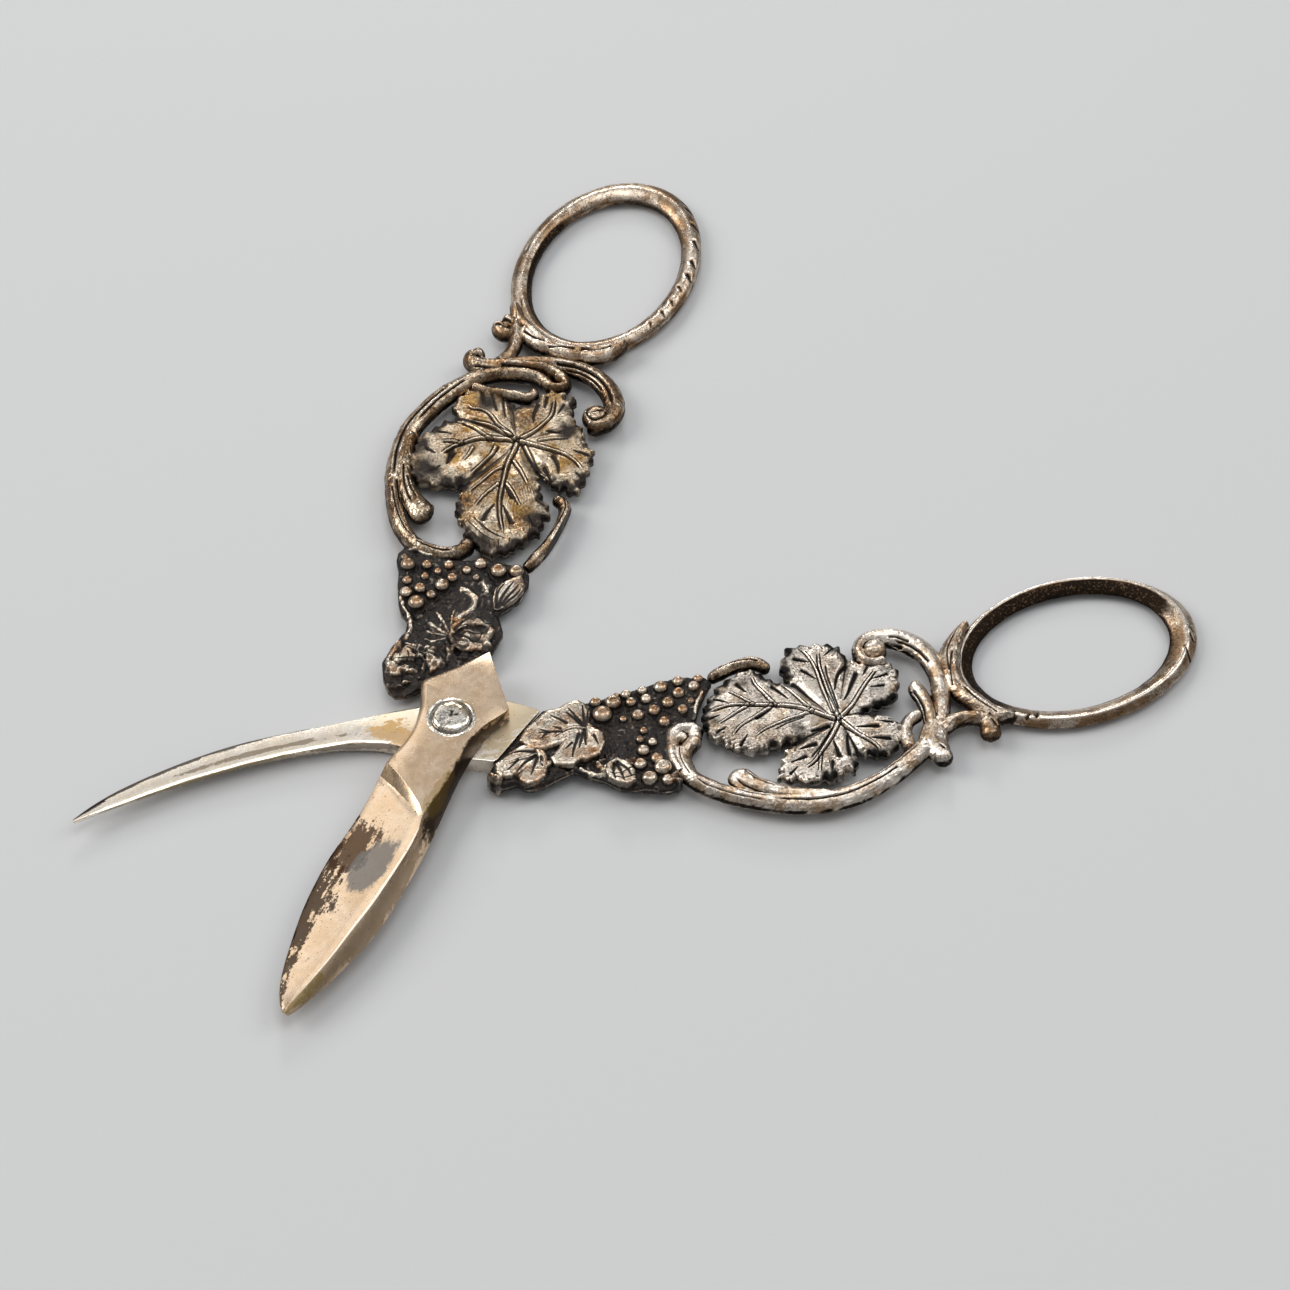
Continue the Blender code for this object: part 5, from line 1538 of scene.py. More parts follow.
def collar(half: Half, bow: FingerBow) -> Casting:
    """Return the leafy clasp that holds the finger bow, with its knob and its bar.

    Args:
        half: The half.
        bow: The bow that it clasps.

    Returns:
        The casting.
    """
    def along(rows: tuple) -> tuple:
        """Return points beside the bow from rows of degrees, distance outwards and half width."""
        table = np.asarray(rows)
        spots = bow.at(np.radians(table[:, 0]), table[:, 1] + bow.wire / 2)
        return tuple((x, y, width) for (x, y), width in zip(spots, table[:, 2]))

    if half is BROAD:
        facets = (
            ((25, 0.5, 0.5), (20, 0.7, 0.95), (13, 0.8, 1.15), (6, 0.8, 1.0), (0, 0.7, 0.7)),
            ((4, 0.6, 0.6), (-3, 0.75, 1.0), (-11, 0.8, 1.1), (-18, 0.7, 0.85)),
            ((-15, 0.7, 0.7), (-21, 0.9, 1.2), (-29, 0.8, 1.3), (-37, 0.4, 0.9), (-43, 0.1, 0.45)),
        )
        tie = ((-78.9, 11.0, 1.0), (-77.0, 10.4, 0.95), (-75.0, 10.1, 0.85), (-73.2, 10.1, 0.85),
               (-71.4, 10.7, 1.0), (-70.2, 11.4, 1.0))
        buds = (((-79.2, 13.1, 0.8), (-78.8, 12.2, 1.05), (-78.0, 11.0, 0.9)),
                ((-78.2, 13.4, 0.7), (-77.0, 13.1, 1.05), (-76.3, 12.1, 1.0), (-76.9, 10.9, 0.7)))
        cuts = [
            (Cut.LINE, 1.6, along(((20, 1.1, 0), (13, 0.9, 0), (5, 0.4, 0)))),
            (Cut.LINE, 1.2, along(((-17, 0.2, 0), (-26, 0.6, 0), (-36, 0.4, 0)))),
            (Cut.LINE, 1.2, along(((2, 1.1, 0), (-6, 0.3, 0), (-14, 0.2, 0)))),
            (Cut.WEDGE, 1.2, ((-78.6, 13.2), (-78.0, 11.4))), (Cut.WEDGE, 1.0, ((-77.2, 13.6), (-76.9, 11.6))),
        ]
    else:
        facets = (
            ((40, 0.3, 0.7), (30, 0.5, 0.95), (18, 0.6, 1.0), (6, 0.8, 1.2), (-5, 0.9, 1.35), (-15, 0.8, 1.35),
             (-26, 0.5, 1.1), (-38, 0.2, 0.7)),
        )
        tie = ((-77.6, 10.6, 1.1), (-76.0, 9.9, 0.95), (-74.2, 9.6, 0.85), (-72.4, 9.9, 0.95), (-71.0, 10.7, 1.1),
               (-70.0, 11.3, 1.1))
        buds = (((-77.3, 10.0, 1.2), (-77.4, 11.4, 1.3), (-77.3, 12.6, 1.3), (-77.2, 13.6, 1.3), (-77.1, 14.2, 1.2)),)
        cuts = [
            (Cut.LINE, 1.0, along(((34, 0.6, 0), (20, 0.2, 0), (6, 0.2, 0)))),
            (Cut.LINE, 1.0, along(((4, 1.4, 0), (-8, 0.6, 0), (-22, 0.2, 0)))),
            (Cut.WEDGE, 0.9, ((-78.2, 12.0), (-77.6, 11.0))),
            (Cut.LINE, 1.0, along(((-6, 0.9, 0), (-20, 0.9, 0), (-34, 0.6, 0)))),
        ]
    base = along(((-44, 0.0, 0.5), (-30, 0.1, 0.8), (0, 0.1, 0.8), (30, 0.1, 0.8), (44, 0.0, 0.5)))
    bars = [(base, (0.6, 0.6)), (tie, (0.3, 0.3))]
    bars += [(along(rows), (0.7, 0.7)) for rows in facets] + [(rows, (0.7, 1.3)) for rows in buds]
    return Casting(half, "bow_collar", tuple(bars), (), tuple(cuts), slot="bow_silver", height=1.3, fullness=0.2, swell=0.22,
                   soften=3, rough=0.16, seed=33)


# Vine leaves.


@dataclass
class VineLeaf:
    """The large pierced vine leaf: domed lobes, creases at its notches and cut veins."""

    half: Half
    heart: tuple[float, float]
    outline: Rows
    strokes: tuple
    warm_spots: Rows
    # Soft spots of painted shade, each x, y, radius and strength.
    painted_shade_spots: Rows
    shift: tuple[float, float]
    rough_edge: float = 0.08
    # How strong the painted shade in the band inside the margin is.
    gloom: float = 0.6
    bold: float = 1.25
    seed: int = 51

    def build(self, material: bpy.types.Material) -> bpy.types.Object:
        """Net, chase and dress the leaf.

        Args:
            material: Its finish.

        Returns:
            The leaf.
        """
        outline = np.asarray(self.outline) + np.asarray(self.shift)
        sheet = ReliefSheet(f"{self.half.name}_vine_leaf_chased", outline, pitch=0.13, teeth=0.55, tooth_pitch=1.9)
        heart = np.asarray(self.heart) + np.asarray(self.shift)
        points = sheet.points
        away = np.hypot(*(points - heart).T)
        fall = np.clip(sheet.edge / 1.7, 0, 1)
        height = MIDDLE + 0.72 + 0.5 * np.sqrt(fall * (2 - fall))
        height -= 0.25 * np.exp(-((away / 4.0) ** 2))
        height += 0.5 * (cloud(points, 3.4, self.seed) - 0.5)
        height += 0.09 * (cloud(points, 0.8, self.seed + 1) - 0.5)
        # Fine hatching runs out from the heart towards the lobes' margins.
        angle = np.arctan2(points[:, 1] - heart[1], points[:, 0] - heart[0])
        hatch = np.sin(angle * 95 + 5 * cloud(points, 2.5, self.seed + 6)) ** 2
        hatched = rounded(away, 4.0, 8.0) * rounded(cloud(points, 2.6, self.seed + 7), 0.35, 0.7)
        height -= 0.09 * hatch * hatched
        strokes = tuple((cut, size * self.bold, line) for cut, size, line in self.strokes)
        rise, hollow = chased(points, strokes, self.shift)
        height += rise
        band = 1 - rounded(sheet.edge, 0.5, 2.6)
        pits = rounded(cloud(points, 0.36, self.seed + 2), 0.6, 0.85) * band
        height -= self.rough_edge * pits
        hollow = np.maximum(hollow, 0.6 * pits)
        hollow = np.maximum(hollow, 0.4 * hatch * hatched)
        # A narrow band of painted shade along the cut edge.
        rim = 1 - rounded(sheet.edge, 0.05, 0.4)
        warmth = self.spots(points, self.warm_spots)
        # Painted shade: soft dark spots on and between the lobes, and a patchy dark band inside the margin.
        gloom = self.spots(points, self.painted_shade_spots) * (0.55 + 0.5 * cloud(points, 1.2, self.seed + 3))
        drift = (1 - rounded(sheet.edge, 0.2, 1.9)) * rounded(cloud(points, 2.4, self.seed + 8), 0.2, 0.7)
        gloom = np.maximum(gloom, self.gloom * 2 * drift * (0.6 + 0.4 * cloud(points, 0.7, self.seed + 9)))
        hollow = np.maximum(hollow, np.clip(gloom, 0, 1))
        leaf = sheet.solid(np.minimum(height, 4.05))
        sheet.spread(np.maximum(hollow, 0.35 * rim), leaf, "hollow")
        sheet.spread(warmth, leaf, "warmth")
        mark_recesses_and_wall_shade(leaf, 6, 0.1)
        dress(leaf, material)
        nodes = (f"{self.half.name}_vine_leaf",)
        return stand(leaf, self.half, self.half.handle_turn, "leaf_silver", *nodes)

    def spots(self, points: np.ndarray, spots: Rows) -> np.ndarray:
        """Return how strongly soft spots of x, y, radius and strength cover the points."""
        cover = np.zeros(len(points))
        moved = points - np.asarray(self.shift)
        for x, y, radius, strength in spots:
            away = np.hypot(moved[:, 0] - x, moved[:, 1] - y) / radius
            cover = np.maximum(cover, strength * np.exp(-(away**2)))
        return cover


HOOKED_LEAF = VineLeaf(
    HOOKED, (-55.9, 7.75),
    (
        (-60.0, 7.3), (-62.5, 7.7), (-64.0, 9.0), (-64.8, 10.5), (-64.3, 12.8), (-63.3, 14.0),
        (-62.5, 14.8), (-61.3, 15.5), (-59.8, 15.0), (-58.7, 14.6), (-57.5, 13.9), (-57.2, 16.0),
        (-56.8, 17.3), (-55.3, 17.2), (-54.5, 18.0), (-52.5, 18.6), (-51.5, 18.0), (-49.8, 18.6),
        (-48.0, 17.8), (-46.5, 17.5), (-45.2, 16.8), (-45.7, 15.5), (-46.5, 13.5), (-47.3, 11.8),
        (-49.3, 10.6), (-46.0, 11.0), (-44.0, 11.6), (-42.0, 11.3), (-40.3, 10.9), (-39.0, 10.2),
        (-38.6, 9.0), (-37.0, 8.0), (-36.5, 6.5), (-36.2, 5.0), (-36.5, 3.0), (-37.5, 1.0), (-38.6, -0.3),
        (-39.5, -1.5), (-41.5, -2.5), (-44.0, -3.7), (-45.5, -3.3), (-46.3, -2.3), (-47.5, -1.0),
        (-50.3, 0.3), (-49.2, -1.5), (-49.0, -4.0), (-50.0, -5.0), (-50.5, -6.6), (-52.5, -6.8),
        (-54.0, -6.8), (-55.5, -6.8), (-57.0, -6.5), (-58.3, -5.8), (-59.0, -4.0), (-60.0, -2.8),
        (-62.0, -1.8), (-64.0, -1.5), (-65.3, -1.5), (-66.0, 0.0), (-65.8, 2.0), (-65.3, 4.0),
        (-64.6, 5.3), (-63.0, 6.2), (-60.0, 6.5),
    ),
    (
        (Cut.CREASE, 1.0, ((-62.5, 6.9), (-59.5, 6.95), (-56.5, 7.2))),
        (Cut.CREASE, 0.9, ((-57.6, 14.2), (-57.0, 11.5), (-56.3, 8.8))),
        (Cut.CREASE, 1.1, ((-48.6, 10.9), (-51.5, 9.9), (-54.6, 8.4))),
        (Cut.CREASE, 1.1, ((-50.4, 0.0), (-52.2, 2.8), (-54.6, 6.2))),
        (Cut.CREASE, 0.8, ((-59.2, -4.4), (-58.2, -0.5), (-56.8, 4.0))),
        (Cut.VEIN, 1.0, ((-55.9, 7.5), (-55.3, 3.5), (-54.95, -0.3), (-54.75, -2.3), (-55.1, -5.2))),
        (Cut.VEIN, 0.9, ((-55.4, 6.0), (-54.6, 2.0), (-54.2, -1.5), (-53.3, -4.6), (-52.0, -6.5))),
        (Cut.LINE, 1.0, ((-56.2, 5.6), (-55.9, 2.5), (-55.6, -0.5), (-55.7, -3.0))),
        (Cut.VEIN, 1.0, ((-56.3, 7.2), (-58.0, 5.75), (-60.5, 2.5), (-63.0, -0.5))),
        (Cut.WEDGE, 1.1, ((-59.75, 0.0), (-58.0, 3.25), (-57.0, 4.75))),
        (Cut.WEDGE, 1.0, ((-58.5, -1.75), (-57.0, 0.0), (-56.1, 2.75))),
        (Cut.WEDGE, 0.8, ((-63.4, 2.75), (-61.25, 2.9))), (Cut.WEDGE, 0.8, ((-64.2, 0.9), (-61.8, 1.4))),
        (Cut.VEIN, 1.0, ((-56.2, 8.1), (-58.25, 11.0), (-60.25, 13.25), (-61.0, 14.8))),
        (Cut.WEDGE, 1.0, ((-62.5, 12.5), (-59.75, 12.0))), (Cut.WEDGE, 1.0, ((-61.2, 10.1), (-57.9, 9.6))),
        (Cut.WEDGE, 0.8, ((-63.4, 9.6), (-61.4, 9.2))),
        (Cut.WEDGE, 1.1, ((-56.3, 14.25), (-56.4, 12.0), (-56.8, 9.9))),
        (Cut.WEDGE, 1.0, ((-54.8, 14.4), (-54.4, 11.25))),
        (Cut.VEIN, 1.1, ((-55.7, 8.2), (-54.2, 10.7), (-52.75, 12.75), (-51.0, 15.0), (-49.25, 16.1))),
        (Cut.LINE, 1.1, ((-54.9, 8.7), (-53.2, 11.2), (-51.8, 13.0), (-50.2, 14.8))),
        (Cut.VEIN, 0.8, ((-52.1, 13.9), (-51.8, 15.3), (-51.4, 17.0))),
        (Cut.WEDGE, 1.1, ((-51.7, 11.9), (-49.0, 12.5))), (Cut.WEDGE, 0.9, ((-49.9, 13.9), (-47.4, 14.6))),
        (Cut.WEDGE, 1.0, ((-54.2, 8.5), (-51.25, 9.4))), (Cut.WEDGE, 0.8, ((-53.6, 15.4), (-53.2, 17.3))),
        (Cut.VEIN, 1.2, ((-55.2, 7.3), (-51.75, 5.35), (-49.0, 4.25), (-46.0, 3.5), (-43.25, 3.0), (-41.0, 2.75),
                         (-38.5, 3.1), (-36.9, 3.5))),
        (Cut.VEIN, 0.85, ((-52.3, 5.7), (-50.2, 6.3), (-48.0, 7.0), (-45.0, 8.0), (-43.0, 9.3))),
        (Cut.LINE, 1.0, ((-50.8, 6.7), (-48.2, 7.6), (-46.0, 8.6))),
        (Cut.WEDGE, 0.9, ((-44.1, 5.7), (-46.6, 4.4))),
        (Cut.VEIN, 0.85, ((-46.6, 3.8), (-43.25, 5.75), (-41.25, 7.0), (-39.9, 8.6))),
        (Cut.VEIN, 0.85, ((-43.2, 3.1), (-40.5, 4.75), (-38.3, 5.9))),
        (Cut.VEIN, 0.85, ((-51.9, 5.0), (-50.25, 2.2), (-48.5, -0.3))),
        (Cut.WEDGE, 0.9, ((-47.3, 0.4), (-49.4, 3.3))),
        (Cut.VEIN, 0.85, ((-47.2, 3.7), (-46.0, 1.5), (-45.0, -0.5), (-44.6, -2.2))),
        (Cut.VEIN, 0.8, ((-44.0, 3.0), (-42.25, 1.25), (-40.75, 0.0))),
        (Cut.WEDGE, 0.9, ((-42.3, -1.0), (-43.6, 0.9))), (Cut.WEDGE, 0.8, ((-38.6, 1.2), (-40.6, 2.3))),
        (Cut.WEDGE, 0.9, ((-52.1, -1.9), (-54.0, 0.0))), (Cut.WEDGE, 0.9, ((-51.4, -4.2), (-53.5, -3.1))),
        (Cut.WEDGE, 0.8, ((-57.4, -5.4), (-55.6, -3.8))), (Cut.WEDGE, 0.7, ((-61.6, -1.0), (-60.6, 0.8))),
        (Cut.WEDGE, 0.7, ((-47.2, 16.6), (-48.6, 15.4))), (Cut.WEDGE, 0.7, ((-41.0, 10.2), (-42.4, 8.4))),
        (Cut.WEDGE, 0.7, ((-38.0, 7.4), (-39.6, 6.6))), (Cut.WEDGE, 0.7, ((-37.4, 4.6), (-39.0, 4.3))),
    ),
    ((-45.0, 9.5, 3.5, 0.7), (-52.0, 13.0, 4.0, 0.6), (-61.0, 12.0, 2.5, 0.6), (-40.0, 8.0, 3.0, 0.7),
     (-56.0, -2.0, 3.5, 0.5), (-46.0, 2.0, 3.0, 0.4)),
    ((-60.0, 6.9, 1.4, 0.8), (-48.4, -0.6, 1.4, 0.5), (-57.5, 14.2, 1.0, 0.8), (-62.5, 3.2, 1.8, 0.6),
     (-57.5, -4.8, 1.5, 0.6), (-51.0, -5.8, 1.8, 0.8), (-43.0, -1.2, 2.0, 0.6), (-38.0, 5.4, 1.5, 0.6),
     (-50.0, 8.9, 1.5, 0.6), (-47.6, 10.6, 1.3, 0.8), (-64.0, 0.2, 1.4, 0.7), (-37.4, 1.4, 1.2, 0.7)),
    (0.0, -0.4), rough_edge=0.12, gloom=0.5, bold=1.25, seed=61,
)

BROAD_LEAF = VineLeaf(
    BROAD, (-55.5, 4.7),
    (
        (-62.0, 6.6), (-62.7, 7.3), (-64.5, 9.5), (-64.7, 12.0), (-63.5, 14.5), (-61.0, 15.7), (-59.0, 15.8),
        (-57.6, 14.6), (-56.5, 16.3), (-55.7, 16.7), (-54.0, 18.0), (-53.3, 18.6), (-52.0, 19.3), (-48.0, 19.3),
        (-45.0, 18.5), (-44.2, 17.5), (-44.0, 15.5), (-43.8, 14.0), (-44.5, 12.5), (-44.0, 11.2),
        (-45.4, 10.5), (-42.0, 10.3), (-40.5, 10.4), (-39.0, 9.6), (-37.5, 8.7), (-38.0, 8.2), (-36.0, 7.8),
        (-35.0, 7.3), (-34.8, 6.0), (-33.5, 5.0), (-32.7, 3.0), (-33.5, 1.5), (-34.0, 0.3), (-35.5, -0.6),
        (-36.3, -1.3), (-38.0, -1.8), (-38.5, -3.0), (-40.0, -3.2), (-41.8, -3.0), (-42.5, -3.8),
        (-44.3, -3.0), (-45.5, -1.8), (-48.0, -0.8), (-50.8, 0.3), (-49.0, -1.5), (-47.4, -3.8),
        (-48.3, -4.5), (-47.3, -5.5), (-47.8, -6.5), (-48.8, -7.0), (-51.0, -7.2), (-53.0, -7.2),
        (-55.0, -7.2), (-56.3, -7.0), (-57.5, -5.5), (-59.0, -4.8), (-60.5, -4.0), (-61.5, -2.5),
        (-63.0, -2.0), (-65.5, -1.9), (-66.3, -1.4), (-65.0, -0.5), (-66.5, 0.2), (-66.3, 2.3), (-65.0, 3.5),
        (-63.5, 4.3), (-62.3, 5.4),
    ),
    (
        (Cut.CREASE, 1.0, ((-64.3, 9.8), (-63.0, 8.0), (-60.75, 6.75), (-58.5, 5.9), (-56.2, 5.0))),
        (Cut.CREASE, 0.9, ((-57.7, 14.8), (-57.0, 11.0), (-55.9, 6.6))),
        (Cut.CREASE, 1.1, ((-45.4, 10.6), (-48.0, 8.3), (-51.0, 6.4), (-54.0, 5.2))),
        (Cut.CREASE, 1.2, ((-50.6, 0.0), (-52.0, 1.7), (-54.8, 3.8))),
        (Cut.CREASE, 0.7, ((-60.6, -3.8), (-58.4, -1.0), (-56.4, 2.8))),
        (Cut.VEIN, 1.3, ((-55.5, 4.9), (-54.75, 8.0), (-53.75, 10.5), (-52.5, 12.5), (-51.25, 14.0), (-49.5, 15.1))),
        (Cut.VEIN, 1.0, ((-52.5, 12.5), (-52.55, 14.0), (-52.2, 15.6))),
        (Cut.VEIN, 1.1, ((-54.3, 8.5), (-55.0, 9.75), (-55.75, 11.25), (-56.5, 13.5), (-56.8, 15.0))),
        (Cut.VEIN, 1.1, ((-55.6, 5.1), (-56.5, 6.5), (-57.5, 8.25), (-59.0, 9.75), (-59.7, 11.25), (-59.6, 12.6),
                         (-60.25, 13.7))),
        (Cut.VEIN, 1.1, ((-55.9, 5.8), (-56.5, 7.5), (-57.0, 9.5), (-57.25, 11.0), (-57.5, 12.7))),
        (Cut.LINE, 1.0, ((-58.7, 15.1), (-57.0, 13.9), (-55.8, 12.6))),
        (Cut.LINE, 1.1, ((-63.6, 9.0), (-61.0, 8.2), (-58.6, 7.2))), (Cut.LINE, 1.1, ((-63.8, 10.8), (-61.4, 9.7), (-59.6, 8.8))),
        (Cut.WEDGE, 1.0, ((-63.4, 12.2), (-60.6, 11.2))), (Cut.WEDGE, 0.9, ((-62.8, 3.4), (-60.75, 3.5), (-58.9, 3.0))),
        (Cut.VEIN, 1.1, ((-56.1, 4.1), (-57.5, 2.75), (-59.0, 1.75), (-61.0, 0.9), (-63.0, 1.0), (-64.6, 1.3))),
        (Cut.WEDGE, 0.9, ((-64.6, 2.4), (-62.0, 2.2))), (Cut.WEDGE, 0.8, ((-63.8, -0.4), (-61.2, 0.0))),
        (Cut.WEDGE, 1.0, ((-58.2, -1.4), (-57.9, 1.1))),
        (Cut.VEIN, 0.8, ((-56.0, 1.4), (-56.75, -1.0), (-57.3, -3.0))),
        (Cut.VEIN, 1.2, ((-55.5, 4.3), (-55.1, 2.0), (-54.75, 0.0), (-54.5, -1.75), (-54.0, -3.5), (-53.2, -5.0),
                         (-52.0, -6.4))),
        (Cut.WEDGE, 1.1, ((-53.6, -1.4), (-52.0, -2.5), (-50.2, -3.1))),
        (Cut.WEDGE, 1.0, ((-55.1, -6.4), (-55.2, -3.9))), (Cut.WEDGE, 0.9, ((-57.4, -6.3), (-58.0, -4.6))),
        (Cut.VEIN, 0.9, ((-54.7, 3.3), (-53.25, 2.25), (-51.25, 0.75), (-49.75, -1.0), (-48.25, -2.75))),
        (Cut.WEDGE, 1.0, ((-51.3, -0.6), (-49.8, -1.6), (-48.4, -2.4))),
        (Cut.WEDGE, 0.9, ((-48.2, -5.6), (-49.6, -4.4))), (Cut.WEDGE, 0.8, ((-50.6, -6.6), (-51.4, -5.2))),
        (Cut.VEIN, 1.2, ((-54.75, 4.6), (-52.0, 4.7), (-49.75, 4.8), (-47.25, 4.6), (-44.75, 4.4), (-42.5, 4.0),
                         (-40.0, 3.25), (-38.5, 2.6), (-36.6, 1.9))),
        (Cut.VEIN, 0.9, ((-49.4, 5.4), (-48.25, 6.5), (-46.5, 7.4), (-45.0, 8.25), (-43.6, 9.1))),
        (Cut.VEIN, 0.9, ((-46.1, 5.2), (-44.75, 6.0), (-43.0, 6.9), (-41.1, 7.5))),
        (Cut.WEDGE, 1.1, ((-39.0, 5.6), (-40.25, 5.5), (-42.5, 4.6))),
        (Cut.VEIN, 1.0, ((-51.1, 4.1), (-50.0, 3.0), (-48.75, 2.0), (-47.3, 0.9))),
        (Cut.VEIN, 0.9, ((-46.4, 3.9), (-45.25, 2.75), (-44.0, 1.75), (-42.8, 0.9))),
        (Cut.WEDGE, 0.9, ((-44.2, 2.5), (-45.9, 4.1))), (Cut.WEDGE, 1.1, ((-39.6, 1.4), (-41.25, 2.6), (-42.6, 3.6))),
        (Cut.VEIN, 1.1, ((-53.2, 7.4), (-51.5, 7.6), (-50.0, 8.25), (-48.5, 9.0), (-47.0, 9.8))),
        (Cut.VEIN, 0.8, ((-52.2, 10.7), (-50.75, 11.0), (-49.3, 11.5))),
        (Cut.WEDGE, 1.4, ((-50.6, 13.45), (-48.0, 13.65))), (Cut.WEDGE, 1.0, ((-50.2, 17.2), (-49.6, 15.6))),
        (Cut.WEDGE, 0.9, ((-54.0, 16.4), (-53.9, 14.2))), (Cut.WEDGE, 0.8, ((-46.4, 15.4), (-47.8, 14.4))),
        (Cut.LINE, 0.8, ((-39.0, 7.0), (-37.4, 5.0), (-36.2, 2.2))), (Cut.LINE, 0.8, ((-37.9, 7.4), (-36.3, 5.2), (-35.2, 2.4))),
        (Cut.LINE, 0.8, ((-36.8, 7.4), (-35.2, 5.0), (-34.4, 2.6))), (Cut.LINE, 0.7, ((-38.4, 6.0), (-36.9, 3.8), (-36.0, 0.8))),
        (Cut.LINE, 0.7, ((-35.4, 3.8), (-33.8, 3.0))), (Cut.LINE, 0.7, ((-35.8, 2.4), (-33.8, 1.8))),
        (Cut.LINE, 0.7, ((-36.4, 0.8), (-34.4, 0.6))),
        (Cut.WEDGE, 1.0, ((-40.0, -2.2), (-41.6, -0.6))), (Cut.WEDGE, 0.9, ((-44.0, -2.4), (-44.8, -0.8))),
    ),
    ((-59.5, 12.5, 1.8, 1.0), (-60.5, 4.5, 2.6, 0.8), (-52.5, 13.0, 2.2, 0.7), (-47.5, 6.8, 2.4, 1.0),
     (-42.0, 9.3, 2.4, 1.0), (-39.0, 7.5, 1.5, 0.7), (-45.5, 2.5, 2.0, 0.7), (-39.5, 0.2, 2.2, 0.8),
     (-51.5, 4.0, 1.6, 0.6), (-55.0, -6.0, 2.0, 0.5)),
    ((-61.5, 10.5, 2.6, 1.0), (-58.5, -2.5, 2.2, 1.0), (-46.0, 16.8, 3.4, 1.1), (-45.0, 13.0, 1.8, 0.8),
     (-50.5, 18.6, 2.6, 1.0), (-34.5, 4.0, 2.8, 1.0), (-41.0, -2.2, 2.8, 1.0), (-45.5, -1.6, 2.0, 0.9),
     (-42.0, 8.8, 0.8, 0.8), (-50.0, 7.8, 1.6, 0.5), (-63.0, -1.0, 1.8, 0.7), (-57.5, 1.5, 1.4, 0.4)),
    (-0.4, 0.1), seed=51,
)


# Grape panels and their small leaves.


@dataclass
class GrapePanel:
    """The bunch of grapes on its blackened ground, with the leafy end under the plate."""

    half: Half
    outline: Rows
    berries: Rows
    strokes: tuple
    foliage: Rows
    bowl: tuple[float, float, float, float]
    seed: int = 71

    def build(self, material: bpy.types.Material) -> bpy.types.Object:
        """Net, raise and dress the panel.

        Args:
            material: Its finish.

        Returns:
            The panel.
        """
        outline = np.asarray(self.outline)
        sheet = ReliefSheet(f"{self.half.name}_grape_panel_chased", outline, domes=self.berries, pitch=0.15,
                            rim=0.8)
        points = sheet.points
        ground = MIDDLE + 0.75 + 0.5 * (cloud(points, 1.4, self.seed) - 0.5)
        ground += 0.36 * (cloud(points, 0.5, self.seed + 5) - 0.5)
        x, y, across, drop = self.bowl
        ground -= drop * np.exp(-(np.hypot((points[:, 0] - x) / 1.35, points[:, 1] - y) / across) ** 2)
        leafy = np.zeros(len(points))
        for x, y, radius in self.foliage:
            leafy = np.maximum(leafy, 1 - rounded(np.hypot(points[:, 0] - x, points[:, 1] - y), 0.6 * radius, radius))
        folds = rounded(cloud(points, 1.3, self.seed + 1), 0.3, 0.75)
        curls = np.abs(cloud(points, 0.9, self.seed + 2) - 0.5) * 2
        crumple = 0.6 * folds + 0.25 * (1 - curls) ** 1.8
        ground += leafy * (crumple * 1.25 - 0.1)
        fine = cloud(points, 0.45, self.seed + 6)
        hollow = np.where(leafy > 0.2, 1.05 - 0.95 * crumple * leafy, 0.98 - 0.4 * rounded(fine, 0.55, 0.9))
        rise, cuts = chased(points, self.strokes, (0.0, 0.0))
        ground += rise
        raised = np.clip(rise / 0.3, 0, 1)
        hollow = np.clip(np.maximum(hollow - 0.9 * raised, cuts), 0, 1)
        lift, eyes, crown = domed(points, self.berries, seed=self.seed)
        height = np.where(lift > 0, np.maximum(ground, MIDDLE + 0.85 + lift * 1.1), ground)
        hollow = np.where(crown > 0, np.maximum(np.clip(1.15 - 2.4 * crown, 0, 1), eyes), hollow)
        below = np.maximum(2 * MIDDLE - height, 2 * MIDDLE - 4.6)
        panel = sheet.solid(np.minimum(height, 4.75), below)
        sheet.spread(np.clip(hollow, 0, 1), panel, "hollow")
        tint = rounded(cloud(points, 1.5, self.seed + 4), 0.25, 0.55)
        warmth = 0.8 * crown * tint + 1.2 * eyes + 0.8 * leafy * rounded(curls, 0.1, 0.5)
        sheet.spread(np.clip(warmth, 0, 1), panel, "warmth")
        mark_recesses_and_wall_shade(panel, 5, 0.16)
        dress(panel, material)
        nodes = (f"{self.half.name}_grape_panel",)
        return stand(panel, self.half, self.half.handle_turn, "panel_silver", *nodes)


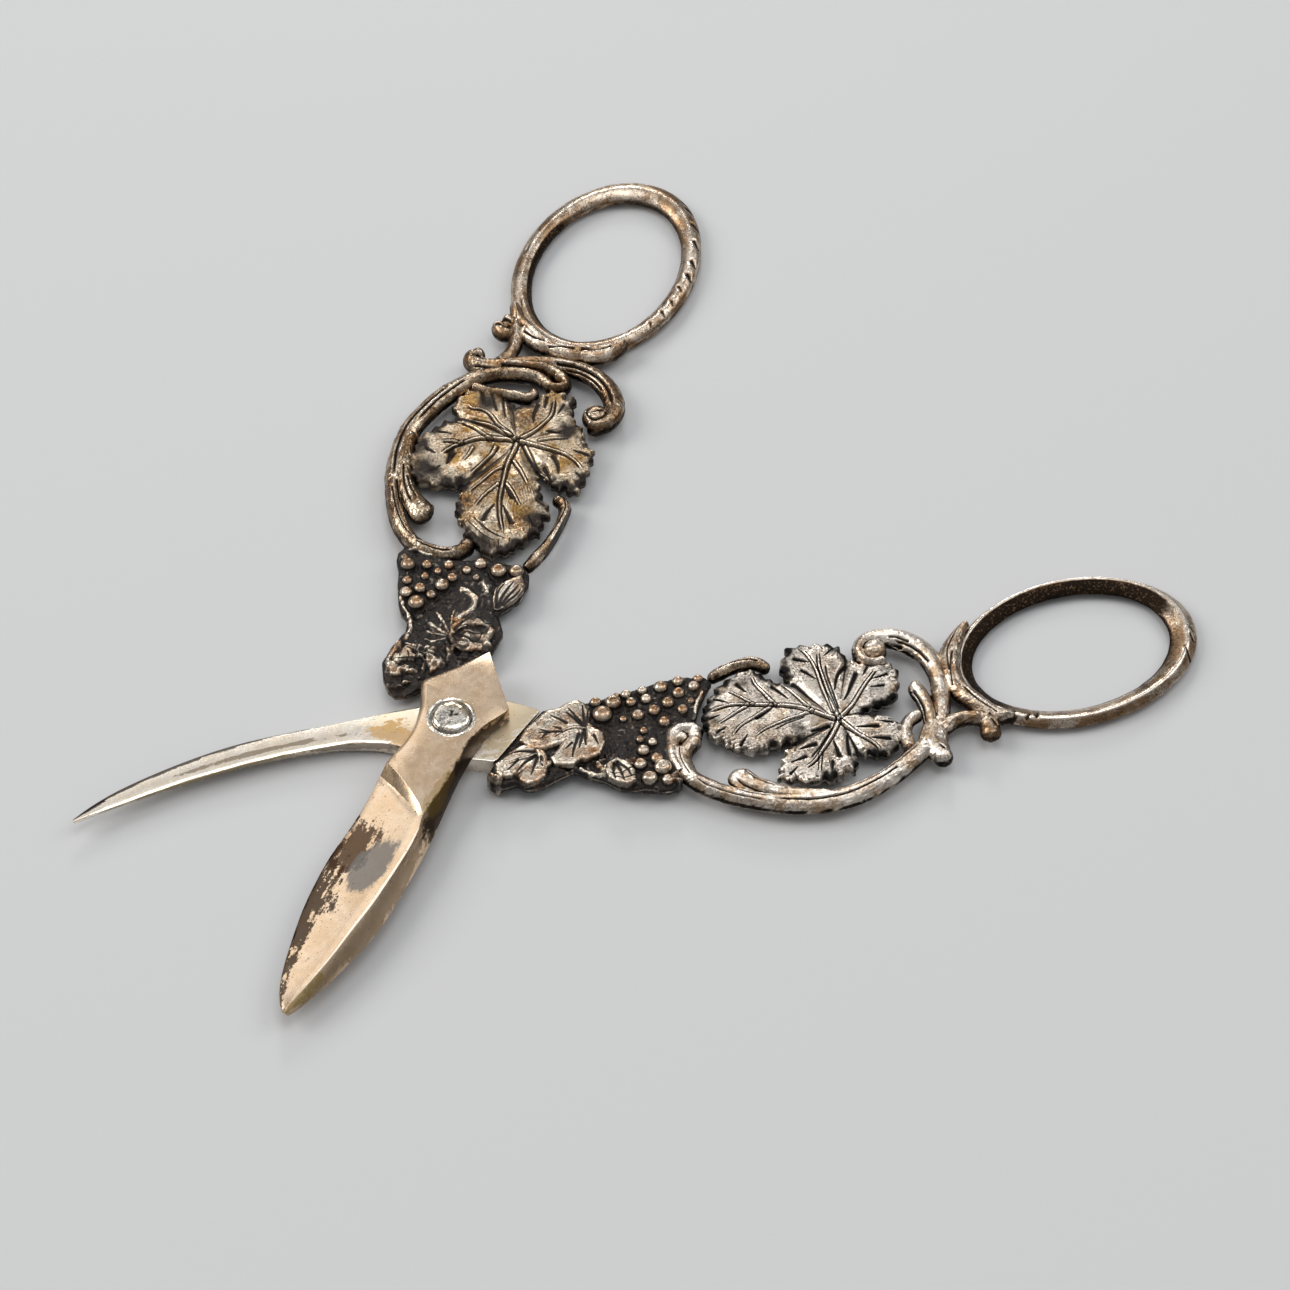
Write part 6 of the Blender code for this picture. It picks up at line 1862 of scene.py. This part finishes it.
@dataclass
class SmallLeaf:
    """A small leaf laid over the grapes: a low dome with cut veins."""

    half: Half
    node: str
    heart: tuple[float, float]
    outline: Rows
    strokes: tuple
    curl: float = 0.2
    lift: float = 1.25
    dome: float = 0.5
    crumple: float = 0.0
    seed: int = 81

    def build(self, material: bpy.types.Material) -> bpy.types.Object:
        """Net, chase and dress the leaf.

        Args:
            material: Its finish.

        Returns:
            The leaf.
        """
        name = f"{self.half.name}_{self.node}"
        sheet = ReliefSheet(f"{name}_chased", np.asarray(self.outline), pitch=0.11, rim=0.25, teeth=0.08,
                            tooth_pitch=0.9)
        points = sheet.points
        away = np.hypot(*(points - np.asarray(self.heart)).T)
        fall = np.clip(sheet.edge / 0.8, 0, 1)
        height = MIDDLE + self.lift + self.dome * np.sqrt(fall * (2 - fall))
        height -= 0.25 * np.exp(-((away / 1.4) ** 2))
        height += self.curl * (cloud(points, 2.2, self.seed) - 0.4) + 0.06 * (cloud(points, 0.5, self.seed + 1) - 0.5)
        rise, hollow = chased(points, self.strokes, (0.0, 0.0))
        height += 0.75 * rise
        folds = rounded(cloud(points, 1.1, self.seed + 3), 0.25, 0.7)
        height += self.crumple * 0.8 * (folds - 0.6)
        hollow = np.maximum(hollow, self.crumple * (0.98 - 0.9 * folds))
        leaf = sheet.solid(np.minimum(height, 4.78), np.full(len(points), MIDDLE + 0.6))
        # A narrow band of painted shade along the cut edge.
        rim = 1 - rounded(sheet.edge, 0.05, 0.35)
        sheet.spread(np.maximum(hollow, 0.5 * rim), leaf, "hollow")
        sheet.spread(0.5 * rounded(cloud(points, 1.6, self.seed + 2), 0.4, 0.7), leaf, "warmth")
        mark_recesses_and_wall_shade(leaf, 4, 0.09)
        dress(leaf, material)
        return stand(leaf, self.half, self.half.handle_turn, "panel_silver", name)


HOOKED_PANEL = GrapePanel(
    HOOKED,
    (
        (-4.6, 8.0), (-3.7, 9.6), (-4.2, 11.3), (-6.0, 11.6), (-8.0, 11.2), (-9.0, 12.4), (-11.0, 12.6),
        (-14.0, 11.2), (-16.5, 10.3), (-18.0, 11.4), (-20.6, 12.8), (-22.6, 14.6), (-24.6, 15.1), (-26.6, 14.9),
        (-28.4, 16.0), (-30.0, 16.0), (-31.6, 15.0), (-31.3, 12.0), (-30.9, 9.0), (-31.4, 6.0), (-33.6, 4.8),
        (-35.4, 3.6), (-36.2, 1.6), (-37.6, -1.0), (-38.8, -2.6), (-38.0, -3.7), (-36.5, -4.1), (-34.0, -4.2),
        (-30.0, -3.7), (-25.0, -2.6), (-22.0, -2.0), (-20.0, -1.8), (-17.5, -1.5), (-13.7, -1.5),
    ),
    (
        (-29.5, 14.6, 1.0), (-26.9, 13.9, 1.25), (-29.1, 12.3, 1.4), (-26.0, 11.1, 1.05), (-28.5, 10.4, 0.95),
        (-26.8, 8.7, 1.0), (-28.4, 7.3, 0.75), (-26.7, 6.5, 0.65), (-27.5, 5.0, 0.65), (-30.7, 3.9, 0.95),
        (-33.7, 2.1, 0.9), (-31.8, 0.5, 1.0), (-29.6, 1.6, 1.0), (-27.1, 2.1, 1.0), (-24.9, 2.4, 0.6),
        (-22.0, 1.3, 1.55), (-33.6, -1.0, 1.0), (-36.0, -1.9, 0.95), (-33.9, -3.2, 0.95), (-31.2, -2.5, 1.1),
        (-28.8, -0.7, 0.9), (-26.5, -0.5, 0.85), (-23.9, -0.8, 1.3), (-28.5, -2.4, 0.8), (-26.0, -2.1, 0.85),
        (-23.6, -2.4, 0.5), (-36.9, -3.3, 0.8), (-21.4, -1.3, 0.95), (-35.2, 0.6, 0.55), (-24.6, -2.3, 0.5),
    ),
    (
        (Cut.RIB, 0.9, ((-20.9, 11.9), (-19.6, 11.8), (-18.2, 10.8), (-16.9, 10.0))),
        (Cut.RIB, 0.8, ((-21.2, 10.6), (-20.6, 11.3), (-20.2, 10.4))),
        (Cut.RIB, 1.0, ((-35.6, 2.6), (-36.4, 0.4), (-37.6, -1.2))), (Cut.RIB, 0.8, ((-37.3, 0.4), (-38.2, -1.6))),
        (Cut.RIB, 0.8, ((-32.0, 14.6), (-31.2, 12.6), (-31.1, 10.2))),
        (Cut.RIB, 1.1, ((-4.4, 9.8), (-5.2, 10.9), (-4.7, 11.3))),
    ),
    ((-31.0, 14.4, 1.3), (-20.8, 10.4, 1.6), (-24.8, 10.2, 1.2), (-4.6, 10.2, 1.9), (-12.6, 8.6, 1.2)),
    (-22.6, 7.2, 3.2, 0.55), seed=71,
)

BROAD_PANEL = GrapePanel(
    BROAD,
    (
        (-4.6, 8.2), (-4.1, 9.7), (-5.2, 11.0), (-7.0, 12.2), (-9.6, 13.1), (-13.4, 12.4), (-16.4, 11.4), (-18.3, 11.6),
        (-19.5, 12.9), (-21.6, 13.9), (-24.5, 14.8), (-27.4, 15.4), (-29.0, 16.2), (-30.4, 16.3), (-32.0, 15.4),
        (-31.5, 12.2), (-31.0, 9.0), (-31.6, 6.4), (-32.2, 4.2), (-32.4, 1.2), (-32.2, -2.6), (-31.0, -3.6), (-29.0, -4.0),
        (-26.0, -3.4), (-23.8, -1.8), (-22.6, -1.0), (-21.4, -1.7), (-19.6, -2.6), (-17.4, -2.4), (-14.7, -1.8),
    ),
    (
        (-29.5, 15.1, 0.6), (-28.2, 14.2, 1.15), (-25.3, 13.5, 0.8), (-23.0, 13.1, 1.0),
        (-28.9, 11.5, 0.85), (-26.7, 11.2, 0.7), (-24.3, 11.3, 0.95), (-21.4, 11.1, 1.3),
        (-28.1, 9.6, 0.6), (-23.5, 9.4, 0.8), (-29.6, 8.3, 0.85), (-25.6, 8.3, 1.15),
        (-27.4, 7.2, 0.85), (-29.3, 5.5, 0.75), (-30.9, 3.8, 1.05), (-28.3, 3.8, 0.6),
        (-30.2, 0.9, 1.3), (-30.8, -1.7, 1.2),
    ),
    (
        (Cut.RIB, 1.2, ((-26.0, 5.3), (-25.6, 4.2), (-24.4, 3.0), (-22.6, 3.0), (-21.2, 4.2), (-19.4, 4.9))),
        (Cut.RIB, 0.9, ((-27.8, 2.6), (-26.8, 1.9), (-25.8, 1.5))),
        (Cut.RIB, 0.6, ((-17.8, 5.2), (-19.4, 6.4), (-21.4, 8.2))), (Cut.RIB, 0.5, ((-17.4, 5.4), (-18.4, 7.2), (-19.2, 8.6))),
        (Cut.RIB, 0.5, ((-16.8, 5.4), (-17.0, 7.2), (-17.3, 8.8))), (Cut.RIB, 0.5, ((-16.2, 5.3), (-15.6, 7.2), (-15.4, 8.6))),
        (Cut.RIB, 0.6, ((-18.2, 4.9), (-20.6, 5.4), (-22.6, 5.3))),
        (Cut.RIB, 0.9, ((-19.4, 11.6), (-18.4, 11.2), (-16.8, 10.8), (-14.2, 11.0))),
        (Cut.RIB, 0.8, ((-22.2, 13.7), (-20.4, 12.6), (-19.4, 11.4))),
        (Cut.RIB, 1.0, ((-31.6, 14.6), (-31.2, 12.4), (-31.4, 9.8))),
        (Cut.RIB, 0.8, ((-13.9, 10.4), (-13.5, 8.6), (-14.6, 7.0))), (Cut.RIB, 0.9, ((-13.2, 11.8), (-10.2, 12.3), (-8.0, 11.6))),
    ),
    ((-31.0, 14.8, 1.7), (-10.0, 9.2, 3.4), (-7.2, 10.4, 2.6), (-12.4, 5.4, 2.8), (-13.6, 10.6, 1.8), (-14.6, 2.4, 2.2),
     (-26.4, 13.2, 0.9)),
    (-19.6, 8.6, 3.6, 0.7), seed=73,
)

SMALL_LEAVES = (
    SmallLeaf(HOOKED, "small_leaf_1", (-19.0, 3.6), (
        (-20.6, 3.4), (-21.7, 4.6), (-21.7, 6.6), (-20.6, 8.6), (-18.6, 9.4), (-17.6, 9.2), (-16.3, 10.1), (-14.6, 9.8),
        (-13.6, 9.4), (-13.2, 8.0), (-14.6, 6.5), (-14.9, 5.9), (-12.7, 6.5), (-11.2, 6.2), (-10.1, 5.2), (-9.2, 4.2),
        (-10.4, 2.2), (-12.8, 0.2), (-14.2, -0.9), (-15.6, -0.8), (-17.0, -1.6), (-18.8, -2.0), (-19.8, -1.2),
        (-20.4, 0.6), (-19.9, 2.2),
    ), (
        (Cut.WEDGE, 1.1, ((-19.0, 3.6), (-18.7, 7.1))), (Cut.WEDGE, 1.1, ((-18.7, 4.2), (-17.6, 7.4))),
        (Cut.WEDGE, 1.2, ((-18.1, 4.4), (-16.8, 7.4), (-16.4, 9.0))), (Cut.WEDGE, 0.9, ((-16.8, 6.0), (-15.5, 7.2))),
        (Cut.VEIN, 0.9, ((-19.0, 3.3), (-17.4, 3.2), (-15.6, 3.8), (-14.0, 4.7))),
        (Cut.WEDGE, 1.0, ((-15.6, 3.7), (-13.5, 3.5), (-11.8, 3.4))), (Cut.WEDGE, 0.8, ((-13.8, 3.5), (-12.3, 2.6))),
        (Cut.WEDGE, 0.8, ((-13.3, 3.8), (-12.2, 4.7))), (Cut.WEDGE, 0.8, ((-15.6, 3.2), (-14.3, 2.5))),
        (Cut.WEDGE, 1.1, ((-18.8, 2.7), (-17.6, 1.2), (-16.6, 0.1))), (Cut.WEDGE, 1.0, ((-16.6, 2.2), (-14.3, 0.3))),
        (Cut.WEDGE, 1.2, ((-19.2, 2.8), (-19.4, -0.9))), (Cut.WEDGE, 1.0, ((-18.7, 2.4), (-17.2, -0.6))),
        (Cut.WEDGE, 0.9, ((-19.6, 2.2), (-20.1, 0.2))), (Cut.WEDGE, 0.9, ((-20.2, 5.0), (-20.6, 7.2))),
        (Cut.CREASE, 0.5, ((-14.4, 6.4), (-16.2, 5.2))),
    ), seed=81),
    SmallLeaf(HOOKED, "small_leaf_2", (-11.4, 6.9), (
        (-13.0, 7.2), (-12.8, 9.4), (-12.2, 11.4), (-10.8, 12.3), (-9.2, 12.5), (-8.3, 11.6), (-8.0, 10.3), (-7.2, 10.7),
        (-5.6, 10.5), (-5.0, 9.4), (-5.1, 7.8), (-6.0, 7.2), (-7.4, 6.2), (-9.6, 5.0), (-11.2, 5.2), (-12.4, 6.0),
    ), (
        (Cut.VEIN, 0.9, ((-11.3, 6.9), (-10.0, 7.5), (-6.8, 8.3))), (Cut.WEDGE, 1.0, ((-11.3, 6.5), (-8.8, 6.4), (-6.9, 6.7))),
        (Cut.WEDGE, 1.2, ((-11.3, 7.2), (-9.4, 8.6), (-7.9, 10.2))), (Cut.WEDGE, 1.0, ((-11.5, 7.5), (-10.6, 9.6), (-9.9, 11.2))),
        (Cut.WEDGE, 0.9, ((-12.0, 7.6), (-11.9, 9.8))), (Cut.CREASE, 0.5, ((-8.2, 10.4), (-9.6, 9.4))),
        (Cut.WEDGE, 0.8, ((-8.6, 7.9), (-6.6, 9.6))),
    ), seed=84),
    SmallLeaf(HOOKED, "edge_leaf", (-22.8, 11.0), (
        (-24.4, 10.4), (-25.1, 12.2), (-25.0, 14.2), (-23.6, 14.9), (-22.3, 14.4), (-21.0, 13.2), (-20.6, 11.6),
        (-21.2, 10.2), (-22.8, 9.4),
    ), (
        (Cut.WEDGE, 1.1, ((-22.8, 10.4), (-24.0, 12.0), (-24.4, 13.8))), (Cut.WEDGE, 1.1, ((-22.6, 10.6), (-23.0, 12.4), (-23.2, 14.4))),
        (Cut.WEDGE, 1.1, ((-22.3, 10.6), (-21.9, 12.2), (-22.0, 13.8))), (Cut.LINE, 1.0, ((-24.8, 11.6), (-22.8, 12.6), (-21.0, 12.2))),
        (Cut.LINE, 1.0, ((-24.9, 13.2), (-23.2, 13.6), (-21.6, 13.0))),
    ), lift=1.3, seed=87),
    SmallLeaf(BROAD, "small_leaf_1", (-17.6, 4.2), (
        (-19.6, 4.6), (-20.6, 3.4), (-22.3, 2.9), (-22.6, 1.6), (-21.0, 1.2), (-20.2, 0.4), (-20.4, -1.0), (-18.8, -1.6),
        (-17.2, -1.2), (-16.2, -1.8), (-15.0, -1.4), (-14.9, 0.2), (-14.2, 1.2), (-14.4, 2.8), (-15.4, 4.2),
        (-16.6, 5.0), (-18.2, 5.3),
    ), (
        (Cut.WEDGE, 1.0, ((-17.7, 3.9), (-18.6, 2.2), (-19.6, -0.4))), (Cut.WEDGE, 1.0, ((-17.4, 3.8), (-17.6, 1.6), (-18.0, -0.8))),
        (Cut.WEDGE, 1.0, ((-17.1, 3.9), (-16.4, 2.0), (-16.1, -0.8))), (Cut.WEDGE, 1.1, ((-18.0, 4.2), (-19.8, 3.2), (-21.8, 2.2))),
        (Cut.WEDGE, 0.9, ((-16.8, 4.2), (-15.4, 2.6), (-15.0, 1.0))), (Cut.LINE, 1.0, ((-18.6, 3.6), (-18.9, 2.2), (-18.0, 1.2))),
        (Cut.LINE, 0.9, ((-16.0, 1.0), (-17.0, 0.2), (-18.8, 0.2))),
    ), curl=0.5, lift=1.0, crumple=0.7, seed=90),
    SmallLeaf(BROAD, "small_leaf_2", (-11.0, 7.2), (
        (-13.4, 6.6), (-14.0, 8.8), (-13.0, 10.9), (-11.4, 11.7), (-9.6, 11.9), (-7.4, 11.0), (-5.8, 9.8), (-6.6, 8.4),
        (-8.2, 6.6), (-9.8, 5.0), (-11.4, 4.4), (-12.8, 5.0),
    ), (
        (Cut.WEDGE, 1.2, ((-11.4, 6.4), (-12.4, 8.2), (-12.6, 10.4))), (Cut.WEDGE, 1.2, ((-11.0, 6.6), (-10.8, 8.8), (-10.4, 11.2))),
        (Cut.WEDGE, 1.2, ((-10.6, 6.6), (-9.2, 8.4), (-7.6, 10.2))), (Cut.LINE, 1.1, ((-12.9, 7.2), (-11.6, 8.4), (-9.9, 8.0), (-8.6, 9.4))),
        (Cut.LINE, 1.0, ((-12.0, 9.8), (-10.6, 9.4), (-9.0, 10.8))), (Cut.CREASE, 0.5, ((-13.6, 8.8), (-11.8, 8.8))),
    ), curl=0.5, lift=0.9, crumple=0.95, seed=93),
    SmallLeaf(BROAD, "edge_leaf", (-23.4, -0.5), (
        (-23.0, -0.3), (-23.6, -1.6), (-25.2, -2.9), (-27.2, -3.7), (-28.6, -3.5), (-30.2, -2.7), (-29.4, -1.6), (-28.4, -0.6),
        (-26.6, 0.5), (-24.8, 0.4),
    ), (
        (Cut.WEDGE, 1.0, ((-23.5, -0.5), (-26.0, -0.2), (-28.0, -0.8))), (Cut.WEDGE, 1.1, ((-23.6, -0.7), (-26.2, -1.2), (-28.8, -2.0))),
        (Cut.WEDGE, 1.1, ((-23.7, -1.0), (-26.0, -2.0), (-28.4, -2.9))), (Cut.WEDGE, 1.0, ((-24.0, -1.5), (-26.0, -2.8), (-27.6, -3.3))),
        (Cut.LINE, 0.9, ((-24.2, -0.1), (-26.2, 0.1), (-27.2, 0.0))),
    ), lift=1.3, seed=96),
)


# The studio.


@dataclass
class Studio:
    """A sheet of glossy pale card, soft light from above and behind, and the camera."""

    target: tuple[float, float, float] = (-0.03323, 0.00475, 0.0)
    azimuth: float = 138.8
    elevation: float = 50.9
    distance: float = 1.17647
    lens: float = 223.26
    card: str = "#c6c6c6"
    card_size: float = 6.0

    def floor(self) -> None:
        """Lay the card flat under the shears."""
        begin()
        bpy.ops.mesh.primitive_grid_add(x_subdivisions=40, y_subdivisions=40, size=self.card_size)
        card = bpy.context.object
        card.name = card.data.name = "pale_card"
        made = bpy.data.materials.new("coated_card")
        made.use_nodes = True
        shader = made.node_tree.nodes["Principled BSDF"]
        shader.inputs["Base Color"].default_value = linear(self.card)
        shader.inputs["Roughness"].default_value = 0.28
        shader.inputs["Specular IOR Level"].default_value = 0.4
        dress(card, made)

    def lamps(self) -> None:
        """Hang one broad soft light behind, one fill in front, and a pale room round them."""
        for name, spot, size, watts, warmth in (
            ("soft_box_left", (1.1, -1.5, 1.5), 1.3, 27.0, (1.0, 0.985, 0.96)),
            ("soft_box_above", (-0.2, 0.1, 2.2), 1.2, 10.0, (1.0, 1.0, 1.0)),
            ("low_box_behind", (-1.05, -1.25, 0.8), 0.4, 6.0, (1.0, 1.0, 1.0)),
            ("soft_box_blade", (-0.4, -1.7, 1.3), 0.8, 2.1, (1.0, 0.99, 0.97)),
            ("soft_box_right", (-1.6, 0.6, 1.4), 1.1, 9.0, (0.98, 0.99, 1.0)),
        ):
            light = bpy.data.lights.new(name, "AREA")
            light.shape = "SQUARE"
            light.size = size
            light.energy = watts
            light.color = warmth
            lamp = bpy.data.objects.new(name, light)
            bpy.context.scene.collection.objects.link(lamp)
            lamp.location = spot
            lamp.rotation_euler = (Vector(self.target) - Vector(spot)).to_track_quat("-Z", "Y").to_euler()
        world = bpy.data.worlds.new("pale_room")
        bpy.context.scene.world = world
        world.use_nodes = True
        tree = world.node_tree
        room = tree.nodes["Background"]
        spot = put(tree, "ShaderNodeTexCoord").outputs["Generated"]
        height = put(tree, "ShaderNodeSeparateXYZ", {}, {0: spot}).outputs[2]
        shade = mixed(tree, ramp_between(tree, height, 0.0, 0.9), "#5d5c5a", "#dddfe2")
        tree.links.new(shade, room.inputs["Color"])
        room.inputs["Strength"].default_value = 0.75

    def camera(self) -> None:
        """Stand the camera where the photograph's stood."""
        turn, tilt = math.radians(self.azimuth), math.radians(self.elevation)
        back = Vector((math.sin(turn) * math.cos(tilt), -math.cos(turn) * math.cos(tilt), math.sin(tilt)))
        lens = bpy.data.cameras.new("camera")
        lens.lens = self.lens
        lens.sensor_width = 36.0
        lens.clip_end = 20.0
        holder = bpy.data.objects.new("camera", lens)
        bpy.context.scene.collection.objects.link(holder)
        holder.location = Vector(self.target) + back * self.distance
        holder.rotation_euler = back.to_track_quat("Z", "Y").to_euler()
        bpy.context.scene.camera = holder

    def build(self) -> None:
        """Set up the card, the lamps, the room and the camera."""
        self.floor()
        self.lamps()
        self.camera()
        bpy.context.scene.view_settings.view_transform = "Standard"


BOWS = {
    HOOKED.name: {
        "ticks": (
            (Cut.WEDGE, 0.8, ((-109.0, 4.0), (-108.4, 1.2))), (Cut.WEDGE, 0.8, ((-110.0, 0.4), (-109.6, -1.6))),
            (Cut.WEDGE, 0.7, ((-110.4, -1.4), (-109.6, -2.4))), (Cut.WEDGE, 1.0, ((-84.5, 11.0), (-85.0, 9.8))),
            (Cut.WEDGE, 1.0, ((-83.1, 10.9), (-83.9, 10.0))), (Cut.WEDGE, 0.9, ((-80.9, 10.1), (-81.7, 9.3))),
        ),
        "ridge_at": 0.35, "ridge": 0.75,
        "gloom": ((-195.0, 60.0, 0.15, 1.15), (60.0, 215.0, -0.75, 0.9)),
    },
    BROAD.name: {
        "ticks": (
            (Cut.WEDGE, 0.9, ((-109.4, -7.35), (-108.6, -9.15))), (Cut.WEDGE, 1.0, ((-108.2, -8.35), (-107.0, -10.05))),
            (Cut.WEDGE, 1.0, ((-105.1, -10.05), (-103.8, -11.65))), (Cut.WEDGE, 1.0, ((-101.7, -11.15), (-99.9, -12.35))),
            (Cut.WEDGE, 1.1, ((-97.6, -11.75), (-96.3, -12.75))), (Cut.WEDGE, 1.1, ((-94.8, -11.75), (-93.5, -12.85))),
            (Cut.WEDGE, 0.9, ((-92.1, -11.05), (-91.1, -11.85))), (Cut.WEDGE, 0.8, ((-88.9, -10.75), (-88.0, -11.35))),
            (Cut.WEDGE, 0.9, ((-86.5, -9.85), (-85.6, -10.65))), (Cut.WEDGE, 0.7, ((-83.9, -8.75), (-82.6, -9.05))),
            (Cut.LINE, 0.7, ((-95.0, 13.0), (-93.4, 13.2), (-92.8, 13.5))), (Cut.LINE, 0.7, ((-84.6, 11.8), (-82.0, 10.9))),
        ),
        "ridge_at": 0.0, "ridge": 0.2,
        "gloom": ((-60.0, 130.0, -0.5, 1.2), (130.0, 300.0, -0.8, 0.7)),
    },
}


def main() -> None:
    """Build the shears piece by piece and set up the studio."""
    logging.basicConfig(level=logging.INFO, format="%(name)s: %(message)s")
    LOG.info("blades and rivet")
    upper = GroundSilver("ground_silver_upper_blade", BROAD.blade_turn, UPPER_STAINS_AND_HIGHLIGHT)
    # The lower blade's base and pale tones are lighter than the upper's, in part a painted reflection of the bright
    # light its face catches.
    lower = GroundSilver("ground_silver_lower_blade", HOOKED.blade_turn, LOWER_STAINS, base="#f6e7d2",
                         pale="#fdf2e3")
    BroadBlade().build(upper.material())
    HookedBlade().build(lower.material())
    Rivet().build(CastSilver("turned_silver_rivet", bright="#efe8dc", bloom="#cbb898", bloom_share=0.45,
                             stain_share=0.35, oxide="#3a342d", roughness=0.2, pitting=0.2,
                             wear_and_highlight="#e6ddcf").material())
    pale_scroll = CastSilver("cast_silver_pale_scroll", bright="#eee3d6", bloom="#bfa487", stain_share=0.4,
                             pitting=0.5, grime=0.45).material()
    brown_scroll = CastSilver("cast_silver_brown_scroll", bright="#cfbda6", bloom="#8c7054", stain="#54361d",
                              bloom_share=0.65, stain_share=0.75, roughness=0.24, pitting=0.5).material()
    bow_silver = CastSilver("cast_silver_bow", bright="#d6c6b3", bloom="#977a5d", bloom_share=0.6,
                            stain_share=0.55, oxide="#241c16", grains=0.3).material()
    panel_silver = CastSilver("cast_silver_grapes", bright="#d9cdbb", bloom="#a5764a", bloom_share=0.35,
                              oxide="#333130", roughness=0.31, wear_and_highlight="#d6c6b2").material()
    pale_leaf = CastSilver("chased_silver_pale_leaf", bright="#ddd3c7", bloom="#b49f87", bloom_share=0.4,
                           stain_share=0.35, oxide="#1f1d1c", pitting=0.5, grime=0.6, grains=0.0).material()
    gold_leaf = CastSilver("chased_silver_gold_leaf", bright="#d2c2ab", bloom="#a6834f", bloom_share=0.5,
                           stain="#7f4b22", stain_share=0.75, oxide="#39332f", pitting=0.5,
                           grime=0.6, grains=0.0, wear_and_highlight="#dccbb3").material()
    for half, leaf, leaf_silver, panel in (
        (HOOKED, HOOKED_LEAF, pale_leaf, HOOKED_PANEL), (BROAD, BROAD_LEAF, gold_leaf, BROAD_PANEL),
    ):
        LOG.info("%s handle", half.name)
        bow = FingerBow(half, **BOWS[half.name])
        bow.build(bow_silver)
        collar(half, bow).build(bow_silver)
        for piece in scrolls(half):
            pale = half is HOOKED and piece.node != "stem"
            piece.build(pale_scroll if pale else brown_scroll)
        leaf.build(leaf_silver)
        panel.build(panel_silver)
    LOG.info("small leaves")
    for small_leaf in SMALL_LEAVES:
        small_leaf.build(panel_silver)
    Studio().build()


if __name__ == "__main__":
    main()
